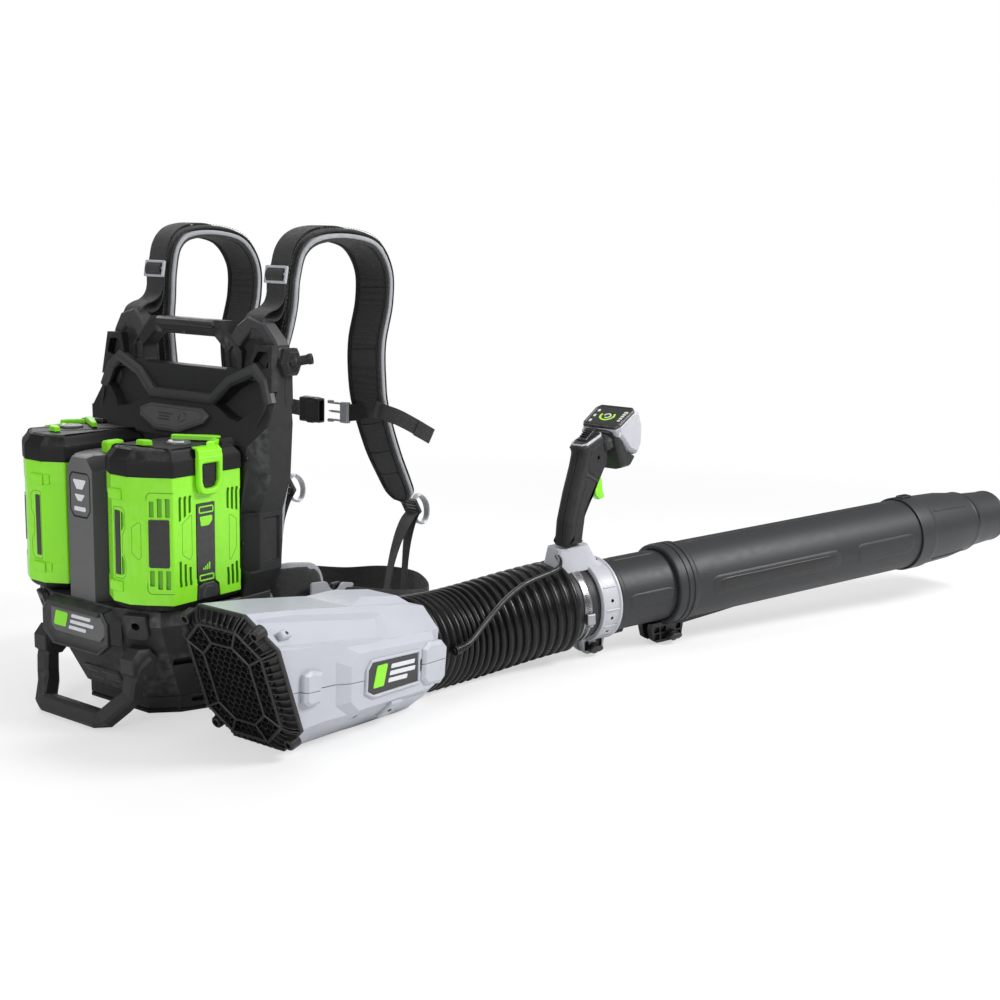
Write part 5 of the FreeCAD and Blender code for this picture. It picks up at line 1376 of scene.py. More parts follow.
def side_pods(side):
    """Raised parts on one side: (mesh, cuts, bevel)."""
    face = FAN_SIDE[side]
    base = [(82, 29), (103, 47), (286, 44), (286, -43), (114, -50), (88, -33)]
    top = [(108, 20), (122, 36), (281, 35), (281, -35), (129, -42), (112, -28)]
    main = Mesh().loft([[face.at(a, b, -6) for a, b in base],
                        [face.at(a, b, -1.5) for a, b in base],
                        [face.at(a, b, 9.0) for a, b in top]])
    main_cuts = [Mesh().prism(face, rounded(inset(HOUSING_BADGE, 4.2), 1.5, 2),
                              [(16, -.4), (8.0, 0), (6.4, .6)]),
                 Mesh().slab(face, rect(60, -3.4, 142, -2.5), -3, 30),
                 Mesh().slab(face, [(246, 1.6), (300, 4.6), (300, 5.5), (246, 2.5)], -3, 30)]
    hose_boss = Mesh().prism(face, [(255, 24), (266, 33), (296, 32), (310, 20), (310, -22),
                                    (300, -31), (266, -29), (256, -20)],
                             [(-14, 0), (10.0, 0), (14.0, 5.5)])
    hose_cut = [Mesh().slab(face, [(240, 1.0), (330, 6.0), (330, 6.9), (240, 1.9)], -8, 30)]
    seam_boss = Mesh().prism(face, [(24, 20), (34, 25), (56, 21), (56, -20), (34, -22), (26, -16)],
                             [(-8, -1), (5.0, 0), (9.0, 4.5)])
    seam_cut = [Mesh().slab(face, rect(10, -3.0, 70, -2.1), -4, 30)]
    shoulder_boss = Mesh().prism(UPPER_FACET[side], [(-6, 26), (6, 30), (16, 28), (14, 18),
                                                     (-4, 16)], [(-6, 0), (2.4, 0), (5.2, 2)])
    low_boss = Mesh().prism(LOWER_FACET[side], [(198, -6), (222, -6), (224, 34), (202, 34)],
                            [(-6, 0), (4.0, 0), (6.4, 2)])
    return [(main, main_cuts, 1.6), (hose_boss, hose_cut, .9), (seam_boss, seam_cut, .9),
            (shoulder_boss, None, .9), (low_boss, None, .9)]


fan_shell = to_object("fan_shell", Mesh().loft([fan_section(*row) for row in FAN_SECTIONS],
                                               loop=True), LIGHT)
hump = Mesh().loft([[FAN_TOP.at(a, b, depth) for a, b in pts] for depth, pts in (
    (-6, [(152, -41), (298, -36), (298, 36), (152, 41)]),
    (1, [(154, -41), (296, -36), (296, 36), (154, 41)]),
    (12.0, [(196, -28), (272, -28), (272, 28), (196, 28)]))])
for k, (mesh, cuts, bevel) in enumerate(side_pods(-1) + side_pods(1) + [(hump, None, 1.6)]):
    piece("fan_pod_%d" % k, mesh, LIGHT, cut=cuts, bevel=bevel, seg=3, angle=20,
          slot="light_grey_plastic")
cuts, seams = [], []
for side in SIDES:
    # broad scoop in the upper facet, oval hole low in the side, seam lines
    scoop = rounded([(-30, 3.5), (184, 2.5), (208, 44), (-30, 52)], [0, 3, 3, 0], 2)
    cuts.append(Mesh().prism(UPPER_FACET[side], scoop, [(3, -8), (-0.2, -.5), (-4.6, 6.5)]))
    face = FAN_SIDE[side]
    cuts.append(Mesh().plug(face.moved(144, -57), -14, 4.2, 10, 4.8, n=24, flatten=.7))
    seams.append(Mesh().slab(face, rect(-14, -3.1, 110, -2.1), -1.8, 3))
    seams.append(Mesh().slab(face, [(286, 4.0), (330, 6.4), (330, 7.4), (286, 5.0)], -1.8, 3))
carve(fan_shell, cuts, mat=LIGHT)
carve(fan_shell, seams, mat=SEAM)
dress(fan_shell, replaces=("fan_housing_upper", "fan_housing_lower"), bevel=2.0, seg=3,
      angle=20, slot="light_grey_plastic")

# badge frame, plate and plain stripes on each side
rims, plates, stripes = Mesh(), Mesh(), Mesh()
stripe_steps = [(10.4, 0), (11.1, 0), (11.4, .5)]
for side in SIDES:
    face = FAN_SIDE[side]
    rims.hoop(face, rounded(HOUSING_BADGE, 2.5, 3),
              [(8.0, 0), (11.6, .2), (12.4, 1.2), (12.4, 3.0), (11.4, 4.2), (8.0, 4.4)])
    plates.prism(face, rounded(inset(HOUSING_BADGE, 4.6), 1.5, 2),
                 [(7.3, 0), (10.2, 0), (10.6, .6)])
    stripes.prism(face, rounded([(158, 14.5), (180, 15.5), (174, -15), (152, -16)], 2.6, 3),
                  stripe_steps)
    for x0, x1, z in ((188, 238, 10), (186, 240, 0.5), (184, 224, -9)):
        stripes.prism(face, rounded([(x0, z + 3), (x1, z + 3.6), (x1 - 1.5, z - 2.4),
                                     (x0 - 1.5, z - 3)], 1.6, 3), stripe_steps, slot=1)
piece("housing_badge_frame", rims, LIGHT, bevel=0.3, slot="light_grey_plastic", smooth=40)
piece("housing_badge_plate", plates, LABEL, replaces="housing_badge", slot="badge_plastic",
      smooth=30)
piece("housing_badge_stripes", stripes, [GREEN, PALE], slot="badge_plastic", smooth=30)
mesh = Mesh()
for side in SIDES:
    mesh.screw(LOWER_FACET[side].moved(210, 14, 6.2), 3.2, 1.2, 1.0)
    mesh.screw(UPPER_FACET[side].moved(5, 22, 5.0), 2.4, 1.0, .9)
piece("housing_screws", mesh, NEAR_BLACK_AND_SHADE, slot="steel", smooth=40)

# ------------------------------------------------------------ intake grille
grille_x = FAN_X * math.cos(INTAKE_TILT) + FAN_Z * math.sin(INTAKE_TILT)
grille_z = -FAN_X * math.sin(INTAKE_TILT) + FAN_Z * math.cos(INTAKE_TILT)
GRILLE = Frame(FAN_ORIGIN + grille_x * -9.04, FAN_Y, grille_z, grille_x)  # depth towards the fan
FACE_DEPTH = -3.0
FLANGE = octagon(86, 104, 104, 44, 42)
FACE = octagon(68, 88, 84, 35, 33)
HUB = octagon(43, 62, 60, 24, 22)
mesh = Mesh().hoop(GRILLE, FLANGE, [(16, 0), (11.5, 0), (10.5, 1.2), (10.5, 6), (5.0, 14),
                                    (5.0, 20), (16, 14)])
piece("grille_flange", mesh, BLACK, replaces="intake_grille", bevel=0.7)


def bar_steps(width, front, back, chamfer):
    """Section of a closed bar, chamfered at the front."""
    return [(back, 0), (front + chamfer, 0), (front, chamfer), (front, width - chamfer),
            (front + chamfer, width), (back, width)]


def across_path(points, section):
    """Rings across a straight run: section(i) gives the (across, depth) points at point i."""
    direction = (points[-1] - points[0]).normalized()
    normal = Vector((-direction.y, direction.x))
    return [[GRILLE.at(p.x + normal.x * a, p.y + normal.y * a, d) for a, d in section(i)]
            for i, p in enumerate(points)]


def fin(mesh, points, half, crest, tops, bottoms, drop):
    """Thin ridged fin; crest is the half width just under its top edge."""
    mesh.loft(across_path(points, lambda i: (
        (-half, bottoms[i]), (-crest, tops[i] + drop), (0, tops[i]), (crest, tops[i] + drop),
        (half, bottoms[i]))))


mesh = Mesh().hoop(GRILLE, FACE, bar_steps(4.6, FACE_DEPTH, 9.0, 1.3))
mesh.hoop(GRILLE, HUB, bar_steps(4.0, FACE_DEPTH - .6, 7.0, 1.3))
# spokes between the corners of the two frames
half, front, back, chamfer = 1.8, FACE_DEPTH - .3, 8, .9
spoke = [(-half, back), (-half, front + chamfer), (-half + chamfer, front),
         (half - chamfer, front), (half, front + chamfer), (half, back)]
for a, b in zip(inset(HUB, 2), inset(FACE, 2.2)):
    mesh.loft(across_path([Vector(a), Vector(b)], lambda i: spoke))
piece("grille_frames", mesh, BLACK, bevel=0.25, smooth=40)
# fins round the skirt, then ribs at the octagon's corners
mesh = Mesh()
edge_outer = [Vector(p) for p in inset(FLANGE, .6)]
edge_inner = [Vector(p) for p in inset(FACE, 1.5)]
for i in range(8):
    j = (i + 1) % 8
    count = max(3, int(round((edge_outer[j] - edge_outer[i]).length / 11.5)))
    for k in range(count):
        f = (k + .5) / count
        far, near = edge_outer[i].lerp(edge_outer[j], f), edge_inner[i].lerp(edge_inner[j], f)
        fin(mesh, [near, near.lerp(far, .45), near.lerp(far, .8), far], 1.0, .8,
            (FACE_DEPTH + 1.2, FACE_DEPTH + 4.2, FACE_DEPTH + 9.5, 12.0), (12, 14, 15, 15.5), .4)
for far, near in zip(edge_outer, edge_inner):
    fin(mesh, [near, near.lerp(far, .5), far], 1.7, 1.3, (FACE_DEPTH + .6, FACE_DEPTH + 4, 11),
        (12, 14, 15.5), .6)
piece("grille_fins", mesh, BLACK, smooth=40)


def inside(outline, x, y):
    """True if a point is inside a convex outline."""
    crosses = [(b[0] - a[0]) * (y - a[1]) - (b[1] - a[1]) * (x - a[0])
               for a, b in zip(outline, outline[1:] + outline[:1])]
    return all(c < 0 for c in crosses) or all(c > 0 for c in crosses)


# honeycomb of hexagonal tubes that fill the face
CELL_PITCH = 10.8
cell_radius = CELL_PITCH / math.sqrt(3)
outside, wall = cell_radius + .05, cell_radius - .8
cell_steps = [(7.5, outside), (0.6, outside), (-0.2, outside - .25), (-0.2, wall + .25),
              (0.6, wall), (7.5, wall)]
corners = [(math.cos(math.radians(60 * k + 30)), math.sin(math.radians(60 * k + 30)))
           for k in range(6)]
field = inset(FACE, 2.2)
mesh = Mesh()
for row in range(-14, 15):
    for column in range(-10, 11):
        y = column * CELL_PITCH + (CELL_PITCH / 2 if row % 2 else 0)
        z = row * cell_radius * 1.5
        if inside(field, y, z):
            mesh.loft([[GRILLE.at(y + a * r, z + b * r, d) for a, b in corners]
                       for d, r in cell_steps], loop=True)
piece("grille_honeycomb", mesh, BLACK, smooth=25, weighted=False)
EARS = ((62, 84), (-62, 84), (66, -80), (-66, -80))
mesh = Mesh()
for y, z in EARS:
    mesh.revolve(GRILLE.moved(y, z), [(16, 9.5), (2, 8.2), (0.6, 7.0), (0.6, 4.4), (7, 4.0),
                                      (7, .01)], n=28)
piece("grille_ears", mesh, BLACK, smooth=40)
mesh = Mesh()
for y, z in EARS:
    mesh.screw(Frame(GRILLE.at(y, z, 6.8), GRILLE.u, GRILLE.v, -GRILLE.n), 3.6, 1.6, 1.3)
for y, z in ((-150, 240), (150, 240), (-160, 360), (160, 360)):
    mesh.screw(Frame((FRAME_REAR, y, z), Y, Z, -X), 4.2, 1.8, 1.4)
piece("case_screw_heads", mesh, NEAR_BLACK_AND_SHADE, replaces="case_screws", slot="steel", smooth=40)
# painted shade: a near-black liner behind the honeycomb darkens the intake so that it reads deep
mesh = Mesh()
mesh.loft([fan_section(69.5, 83, 79, 34, 32, 12, INTAKE_SLOPE),
           fan_section(69.0, 69.5, 69.5, 40, 40, 59)], caps=False)
mesh.loft([fan_section(70.5, 84.5, 80.5, 34, 32, 12, INTAKE_SLOPE),
           fan_section(70.4, 71, 71, 40, 40, 60)], caps=False)
piece("intake_shade_liner", mesh, NEAR_BLACK_AND_SHADE, smooth=40)


def fan_wheel():
    """Spinner and hub with nine swept, twisted blades."""
    mesh = Mesh().revolve(Frame(FAN_ORIGIN, FAN_Y, FAN_Z, FAN_X),
                          [(22, .01), (23, 4), (26, 9.5), (31, 16), (38, 22), (44, 24), (66, 24),
                           (66, 5), (66, .01)], n=60)
    # blade section: (fraction of chord, thickness)
    section = ((-.5, .25), (-.2, 1.3), (.2, 1.2), (.5, .25), (.2, -.6), (-.2, -.5))
    for k in range(9):
        rings = []
        for j in range(9):
            r = 22 + (63.4 - 22) * j / 8
            twist = math.radians(58 - 30 * j / 8)
            sweep = math.radians(-10 + 16 * (j / 8) ** 1.5)
            width = 30 - 4 * j / 8
            ring = []
            for u, thick in section:
                axial = 53 + u * width * math.cos(twist)
                around = u * width * math.sin(twist) + thick * math.cos(twist)
                axial -= thick * math.sin(twist) * .5
                angle = math.radians(40 * k) + sweep + around / r
                ring.append(fan_at(axial, r * math.cos(angle), r * math.sin(angle)))
            rings.append(ring)
        mesh.loft(rings)
    piece("fan_wheel", mesh, FAN_NYLON, "fan_rotor", "impeller", slot="fan_plastic", smooth=40)


fan_wheel()

# --------------------------------------------------- hanger and fan arm
# Grey hanger on the fan unit beside the frame: (X, Z) and a radius for every corner.
HANGER_OUTLINE = rounded(
    [(98, 96), (98, 171), (101, 174), (126, 171.5), (131, 169), (137, 160), (143, 155.5),
     (149, 154), (155, 155), (160, 160), (165, 163), (186, 158.5), (189, 155.5), (185, 152),
     (172, 153.5), (167, 149), (166, 96)],
    [0, 3, 3, 3, 3, 3, 2, 2, 2, 3, 3, 2, 2, 2, 3, 3, 0], 3)
mesh = Mesh().prism(side_frame((0, -190, 0), -1), HANGER_OUTLINE,
                    [(0, .5), (.6, 0), (3.2, 0), (3.8, .6)])
mesh.loft([[(x, y, z) for x, z in rect(99, 96, 165, 116)] for y in (-193, -186, -176)])
piece("hose_hanger", mesh, HANGER, bevel=0.5, slot="light_grey_plastic")
mesh = Mesh().loft([[(x, y, z) for x, z in rect(*corners)] for y, corners in (
    (-136, (-36, 42, 56, 108)), (-160, (-30, 52, 50, 100)), (-185, (-34, 44, 54, 106)))])
cut = Mesh().slab(Frame((10, -160, 107), X, Y, Z), rounded(rect(-30, -18, 30, 18), 5, 3), -8, 10)
piece("fan_arm", mesh, BLACK, replaces="fan_mount_bracket", cut=cut, bevel=2.0, seg=3, angle=20)

# ------------------------------------------------------ hose and cables
HOSE_START, HOSE_END = Vector((263, -270, 65)), Vector((511.7, -349.9, 87))
TUBE_YAW, TUBE_PITCH = math.radians(-22.47), math.radians(3.457)
# axes of the tube: along it, to its left and upwards
TUBE_X = Vector((math.cos(TUBE_PITCH) * math.cos(TUBE_YAW),
                 math.cos(TUBE_PITCH) * math.sin(TUBE_YAW), math.sin(TUBE_PITCH)))
TUBE_Y = Vector((-math.sin(TUBE_YAW), math.cos(TUBE_YAW), 0))
TUBE_Z = TUBE_X.cross(TUBE_Y)
HOSE_PULL = 270         # length of the end tangents
HOSE_STEPS = 400
HOSE_PITCH, HOSE_CREST, HOSE_ROOT, HOSE_WALL = 16.0, 74.5, 67.0, 2
# One convolution: (fraction of the pitch, radius).
CONVOLUTION = [(0, HOSE_ROOT), (.14, HOSE_ROOT + .6), (.24, HOSE_ROOT + 3.2),
               (.34, HOSE_CREST - .9), (.46, HOSE_CREST), (.62, HOSE_CREST),
               (.74, HOSE_CREST - .9), (.84, HOSE_ROOT + 3.2), (.94, HOSE_ROOT + .6)]


def hose_curve(t):
    """Hermite curve from the fan unit to the tube."""
    return (HOSE_START * (2 * t ** 3 - 3 * t * t + 1)
            + FAN_X * HOSE_PULL * (t ** 3 - 2 * t * t + t)
            + HOSE_END * (-2 * t ** 3 + 3 * t * t) + TUBE_X * HOSE_PULL * (t ** 3 - t * t))


HOSE_TIMES = [i / HOSE_STEPS for i in range(HOSE_STEPS + 1)]
HOSE_LENGTHS = [0.0]
for t0, t1 in zip(HOSE_TIMES, HOSE_TIMES[1:]):
    HOSE_LENGTHS.append(HOSE_LENGTHS[-1] + (hose_curve(t1) - hose_curve(t0)).length)


def hose_place(s):
    """Centre and direction at an arc length; straight back into the housing below zero."""
    if s < 0:
        return HOSE_START + FAN_X * s, FAN_X
    i = 0
    while HOSE_LENGTHS[i + 1] < s:
        i += 1
    start, end = HOSE_LENGTHS[i], HOSE_LENGTHS[i + 1]
    t = HOSE_TIMES[i] + (HOSE_TIMES[i + 1] - HOSE_TIMES[i]) * (s - start) / max(end - start, 1e-9)
    e = 1e-4
    return hose_curve(t), (hose_curve(t + e) - hose_curve(t - e)).normalized()


def hose_ring(s, r, n=96):
    centre, direction = hose_place(s)
    up = (Vector((0, 0, 1)) - direction * direction.z).normalized()
    left = direction.cross(up)
    turns = [2 * math.pi * j / n for j in range(n)]
    return [centre + left * r * math.cos(t) + up * r * math.sin(t) for t in turns]


def hose(start, end, phase):
    """Convoluted hose with rounded ridges, flat roots and a plain inner wall."""
    rows = [(start, HOSE_ROOT)]
    k = int(math.floor((start - phase) / HOSE_PITCH)) - 1
    while phase + k * HOSE_PITCH <= end:
        for f, r in CONVOLUTION:
            s = phase + k * HOSE_PITCH + f * HOSE_PITCH
            if start <= s <= end:
                rows.append((s, r))
        k += 1
    rows.append((end, HOSE_ROOT))
    rings = [hose_ring(s, r) for s, r in rows]
    for s in (end, start + (end - start) * .75, start + (end - start) * .5,
              start + (end - start) * .25, start):
        rings.append(hose_ring(s, HOSE_ROOT - HOSE_WALL))
    return Mesh().loft(rings, loop=True)


def metres(v):
    return tuple(x * MM for x in v)


# the ridges are shared: the first half ends where the second begins
hose_middle = HOSE_LENGTHS[int(.44 * HOSE_STEPS)]
soft("hose_a", hose(-60, hose_middle, hose_middle), RUBBER,
     ("pack", "hose_mid", metres(hose_curve(.10)), metres(hose_curve(.40))), "bellows_rear",
     slot="hose_rubber")
soft("hose_b", hose(hose_middle, HOSE_LENGTHS[-1] - 5, hose_middle), RUBBER,
     ("hose_mid", "tube_rear", metres(hose_curve(.46)), metres(hose_curve(.75))),
     ("bellows_mid", "bellows_front"), slot="hose_rubber")
# Cable runs: points, body or pair of bodies, CAD node.
CABLES = [
    ([(228, -351, 74), (262, -354, 80), (300, -353, 100), (340, -355, 124), (366, -358, 137)],
     ("pack", "hose_mid"), "cable_rear"),
    ([(366.6, -358.1, 137.3), (392, -363, 147), (420, -370, 153), (440, -374, 156)],
     ("hose_mid", "tube_rear"), "cable_mid"),
    ([(440.6, -374.1, 156.1), (458, -377, 160), (472, -372, 165), (482, -364, 169),
      (492, -352, 171)], "tube_rear", "cable_front")]
for i, (points, body, node) in enumerate(CABLES):
    if not isinstance(body, str):
        first, last = Vector(points[0]), Vector(points[-1])
        body += (metres(first.lerp(last, .15)), metres(first.lerp(last, .85)))
    soft("cable_%d" % i, rod(spline(points, 8), 4.0, n=20), CABLE, body, node,
         slot="cable_rubber")
# ribbed sleeve on the cable at the housing
mesh = Mesh()
sleeve = stations_along(spline(CABLES[0][0][:3], 10)[:14], (0.13, .31, .94))
for i in range(9):
    p, tangent, wide, normal = sleeve[1 + i]
    r = 7.4 - i * .28
    mesh.revolve(Frame(p, wide, normal, tangent), [(-1.1, 4.0), (-1.1, r - .4), (-.7, r), (.7, r),
                                                   (1.1, r - .4), (1.1, 4.0)], n=24, closed=True)
piece("strain_relief", mesh, CABLE, slot="cable_rubber", smooth=40)

# ---------------------------------------------------------------- rear tube
TUBE_FRAME = Frame(HOSE_END, TUBE_Y, TUBE_Z, TUBE_X)


def tube_at(s, y, z):
    return HOSE_END + TUBE_X * s + TUBE_Y * y + TUBE_Z * z


def tube_turned(profile):
    """Ring about the tube from a closed profile of (along, radius)."""
    return Mesh().revolve(TUBE_FRAME, profile, n=96, closed=True)


def tube_radial(angle):
    """Directions away from the tube's axis and round it at an angle in degrees."""
    a = math.radians(angle)
    return (TUBE_Y * math.cos(a) + TUBE_Z * math.sin(a),
            -TUBE_Y * math.sin(a) + TUBE_Z * math.cos(a))


def on_tube(angle, r, s):
    return tube_at(s, 0, 0) + tube_radial(angle)[0] * r


def skin_frame(angle, r, s):
    """Frame on the tube's skin: u along it, v round it, depth outwards."""
    away, around = tube_radial(angle)
    return Frame(on_tube(angle, r, s), TUBE_X, around, away)


def tube_side(offset, side):
    """Frame beside the tube's axis: u along it, v up, depth outwards."""
    return Frame(tube_at(0, side * offset, 0), TUBE_X, TUBE_Z, TUBE_Y * side)


mesh = tube_turned([(-8, 59.3), (-8, 62.2), (-6, 63), (26, 62.8), (29, 62.0), (31, 59.6),
                    (40, 59.4), (80, 59.4), (82, 60.6), (88, 60.6), (90, 59.3), (200, 59.2),
                    (330, 59.2), (330, 56.4), (-8, 56.0)])
piece("tube_rear_body", mesh, TUBE, "tube_rear", "rear_tube", slot="tube_plastic", smooth=30)


def keel(name, stations, top, taper, body, bevel):
    """Keel under the tube from stations of (along, half width, drop below the axis)."""
    piece(name, Mesh().loft([[tube_at(s, y, z) for y, z in (
        (-w, -top), (w, -top), (w * taper, -drop), (-w * taper, -drop))]
        for s, w, drop in stations]), TUBE, body, bevel=bevel, seg=3, slot="tube_plastic")


keel("tube_rear_keel", ((84, 9, 60), (90, 9, 67), (117, 9, 66), (121, 8, 60)), 54, 1,
     "tube_rear", 1.2)
# hose clamp: band with rolled edges, slots, worm housing and screw
mesh = tube_turned([(4, 62.6), (4, 64.2), (5, 64.7), (6, 64.2), (6.4, 63.7), (15.6, 63.7),
                    (16, 64.2), (17, 64.7), (18, 64.2), (18, 62.6)])
piece("clamp_band", mesh, STEEL, "tube_rear", "hose_clamp", slot="steel", smooth=40)
mesh = Mesh()
for k in range(46):
    mesh.box(skin_frame(150 + k * 2.6, 63.9, 11), (-3.4, -.5, -.4), (3.4, .5, .25))
piece("clamp_slots", mesh, NEAR_BLACK_AND_SHADE, "tube_rear", slot="steel", smooth=30)
mesh = Mesh().prism(Frame(tube_at(11, -68.4, -10), TUBE_X, TUBE_Z, -TUBE_Y),
                    rounded(rect(-7.5, -9, 7.5, 9), 2, 3), [(-5, 0), (2.6, 0), (4.2, 1.4)])
mesh.revolve(Frame(tube_at(11, -68.8, -18), TUBE_X, TUBE_Y, -TUBE_Z),
             [(0, .01), (0, 4.0), (3.4, 4.2), (3.8, 3.6), (3.8, 1.2), (2.6, 1.0), (2.6, .01)], n=24)
piece("clamp_worm", mesh, STEEL, "tube_rear", bevel=0.5, slot="steel")

# light ring that carries the handle, its ribs, saddle and lugs
mesh = tube_turned([(38, 60.0), (38, 66.2), (39.2, 67.4), (42, 67.4), (43.2, 66.0), (45, 65.0),
                    (69, 65.0), (70.8, 66.0), (72, 67.4), (74.8, 67.4), (76, 66.2), (76, 60.0)])
cuts = [Mesh().plug(skin_frame(angle, 63, 57), -1, 2.6, 8, 3.0, n=20)
        for angle in (170, 196, 222, 338, 12, 318)]
# the walls of the holes take near-black as painted shade
piece("clamp_ring", mesh, RING, "handle", ("handle_clamp_upper", "handle_clamp_lower"),
      cut=cuts, cut_mat=NEAR_BLACK_AND_SHADE, bevel=0.4, slot="light_grey_plastic")
mesh = Mesh()
for angle in (183, 209, 235, 325, 351, 150, 30):
    mesh.prism(skin_frame(angle, 63, 57), rounded(rect(-13, -1.3, 13, 1.3), 1.2, 3),
               [(-1, 0), (3.2, 0), (3.9, .7)])
piece("ring_ribs", mesh, RING, "handle", slot="light_grey_plastic", smooth=30)
# Saddle rising to the grip: (height, rear, front, half width).
SADDLE = [(50, -24, 82, 27), (58, -23, 78, 26), (66, -21, 68, 24), (74, -19, 60, 22),
          (84, -17, 54, 20.5), (96, -14, 48, 19)]
rings = []
for z, s0, s1, half in SADDLE:
    outline = rounded([(s0, -half), (s0, half), (s1, half), (s1, -half)],
                      [half * .55, half * .55, half * .8, half * .8], 6)
    rings.append([tube_at(a, b, z) for a, b in outline])
# the faces cut where the saddle meets the tube take dark graphite as painted shade
piece("saddle", Mesh().loft(rings), RING, "handle",
      cut=Mesh().plug(TUBE_FRAME, -60, 63.2, 120, 63.2, n=96), cut_mat=DARK_GREY,
      bevel=1.2, seg=3, angle=24, slot="light_grey_plastic")
mesh = Mesh()
for y in (17, -17):
    mesh.screw(Frame(tube_at(58, y, 69.5), TUBE_X, TUBE_Y, TUBE_Z + TUBE_X * .35), 3.4, 1.3, 1.2)
piece("saddle_screws", mesh, NEAR_BLACK_AND_SHADE, "handle", slot="steel", smooth=40)


def lugs(name, outline, offset, steps, cuts, mats, **where):
    """Two ears with a gap between them under the tube, with pockets in their outer faces."""
    mesh = Mesh()
    for side in SIDES:
        mesh.prism(tube_side(offset, side), rounded(outline, [0, 0, 3, 4, 4, 4, 4, 3], 3), steps)
    piece(name, mesh, mats[0], cut=cuts, cut_mat=mats[1], bevel=.5, **where)


cuts = [Mesh().prism(tube_side(15, side), rounded([(a0, -66), (a1, -66), (a1, -82), (a0, -82)],
                                                  1.5, 2), [(1, -.3), (-5, .3)])
        for side in SIDES for a0, a1 in ((36, 44), (58, 70))]
# the pocket walls take dark graphite as painted shade
lugs("ring_lugs", [(32, -54), (74, -54), (76, -66), (72, -84), (66, -88), (40, -88), (34, -82),
                   (30, -66)], 4, [(0, .6), (.6, 0), (10.2, 0), (11, .8)], cuts,
     (RING, DARK_GREY), body="handle", slot="light_grey_plastic")


def wing_knob(name, centre, body, node, r=9.0, half_wing=13.0):
    """Knurled disc with two wings, on its own stud."""
    frame = Frame(centre, TUBE_X, TUBE_Z, -TUBE_Y)
    n = 60
    rings = []
    for depth, radius, dent in ((0, r - 1, .6), (1, r, 1.0), (7.5, r, 1.0), (9, r - 1.4, .5)):
        ring = []
        for k in range(n):
            here = radius - (dent if (k % 5) in (0, 1) else 0)
            t = 2 * math.pi * k / n
            ring.append(frame.at(here * math.cos(t), here * math.sin(t), depth))
        rings.append(ring)
    mesh = Mesh().loft(rings)
    wing = [(-half_wing, -3), (-6, -5.4), (6, -5.4), (half_wing, -3), (half_wing, 3), (6, 5.4),
            (-6, 5.4), (-half_wing, 3)]
    mesh.prism(frame, rounded(wing, [2.8, 2, 2, 2.8, 2.8, 2, 2, 2.8], 4),
               [(3.2, .8), (4.2, 0), (13.0, .5), (14.8, 2.0)])
    piece(name + "_grip", mesh, BLACK, body, node, bevel=.5, angle=28)
    stud = Mesh().revolve(frame, [(-36, .01), (-36, 2.5), (-35, 3.0), (2, 3.0), (2, .01)], n=24)
    piece(name + "_stud", stud, STEEL, body, slot="steel", smooth=40)


wing_knob("knob_h", tube_at(51, -15.3, -78), "knob_handle", "handle_knob")
wing_knob("knob_t", tube_at(212, -19.3, -86), "knob_tube", "tube_knob")
nut = [(7.2 * math.cos(math.radians(60 * k)), 7.2 * math.sin(math.radians(60 * k)))
       for k in range(6)]
for name, centre, body in (("nut_h", tube_at(51, 15.2, -78), "handle"),
                           ("nut_t", tube_at(212, 19.2, -86), "tube_front")):
    mesh = Mesh().prism(Frame(centre, TUBE_X, TUBE_Z, TUBE_Y), nut, [(0, 0), (3.6, 0), (4.4, .6)])
    piece(name, mesh, STEEL, body, bevel=0.3, slot="steel")

# --------------------------------------------------------------- front tube
mesh = tube_turned([(194, 61), (194, 66.6), (195.6, 68.4), (200, 69.0), (207, 69.0), (208, 67.2),
                    (211.6, 67.2), (212.6, 69.0), (219, 69.0), (220, 67.2), (223.6, 67.2),
                    (224.6, 69.0), (231, 68.6), (234, 66.2), (237, 65.5), (500, 65.3),
                    (770, 65.1), (773, 65.4), (775, 66.6), (789, 66.6), (790, 66), (790, 62.6),
                    (234, 61.6)])
piece("tube_front_body", mesh, TUBE, "tube_front", "front_tube", slot="tube_plastic", smooth=30)


def skin_panel(name, angle0, angle1, s0, s1, r, height, body="tube_front", mat=TUBE):
    """Raised panel wrapped on the tube, narrowed over the last 14 mm at both ends."""
    across, along, taper = 14, 30, 14
    middle = (angle0 + angle1) / 2
    rings = []
    for i in range(along + 1):
        s = s0 + (s1 - s0) * i / along
        end = min(1.0, min(s - s0, s1 - s) / taper)
        half = (angle1 - angle0) / 2 * (.55 + .45 * math.sin(end * math.pi / 2))
        top, bottom = [], []
        for j in range(across + 1):
            angle = middle - half + 2 * half * j / across
            lift = height
            if j in (0, across) or i in (0, along):
                lift = -.2
            elif j in (1, across - 1) or i in (1, along - 1):
                lift = height * .8
            top.append(on_tube(angle, r + lift, s))
            bottom.append(on_tube(angle, r - 1.0, s))
        rings.append(top + bottom[::-1])
    piece(name, Mesh().loft(rings), mat, body, slot="tube_plastic", smooth=35, weighted=False)


for angle in (0, 180):
    skin_panel("tube_panel_%d" % angle, angle - 15, angle + 15, 262, 560, 65.4, 1.7)
    skin_panel("tube_panel_in_%d" % angle, angle - 9, angle + 9, 276, 546, 67.0, .9, mat=BLACK)
    skin_panel("tube_flat_%d" % angle, angle - 16, angle + 16, 600, 748, 65.2, 1.2)
skin_panel("tube_spine", 84, 96, 246, 742, 65.2, 1.8)
skin_panel("rear_spine", 80, 100, 92, 186, 59.2, 1.6, "tube_rear")
skin_panel("rear_side", 168, 192, 96, 188, 59.2, 1.2, "tube_rear")
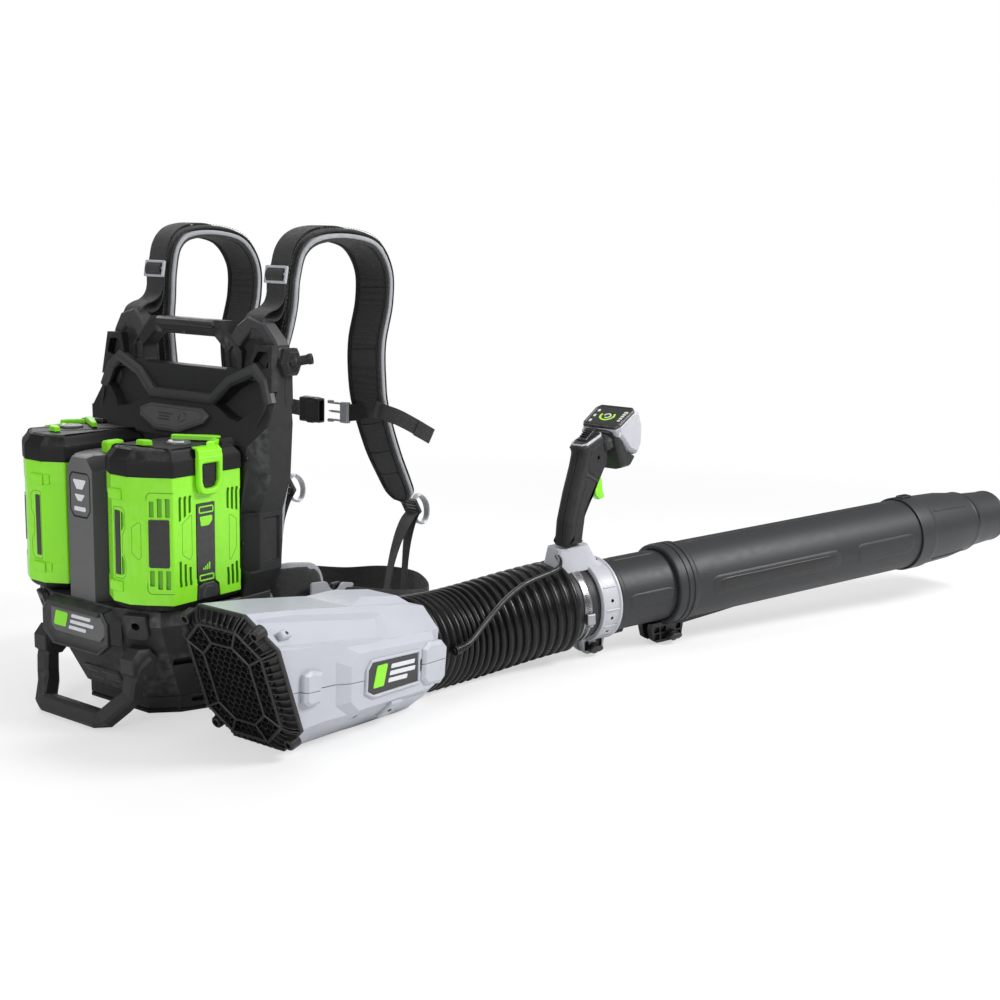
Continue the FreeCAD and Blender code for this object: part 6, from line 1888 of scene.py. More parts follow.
# lower ears of the front collar with grid pockets, and the keel
cuts = [Mesh().plug(TUBE_FRAME, 160, 64, 250, 64, n=96)]
for side in SIDES:
    for a0, a1 in ((176, 187), (190, 201), (222, 232)):
        for b0, b1 in ((-78, -69), (-91, -81)):
            pocket = rounded([(a0, b1), (a1, b1), (a1, b0), (a0, b0)], 1.2, 2)
            cuts.append(Mesh().prism(tube_side(19, side), pocket, [(1, -.3), (-6, .2)]))
# the walls of the pockets and of the bore against the tube take near-black as painted shade
lugs("tube_lugs", [(172, -60), (236, -60), (238, -72), (234, -92), (228, -96), (182, -96),
                   (174, -90), (170, -72)], 7, [(0, .6), (.6, 0), (11.2, 0), (12, .8)], cuts,
     (BLACK, NEAR_BLACK_AND_SHADE), body="tube_front", slot="tube_plastic")
keel("tube_keel", ((236, 7, 80), (250, 7, 76), (330, 6, 71.5), (380, 5, 68), (388, 4, 64)), 60,
     .8, "tube_front", 1.0)

# -------------------------------------------------------------------- nozzle
mesh = tube_turned([(768, 66.2), (768, 68.6), (769.5, 69.2), (800, 69.0), (806, 68.2),
                    (812, 66.4), (880, 63.9), (925, 58), (930, 58.6), (933, 58.6), (935, 56.2),
                    (945, 53.6), (960, 52.2), (975, 51.2), (1012, 48.8), (1015, 49.6),
                    (1020, 49.4), (1021, 48.4), (1021, 45.0), (997, 44.9), (975, 47), (925, 54),
                    (880, 60), (808, 63.6), (790, 66.9)])
piece("nozzle_shell", mesh, NOZZLE, "nozzle_end", "nozzle", slot="tube_plastic", smooth=30)
mesh = tube_turned([(933.4, 55.5), (933.4, 57.4), (934.4, 57.9), (939.4, 56.8), (940.2, 56.2),
                    (940.2, 54)])
piece("nozzle_seal", mesh, RUBBER, "nozzle_end", smooth=40)
# ribbed clip on top of the joint
frame = Frame(tube_at(787, 0, 69.2), TUBE_X, TUBE_Y, TUBE_Z)
mesh = Mesh().prism(frame, rounded([(-14, -9), (12, -7), (12, 7), (-14, 9)], 2.5, 4),
                    [(-3, 0), (2.0, 0), (3.4, 1.2)])
for s in (-8, -4, 0, 4):
    mesh.prism(frame, rect(s - .7, -5, s + .7, 5), [(3, 0), (4.2, 0), (4.6, .3)])
piece("nozzle_clip", mesh, BLACK, "nozzle_end", bevel=.3)
mesh = Mesh()
for angle in (45, 135, 225, 315):
    away, around = tube_radial(angle)
    mesh.loft([[tube_at(s, 0, 0) + away * (r + lift) + around * w
                for w, lift in ((-2.4, -2), (-1.6, 1.6), (1.6, 1.6), (2.4, -2))]
               for s, r in ((818, 66), (850, 65), (880, 63.8), (905, 60.4))])
piece("nozzle_ribs", mesh, NOZZLE, "nozzle_end", bevel=.4, slot="tube_plastic", smooth=40)

# ------------------------------------------------------------ control handle
# Outlines of the handle are (X, Z), extruded both ways from its middle plane.
HANDLE_Y = -357
HANDLE = {side: side_frame((0, HANDLE_Y, 0), side) for side in SIDES}
GRIP_OUTLINE = rounded(
    [(497, 186), (500, 226), (514, 270), (531, 312), (536, 330), (530, 340), (536, 347),
     (588, 362), (600, 345), (607, 320), (602, 305), (589, 297), (577, 277), (566, 256),
     (554, 246), (545, 234), (540, 206), (537, 186)],
    [2, 14, 18, 8, 4, 4, 3, 2, 2, 6, 3, 6, 8, 9, 7, 8, 10, 2], 4)
GRIP_SCREW = (572, 322)


def handle_prisms(*parts):
    """Mesh of (outline, steps) parts on both sides of the handle."""
    mesh = Mesh()
    for side in SIDES:
        for outline, steps in parts:
            mesh.prism(HANDLE[side], outline, steps)
    return mesh


def screw_well(side, r):
    """Stepped cutter for the grip screw."""
    return Mesh().revolve(HANDLE[side].moved(*GRIP_SCREW),
                          [(10.5, .01), (10.5, r), (15.5, r + .2), (22, r + .8), (22, .01)], n=24)


for side, name in ((-1, "grip_right"), (1, "grip_left")):
    mesh = Mesh().prism(HANDLE[side], GRIP_OUTLINE,
                        [(0.25, 0.5), (0.7, 0), (7.0, 0), (10.5, .9), (13.4, 2.5), (15.6, 4.8),
                         (16.9, 7.4)])
    trigger_slot = [(578, 297), (612, 297), (612, 244), (585, 244), (566, 258)]
    cuts = [screw_well(side, 3.0),
            Mesh().plug(HANDLE[side].moved(516, 205), 12, 2.4, 22, 2.8, n=20),
            Mesh().slab(HANDLE[side], trigger_slot, -2, 6.2)]
    # the walls of the screw well, hole and trigger slot take near-black as painted shade
    piece(name + "_shell", mesh, GRIP, "handle", name, cut=cuts, cut_mat=NEAR_BLACK_AND_SHADE, bevel=0.5,
          slot="grip_rubber", smooth=48)
lower = rounded([(507, 196), (526, 196), (530, 216), (537, 240), (551, 260), (562, 280),
                 (540, 290), (526, 262), (513, 226)], [3, 3, 8, 8, 6, 3, 3, 8, 8], 4)
upper = rounded([(544, 302), (568, 291), (580, 302), (590, 312), (586, 332), (578, 346),
                 (550, 336)], [3, 3, 5, 4, 5, 4, 4], 4)
# the walls of the screw wells take near-black as painted shade
piece("grip_panels", handle_prisms((lower, [(12, 0), (16.6, 0), (17.6, .5), (18.0, 1.6)]),
                                   (upper, [(12, 0), (16.6, 0), (17.4, .5), (17.7, 1.6)])),
      GRIP, "handle", cut=[screw_well(side, 3.4) for side in SIDES], cut_mat=NEAR_BLACK_AND_SHADE, bevel=0.3,
      slot="grip_rubber", smooth=48)
# moulded step across the middle of the grip
step = rounded([(534, 297.5), (572, 281.5), (574.5, 286), (537, 302.5)], 1.6, 3)
piece("grip_step", handle_prisms((step, [(12, 0), (17.2, 0), (18.2, .9)])), DARK_GREY, "handle",
      bevel=0.2, slot="grip_rubber")
mesh = Mesh()
for side in SIDES:
    mesh.screw(HANDLE[side].moved(*GRIP_SCREW, 10.6), 2.6, 1.0, .9)
piece("grip_screws", mesh, STEEL, "handle", slot="steel", smooth=40)

# light casing on top, black chin, and the neck down to the grip
case = [(603, 369.5), (655, 394.5), (667, 391), (679, 367), (679, 336), (667, 318), (640, 327),
        (617, 346), (602, 357)]
piece("head_case", handle_prisms((case, [(0, 0), (26, 0), (32, 2.2), (36, 6.5)])), HEAD,
      "handle", "display_head", bevel=1.0, seg=3, angle=20, slot="light_grey_plastic")
chin = [(592, 360), (619, 352), (641, 328), (668, 318), (664, 313), (650, 299), (622, 298),
        (603, 336)]
piece("head_chin", handle_prisms((chin, [(0, 0), (20, 0), (29, 2.5), (33.0, 6.0)])), BLACK,
      "handle", bevel=1.4, seg=3, angle=20)
neck = [(584, 346), (598, 365), (612, 362), (616, 346), (606, 330), (592, 330)]
piece("head_neck", handle_prisms((neck, [(0, 0), (15, 0), (21, 2), (26, 7)])), DARK_GREY,
      "handle", bevel=1.4, seg=3, angle=20)
mesh = Mesh()
for side in SIDES:
    mesh.revolve(HANDLE[side].moved(606, 357.5),
                 [(24, .01), (24, 4.6), (34.2, 4.6), (35.2, 3.8), (35.2, .01)], n=28)
piece("head_bosses", mesh, HEAD, "handle", slot="light_grey_plastic", smooth=40)

# display: tray, bezel, glass and a plain dial
slope = Vector((55, 0, 27.5)).normalized()
screen_up = Vector((-27.5, 0, 55)).normalized()
SCREEN = Frame(Vector((599, HANDLE_Y, 368.0)) + screen_up * .2, slope, Y, screen_up)
BEZEL = rounded([(-1, -30), (8, -35), (52, -36), (61.5, -30), (61.5, 30), (52, 36), (8, 35),
                 (-1, 30)], [3, 3, 4, 4, 4, 4, 3, 3], 4)
mesh = Mesh().prism(SCREEN, inset(BEZEL, -1.6), [(-11, 2.5), (-5.5, 0), (-3.0, 0), (-2.2, .8)])
piece("screen_tray", mesh, HEAD, "handle", bevel=0.3, slot="light_grey_plastic")
mesh = Mesh().prism(SCREEN, BEZEL, [(-6, 0), (1.0, 0), (2.2, .9), (2.2, 3.0), (.4, 4.2)])
piece("screen_bezel", mesh, DARK_GREY, "handle", bevel=0.2)
mesh = Mesh().prism(SCREEN, rounded([(4.0, -27), (10, -31), (51, -31.5), (57.5, -26), (57.5, 26),
                                     (51, 31.5), (10, 31), (4.0, 27)], 2.5, 4),
                    [(-1, 0), (1.2, 0), (1.5, .3)])
piece("screen_glass", mesh, GLASS, "handle", "display_screen", slot="screen", smooth=30)
MARK_LIFT = 1.45
dial = Frame(SCREEN.at(31, 2, MARK_LIFT), Y, slope, screen_up)
mesh = Mesh().revolve(dial, [(0, 10.4), (.35, 10.4), (.35, 14.0), (0, 14.0)], n=48, start=150,
                      end=380, closed=True)
marks = Mesh().revolve(dial, [(0, 4.2), (.3, 4.2), (.3, 7.0), (0, 7.0)], n=32, end=300,
                       closed=True)
mark_steps = [(0, 0), (.3, 0), (.4, .15)]
for k in range(5):
    marks.prism(SCREEN.moved(20 + k * 6.2, -25, MARK_LIFT),
                rounded(rect(-2.2, -2.5 - k * .4, 2.2, 2.5), .6, 2), mark_steps)
for k in range(3):
    marks.prism(SCREEN.moved(14 + k * 15, 25, MARK_LIFT),
                rounded(rect(-3.6, -2.2, 3.6, 2.2), 1.4, 2), mark_steps)
piece("screen_dial", mesh, GLOW, "handle", slot="screen", smooth=30)
piece("screen_marks", marks, SOFT_GLOW, "handle", slot="screen", smooth=30)

# trigger: hooked finger lever with a rounded face
trigger = rounded([(582, 289), (600, 289), (606, 280), (610, 262), (616, 250), (600, 248),
                   (588, 256), (584, 270)], [1, 2, 8, 8, 2, 3, 3, 3], 4)
piece("trigger_lever", handle_prisms((trigger, [(0, 0), (3.2, 0), (4.8, .7), (5.5, 2.0)])),
      GREEN, "trigger_arm", "trigger", slot="green_plastic", smooth=50)
# ribbed cruise rocker and the light rim round it
rocker = rounded([(541, 343), (548, 337), (581, 348), (584, 360), (580, 369), (568, 366),
                  (546, 353)], 2.0, 3)
mesh = handle_prisms((rocker, [(0, 0), (6.2, 0), (7.8, .7), (8.5, 2.0)]))
for k in range(5):
    mesh.box(Frame((551 + k * 4.0, HANDLE_Y, 357.6 + k * 2.6), (17, 0, 16), Y, (-16, 0, 17)),
             (-.7, -6.5, -1.5), (.7, 6.5, 1.2), chamfer=.3)
piece("cruise_rocker", mesh, SATIN, "lever_arm", "cruise_lever", bevel=0.4)
mesh = Mesh().hoop(Frame((561, HANDLE_Y, 352.0), (56, 0, 16), Y, (-16, 0, 56)),
                   rounded([(-29, -9), (-22, -15), (20, -15), (27, -11), (27, 11), (20, 15),
                            (-22, 15), (-29, 9)], 3, 4),
                   [(-3, 0), (1.2, 0), (1.9, .5), (1.9, 1.4), (1.2, 1.9), (-3, 1.9)])
piece("rocker_rim", mesh, HEAD, "handle", slot="light_grey_plastic", smooth=30)
# boost button on the nose
boost = Frame((680, -377, 356), Y, Z, X)
mesh = Mesh().revolve(boost, [(-8, .01), (-8, 4.2), (1.4, 4.2), (2.3, 3.4), (2.5, 1.6),
                              (2.1, .01)], n=32)
piece("boost_cap", mesh, GREEN, "boost", "boost_button", slot="green_plastic", smooth=40)
mesh = Mesh().revolve(boost, [(-3, 4.8), (.2, 4.8), (.8, 5.4), (.8, 6.4), (.2, 7.0), (-3, 7.0)],
                      n=36, closed=True)
piece("boost_ring", mesh, BLACK, "handle", smooth=40)

# -------------------------------------------------------------- soft goods
CLOTH_FRAMES = 20


def inflate(obj, cap):
    """Puff an object with pressure cloth; no vertex travels further than cap."""
    rest = [v.co.copy() for v in obj.data.vertices]
    cloth = obj.modifiers.new("cloth", "CLOTH")
    settings = cloth.settings
    settings.quality = 5
    settings.mass = 0.3
    settings.tension_stiffness = 15.0
    settings.compression_stiffness = 15.0
    settings.shear_stiffness = 5
    settings.bending_stiffness = 0.5
    settings.use_pressure = True
    settings.uniform_pressure_force = 4.0
    settings.effector_weights.gravity = 0
    cloth.point_cache.frame_start = 1
    cloth.point_cache.frame_end = CLOTH_FRAMES
    scene = bpy.context.scene
    for f in range(1, CLOTH_FRAMES + 1):
        scene.frame_set(f)
    puffed = obj.evaluated_get(bpy.context.evaluated_depsgraph_get())
    places = [v.co.copy() for v in puffed.data.vertices]
    obj.modifiers.remove(cloth)
    for v, place, start in zip(obj.data.vertices, places, rest):
        travel = place - start
        if travel.length > cap * MM:
            travel *= cap * MM / travel.length
        v.co = start + travel
    scene.frame_set(1)


def cushion(name, mesh, replaces=(), voxel=5.0, cap=3.5):
    """Fabric pad: voxel remesh, smoothing, cloth pressure and one subdivision."""
    obj = to_object(name, mesh, FABRIC)
    mod = obj.modifiers.new("remesh", "REMESH")
    mod.mode = "VOXEL"
    mod.voxel_size = voxel * MM
    mod = obj.modifiers.new("smooth", "SMOOTH")
    mod.factor = .5
    mod.iterations = 5
    bake(obj)
    inflate(obj, cap)
    mod = obj.modifiers.new("subdivide", "SUBSURF")
    mod.levels = 1
    mod.render_levels = 1
    dress(obj, replaces=replaces, slot="pad_fabric", smooth=60, weighted=False)


def band(stations, halves, low, high, radius, seg=4):
    """Rounded rectangular section swept along stations, with a half width for each."""
    rings = []
    for (p, _, wide, normal), half in zip(stations, halves):
        r = min(radius, abs(high - low) / 2 - .01, half - .01)
        pts = rounded([(-half, low), (half, low), (half, high), (-half, high)], r, seg)
        rings.append([p + wide * a + normal * b for a, b in pts])
    return Mesh().loft(rings)


# Right shoulder pad: centre line and full widths, from the frame over and down to the front.
PAD_PATH = [(92, -98, 428), (95, -108, 476), (102, -121, 520), (109, -126, 562), (112, -127, 602),
            (122, -129, 640), (150, -133, 660), (207, -137, 664), (262, -138, 652),
            (293, -138, 614), (295, -138, 564), (280, -138, 505), (281, -138, 450),
            (290, -138, 405), (318, -138, 340), (348, -138, 290), (372, -138, 252)]
PAD_WIDTHS = [44, 44, 46, 48, 50, 54, 60, 66, 68, 68, 68, 68, 68, 66, 64, 58, 50]
# Sewn slits across the inner panel: (fraction of the pad, bow).
PAD_SLITS = ((.60, 2), (.70, 3), (.84, 10), (.885, 10), (.925, 9))
# Webbing over the pad: (fraction of the pad, height over it), then its loop, (X, Z).
WEB_ON_PAD = ((.455, 5.0), (.43, 9.2), (.40, 10.4), (.37, 10.5), (.34, 10.5), (.31, 10.5),
              (.28, 10.5))
WEB_LOOP = [(98, 596), (97, 580), (92, 568), (82, 560), (69, 556), (57, 549), (51, 536),
            (55, 522), (66, 514), (78, 517)]
WEB_PLY = [(100, 606), (100, 592), (98.5, 572), (94, 556), (86, 546), (74, 542)]
# Curved tab at the pad's lower end, (X, Z).
TAB_RING = [(394, 247), (404, 254), (414, 250), (424, 240), (429, 226), (426, 212), (415, 206),
            (402, 212), (396, 222)]
# Lower strands down to the belt, for the left.
STRAND_A = [(394, 138, 230), (370, 142, 216), (346, 146, 190), (327, 149, 155), (314, 151, 115),
            (306, 153, 76)]
STRAND_B = [(398, 137, 228), (386, 138, 208), (378, 139, 180), (374, 139, 150), (371, 139, 112),
            (369, 139, 72)]
STRAND_WIDTHS = [24, 25, 25, 25, 25, 25]


def pad_stations(side):
    """Stations along a shoulder pad and its half widths, rounded off at the lower end."""
    path = spline(mirrored(PAD_PATH, side), 10)
    lengths = [0.0]
    for a, b in zip(path, path[1:]):
        lengths.append(lengths[-1] + (b - a).length)
    halves = []
    for i in range(len(path)):
        half = blend_list(PAD_WIDTHS, i / (len(path) - 1)) / 2
        left = lengths[-1] - lengths[i]
        if left < 26:
            half *= math.sqrt(max(.03, 1 - ((26 - left) / 26) ** 2))
        if lengths[i] < 10:
            half *= .82 + .18 * lengths[i] / 10
        halves.append(half)
    return stations_along(path, (0, 1, 0)), halves


def pad_trim(tag, stations, halves):
    """Piping, soft rim, slits drawn as painted shade, and seams of a shoulder pad."""
    rows = list(zip(stations, halves))
    for label, out, lift, r in (("o", -3.2, 3.8, 1.5), ("i", -8.0, -9.3, 1.7)):
        edges = [[p + wide * sign * (half + out) + normal * lift
                  for (p, _, wide, normal), half in rows if half + out > 3] for sign in (1, -1)]
        soft("pad_pipe_%s_%s" % (label, tag),
             rod(edges[0] + edges[1][::-1], r, n=10, across=(.2, .5, .84)), PIPING)
    rim = Mesh()
    for sign in (-1, 1):
        rim.join(rod([p + wide * sign * (half - 4.0) - normal * 8.6
                      for (p, _, wide, normal), half in rows if half > 10],
                     2.3, n=10, across=(.2, .5, .84)))
    soft("pad_rim_" + tag, rim, FABRIC)
    # the slits are near-black rods: painted shade in the sewn lines
    slits = Mesh()
    for fraction, bow in PAD_SLITS:
        i = int(fraction * (len(stations) - 1))
        p, tangent, wide, normal = stations[i]
        pts = []
        for j in range(13):
            a = -1 + 2 * j / 12
            pts.append(p + wide * a * (halves[i] - 9.5) - normal * 9.35
                       - tangent * bow * (1 - (a + 1) / 2) ** 1.6)
        slits.join(rod(pts, .75, n=8, across=tuple(normal)))
    soft("pad_slit_shade_" + tag, slits, NEAR_BLACK_AND_SHADE)
    for sign in (-1, 1):
        wide_rows = [row for row in rows if row[1] > 18][::2]
        stitches("pad_seam_%s_%d" % (tag, sign),
                 [p + wide * sign * (half - 7.5) + normal * 8.6
                  for (p, _, wide, normal), half in wide_rows],
                 [station[3] for station, _ in wide_rows], length=3.6, gap=2.2, r=.4)


def pad_hardware(side, tag, stations):
    """Webbing loop, slider, ladder lock, tab and lower strands."""
    right = side < 0
    y = side * 126
    over = []
    for fraction, lift in WEB_ON_PAD:
        p, _, _, normal = stations[int(fraction * (len(stations) - 1))]
        over.append(tuple(p + normal * lift))
    strap("web_loop_" + tag, over + [(x, y, z) for x, z in WEB_LOOP], 36, 1.7, (0, 1, 0),
          replaces="strap_webbing" if right else ())
    strap("web_ply_" + tag, [(x, y, z) for x, z in WEB_PLY], 36, 1.7, (0, 1, 0))
    # slider: light frame, the webbing rolled over its bar
    slider = Frame((98.0, y, 606), Y, (.17, 0, .985), (-.985, 0, .17))
    mesh = Mesh().hoop(slider, rounded(rect(-21, -12.5, 21, 12.5), 2.5, 4),
                       [(-1.6, .4), (-1.1, 0), (2.0, 0), (2.6, .6), (2.6, 3.2), (2.0, 3.8),
                        (-1.1, 3.8), (-1.6, 3.4)])
    piece("slider_" + tag, mesh, BUCKLE_GREY, replaces="strap_buckles" if right else (),
          slot="buckle_grey", smooth=40)
    piece("slider_bar_" + tag, rod([slider.at(-20, 1, 1.0), slider.at(20, 1, 1.0)], 1.7,
                                   across=(1, 0, 0)), BUCKLE_GREY, slot="buckle_grey", smooth=40)
    strap("web_roll_" + tag, [slider.at(0, b, d) for b, d in (
        (-8.5, -.6), (-6.4, 3.0), (-1, 5.0), (5.4, 3.6), (8.4, -.6))], 33, 1.6, (0, 1, 0), span=6)
    down = Vector((.55, 0, -.835))
    ladder = Frame((388, side * 138, 238), Y, down, Y.cross(down))
    mesh = Mesh().hoop(ladder, rounded(rect(-16, -15, 16, 13), 2.5, 3),
                       [(-3.4, .8), (-2.6, 0), (2.6, 0), (3.4, .8), (3.4, 2.6), (2.6, 3.4),
                        (-2.6, 3.4), (-3.4, 2.6)])
    for b in (-7.5, -1, 5.5):
        mesh.box(ladder, (-14, b - 1.5, -3.0), (14, b + 1.5, 3.2), chamfer=.8)
    piece("ladder_" + tag, mesh, BUCKLE, bevel=.3, slot="buckle_black")
    strap("ring_" + tag, [(x, side * 138, z) for x, z in TAB_RING],
          [9, 12, 13, 13, 12, 11, 10, 9, 8], 3.6, (0, 1, 0),
          replaces="strap_rings" if right else (), span=6, mat=BUCKLE_GREY, slot="buckle_grey",
          edge=1.0)
    turned = [(.5, .86, 0)] * 3
    strap("strand_a_" + tag, [(x, side * y, z) for x, y, z in STRAND_A], STRAND_WIDTHS, 1.7,
          [(0, 1, 0), (.1, 1, 0), (.35, .93, 0)] + turned)
    strap("strand_b_" + tag, [(x, side * y, z) for x, y, z in STRAND_B], STRAND_WIDTHS, 1.7,
          [(0, 1, 0), (.2, 1, 0), (.4, .9, 0)] + turned)


def shoulder_pad(side, tag):
    stations, halves = pad_stations(side)
    cushion("pad_outer_" + tag, band(stations, [max(2.5, w - 2.2) for w in halves], -0.5, 7.2, 3.0),
            replaces="shoulder_pad_" + tag, voxel=5.0, cap=1.8)
    soft("pad_edge_" + tag, band(stations, [w + .2 for w in halves], -6.4, 0.2, 3.0, 5), LINING)
    soft("pad_inner_" + tag, band(stations, [max(1.6, w - 1.5) for w in halves], -9.2, -5.2, 1.9),
         FABRIC)
    pad_trim(tag, stations, halves)
    pad_hardware(side, tag, stations)


both(shoulder_pad)

# Right hip pad centre line; right half of the belt; rise of the left half's points.
HIP_PATH = [(56, -148, 155), (84, -163, 156), (110, -173, 155), (136, -179, 150)]
BELT = [(122, -180, 142), (180, -185, 124), (262, -186, 103), (338, -178, 86), (424, -148, 70),
        (476, -82, 75)]
BELT_RISE = (2, 0, -13, -20, -10, -18)


def hip_pad(side, tag):
    path = spline(mirrored(HIP_PATH, side), 14)
    stations = stations_along(path, (0, 0, 1))
    halves = []
    for i in range(len(path)):
        k = i / (len(path) - 1)
        half = blend_list([44, 46, 44, 33], k)
        end = min(1.0, (1 - k) / .28)
        if end < 1:
            half *= math.sqrt(max(.05, 1 - (1 - end) ** 2))
        halves.append(half)
    cushion("hip_pad_" + tag, band(stations, [max(3, w - 3.5) for w in halves], -5.0, 5.0, 3.0),
            replaces="hip_pads" if side < 0 else (), voxel=5, cap=3.0)
    soft("hip_edge_" + tag, band(stations, halves, -2.6, 2.6, 2.4), LINING)
    if side < 0:
        left = [(x, -y, z + rise) for (x, y, z), rise in zip(BELT, BELT_RISE)]
        strap("belt", BELT + [(490, 0, 70)] + left[::-1], [50] + [58] * 11 + [50], 2.2,
              (0, 0, 1), replaces="waist_belt", ripple=.2)
    # belt keeper where the belt leaves the pad
    mesh = Mesh().hoop(side_frame((158, side * 184, 131), side),
                       rounded(rect(-9, -32, 9, 32), 3, 4),
                       [(-2.6, .6), (-2.0, 0), (3.0, 0), (3.6, .6), (3.6, 3.4), (3.0, 4.0),
                        (-2.0, 4.0), (-2.6, 3.4)])
    piece("keeper_" + tag, mesh, BUCKLE, slot="buckle_black", smooth=40)


both(hip_pad)

# back pad: light edged base with four puffed panels and a channel between
back_frame = Frame((75.5, 0, 182), Y, (.0312, 0, 1), X)
BACK_PAD = [(-140, 2), (140, 2), (157, 60), (160, 104), (169, 150), (168, 246), (-168, 246),
            (-169, 150), (-160, 104), (-157, 60)]
mesh = Mesh().prism(back_frame, rounded(BACK_PAD, [18, 18, 30, 20, 20, 20, 20, 20, 20, 30], 6),
                    [(-8, 2.5), (-6.5, .5), (-5, 0), (0, 0), (1.6, .6), (2.4, 2.2)])
piece("back_pad_base", mesh, LINING, replaces="back_pad", slot="pad_fabric", smooth=40)
for i, outline in enumerate(([(-143, 14), (-14, 14), (-14, 116), (-154, 116)],
                             [(14, 14), (143, 14), (154, 116), (14, 116)],
                             [(-161, 128), (-14, 128), (-14, 234), (-156, 234)],
                             [(14, 128), (161, 128), (156, 234), (14, 234)])):
    mesh = Mesh().prism(back_frame, rounded(outline, 14, 5), [(-3, 0), (6.0, 0), (9.0, 3)])
    cushion("back_cushion_%d" % i, mesh, voxel=5.5, cap=4.0)
mesh = Mesh().prism(back_frame, rounded(rect(-11, 16, 11, 232), 6, 4),
                    [(0, 0), (4.0, 0), (5.6, 2.0)])
piece("back_channel", mesh, SPACER, slot="pad_fabric", smooth=40)

# chest strap: webbing and its loose tail
strap("chest_web", [(268, 104, 400), (272, 60, 396), (270, 10, 395), (264, -16, 395)], 24, 1.6,
      (0, 0, 1))
strap("male_web", [(266, -110, 396), (273, -122, 398), (281, -134, 402)], 26, 1.8, (0, 0, 1),
      span=6)
strap("tail_web", [(272, -160, 407), (268, -176, 404), (282, -196, 396), (304, -214, 381),
                   (322, -228, 367)], 24, 1.6,
      [(.2, 0, 1), (.3, 0, 1), (.35, .1, 1), (.4, .1, 1), (.4, .1, 1)])
strap("tail_fold", [(303, -215.5, 380), (313, -223, 373), (322.6, -229, 366.4)], 24.6, 3.4,
      (.4, .1, 1))
# female buckle: hollow socket, closed root, side rails and three ribs
female = side_frame((264, 0, 395), -1)
socket = rounded(rect(-7.5, -19, 7.5, 19), 3.2, 4)
bore = rounded(rect(-5.2, -16.4, 5.2, 16.4), 2.4, 4)
mesh = Mesh().loft(layers(female, socket, [(30, .2), (32, 0), (57, 0), (58, .6)])
                   + layers(female, bore, [(58, 0), (30, 0)]), loop=True)
mesh.prism(female, socket, [(17, 1.2), (19, 0), (31.5, 0)])
for v in (-16.5, 16.5):
    mesh.prism(female.moved(0, v), rounded(rect(-8.6, -3.4, 8.6, 3.4), 1.6, 3),
               [(34, 1.0), (35, 0), (46, 0), (47.5, 1.4)])
for depth in (21, 24, 27):
    mesh.prism(female.moved(0, 0, depth), rounded(rect(-8.4, -15.5, 8.4, 15.5), 1.6, 3),
               [(-.7, .5), (-.3, 0), (.3, 0), (.7, .5)])
piece("chest_female", mesh, BUCKLE, replaces="chest_buckle_female", bevel=.4,
      slot="buckle_black")
mesh = Mesh().prism(Frame((264, -22, 413.5), -Y, X, Z),
                    rounded([(0, -5), (22, -4), (34, -2.5), (34, 2.5), (22, 4), (0, 5)], 1.5, 3),
                    [(-1, 0), (1.2, 0), (2.0, .6)])
piece("chest_tab", mesh, BUCKLE_GREY, bevel=.3, slot="buckle_grey")
# male buckle: cross bar, two prongs with hooked tips and a middle pin
male = side_frame((266, -10, 396), -1)
mesh = Mesh().prism(male, rounded(rect(-4.5, -16, 4.5, 16), 1.8, 4),
                    [(88, .4), (88.8, 0), (101.6, 0), (102.6, 1.0)])
for sign in (-1, 1):
    mesh.prism(male.moved(0, sign * 13.0), rounded(rect(-2.2, -1.5, 2.2, 1.5), .7, 2),
               [(64, 0), (89, 0)])
    mesh.prism(male.moved(0, sign * (13.0 + 1.2)), rounded(rect(-2.6, -2.6, 2.6, 2.6), .9, 2),
               [(60, 1.2), (62, 0), (70, .2), (71, 1.4)])
mesh.join(rod([male.at(0, 0, depth) for depth in (62, 66, 68, 89)], [1.0, 1.4, 1.9, 1.9], n=14,
              across=(1, 0, 0)))
piece("chest_male", mesh, BUCKLE_GREY, replaces="chest_buckle_male", bevel=.3,
      slot="buckle_grey")
mesh = Mesh()
for side in SIDES:
    mesh.hoop(Frame((291, side * 138, 402), Y, (-.22, 0, .975), (.975, 0, .22)),
              rounded(rect(-20, -15, 20, 15), 3, 4),
              [(7.5, .5), (8, 0), (11, 0), (11.6, .6), (11.6, 3.2), (11, 3.8), (8, 3.8),
               (7.5, 3.4)])
piece("chest_sliders", mesh, BUCKLE, slot="buckle_black", smooth=40)

# ------------------------------------------------------------------ stage
WHITE = (1, 1, 1, 1)


def floor_material():
    """Pale floor that melts into the backdrop away from the object."""
    mat = bpy.data.materials.new("floor_pale")
    mat.use_nodes = True
    nodes = mat.node_tree.nodes
    surface = nodes["Principled BSDF"]
    surface.inputs["Base Color"].default_value = (0.86, 0.86, 0.86, 1)
    surface.inputs["Roughness"].default_value = 0.75
    surface.inputs["Specular IOR Level"].default_value = 0.2
    shader = Shader(mat.node_tree)
    place = shader.add("NewGeometry").outputs["Position"]
    centred = shader.add("VectorMath", {0: place, 1: (0.45, -0.3, 0)}, operation="SUBTRACT")
    distance = shader.add("VectorMath", {0: centred.outputs[0]}, operation="LENGTH")
    # glow from 0.58 near the object to 1 at 2.3 m, seen by the camera only
    fade = shader.add("MapRange", {"Value": distance.outputs["Value"], "To Min": 0.58,
                                   "From Min": 1.1, "From Max": 2.3},
                      interpolation_type="SMOOTHSTEP")
    glow = shader.add("Emission", {0: WHITE, 1: 1.0})
    camera_ray = shader.add("LightPath").outputs["Is Camera Ray"]
    amount = shader.maths("MULTIPLY", fade.outputs[0], camera_ray)
    mixed = shader.add("MixShader", {0: amount, 1: surface.outputs[0], 2: glow.outputs[0]})
    mat.node_tree.links.new(mixed.outputs[0], nodes["Material Output"].inputs[0])
    return mat


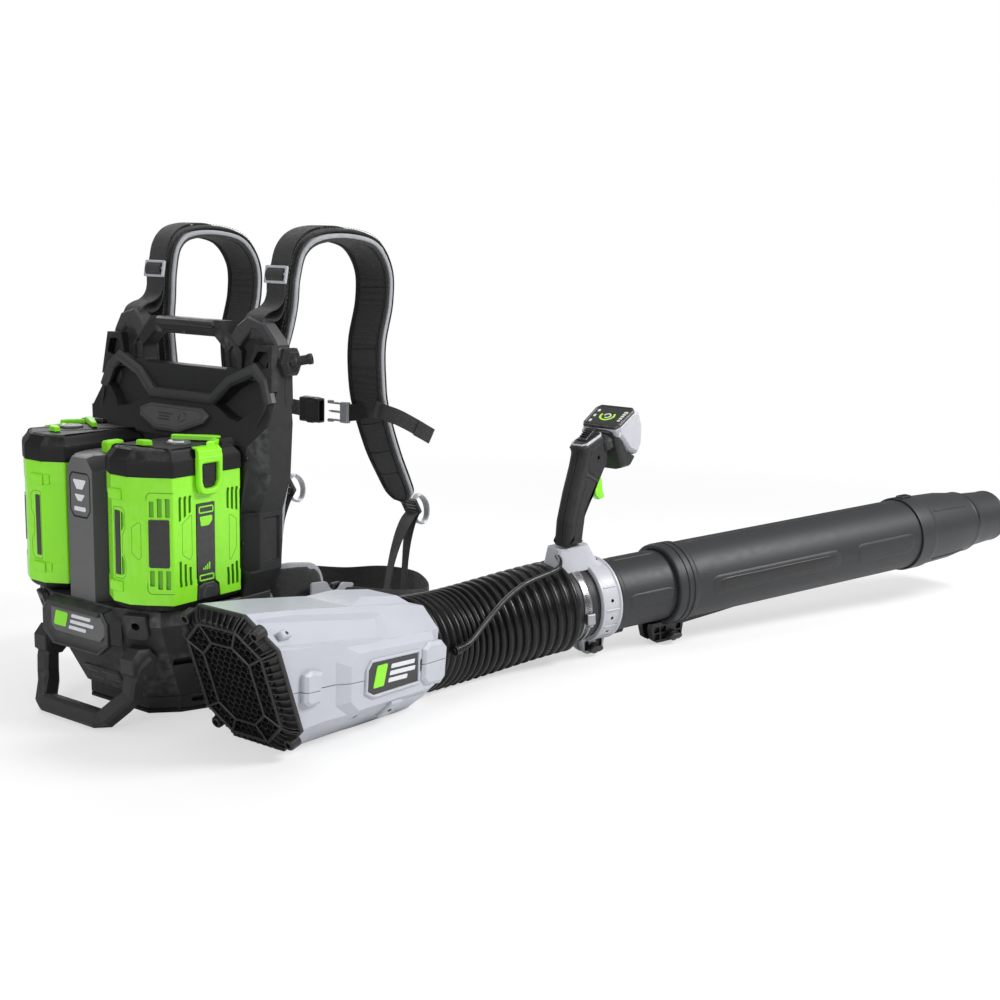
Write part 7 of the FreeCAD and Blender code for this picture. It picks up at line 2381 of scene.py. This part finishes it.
def build_floor(half=30, z=-0.0005):
    data = bpy.data.meshes.new("floor")
    data.from_pydata([(x, y, z) for x, y in rect(-half, -half, half, half)], [], [(0, 1, 2, 3)])
    data.materials.append(floor_material())
    floor = bpy.data.objects.new("floor", data)
    bpy.context.scene.collection.objects.link(floor)


def build_world():
    """White world: dim as a light, full white to the camera."""
    world = bpy.data.worlds.new("studio")
    bpy.context.scene.world = world
    world.use_nodes = True
    nodes = world.node_tree.nodes
    ambient = nodes["Background"]
    ambient.inputs[0].default_value = WHITE
    ambient.inputs[1].default_value = 0.30
    shader = Shader(world.node_tree)
    backdrop = shader.add("Background", {0: WHITE, 1: 1.0})
    camera_ray = shader.add("LightPath").outputs["Is Camera Ray"]
    mixed = shader.add("MixShader", {0: camera_ray, 1: ambient.outputs[0],
                                     2: backdrop.outputs[0]})
    world.node_tree.links.new(mixed.outputs[0], nodes["World Output"].inputs[0])


def area_light(name, place, target, size, power):
    """Square area light aimed at a target, in metres and watts."""
    light = bpy.data.lights.new(name, "AREA")
    light.energy = power
    light.shape = "RECTANGLE"
    light.size = size
    light.size_y = size
    obj = bpy.data.objects.new(name, light)
    obj.location = place
    obj.rotation_euler = (Vector(target) - Vector(place)).to_track_quat("-Z", "Y").to_euler()
    bpy.context.scene.collection.objects.link(obj)


def build_camera():
    """Camera behind and to the right of the pack, looking forward, left and down."""
    pitch, roll, heading = math.radians(10.63), math.radians(1.51), math.radians(35.34)
    ahead = Vector((math.cos(heading), math.sin(heading), 0))
    level_right = Vector((math.sin(heading), -math.cos(heading), 0))
    forward = ahead * math.cos(pitch) - Vector((0, 0, 1)) * math.sin(pitch)
    level_up = level_right.cross(forward)
    right = level_right * math.cos(roll) + level_up * math.sin(roll)
    up = -level_right * math.sin(roll) + level_up * math.cos(roll)
    lens = bpy.data.cameras.new("camera")
    lens.lens = 50
    lens.sensor_width = 36
    camera = bpy.data.objects.new("camera", lens)
    pose = Matrix.Identity(4)
    for i in range(3):
        pose[i][0], pose[i][1], pose[i][2] = right[i], up[i], -forward[i]
    pose.translation = Vector((-1.3158, -1.5210, 0.6624))
    camera.matrix_world = pose
    bpy.context.scene.collection.objects.link(camera)
    bpy.context.scene.camera = camera


build_floor()
build_world()
area_light("key", place=(1.5, -2.4, 2.2), target=(0.1, -0.2, 0.2), size=1.0, power=96)
area_light("left", place=(-2.4, -0.5, 1.3), target=(0, 0, 0.3), size=1.0, power=24)
area_light("rim", place=(1.3, 1.9, 1.6), target=(0.2, 0, 0.3), size=1.5, power=22)
area_light("top", place=(0.2, 0.1, 2.6), target=(0.3, -0.2, 0), size=1.8, power=18)
build_camera()
bpy.context.scene.view_settings.view_transform = "Standard"
bpy.context.scene.view_settings.look = "None"

# CAD nodes still shown take procedural finishes
CAD_FINISHES = {"controller_board": BOARD, "fan_motor": MOTOR, "fan_bearings": STEEL,
                "stator_vanes": FAN_NYLON, "impeller": FAN_NYLON, "fan_shaft": STEEL}
for name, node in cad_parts.items():
    if node.hide_render:
        continue
    finish = CAD_FINISHES.get(name, BLACK)
    if node.material_slots:
        for slot in node.material_slots:
            slot.material = finish
    else:
        node.data.materials.append(finish)
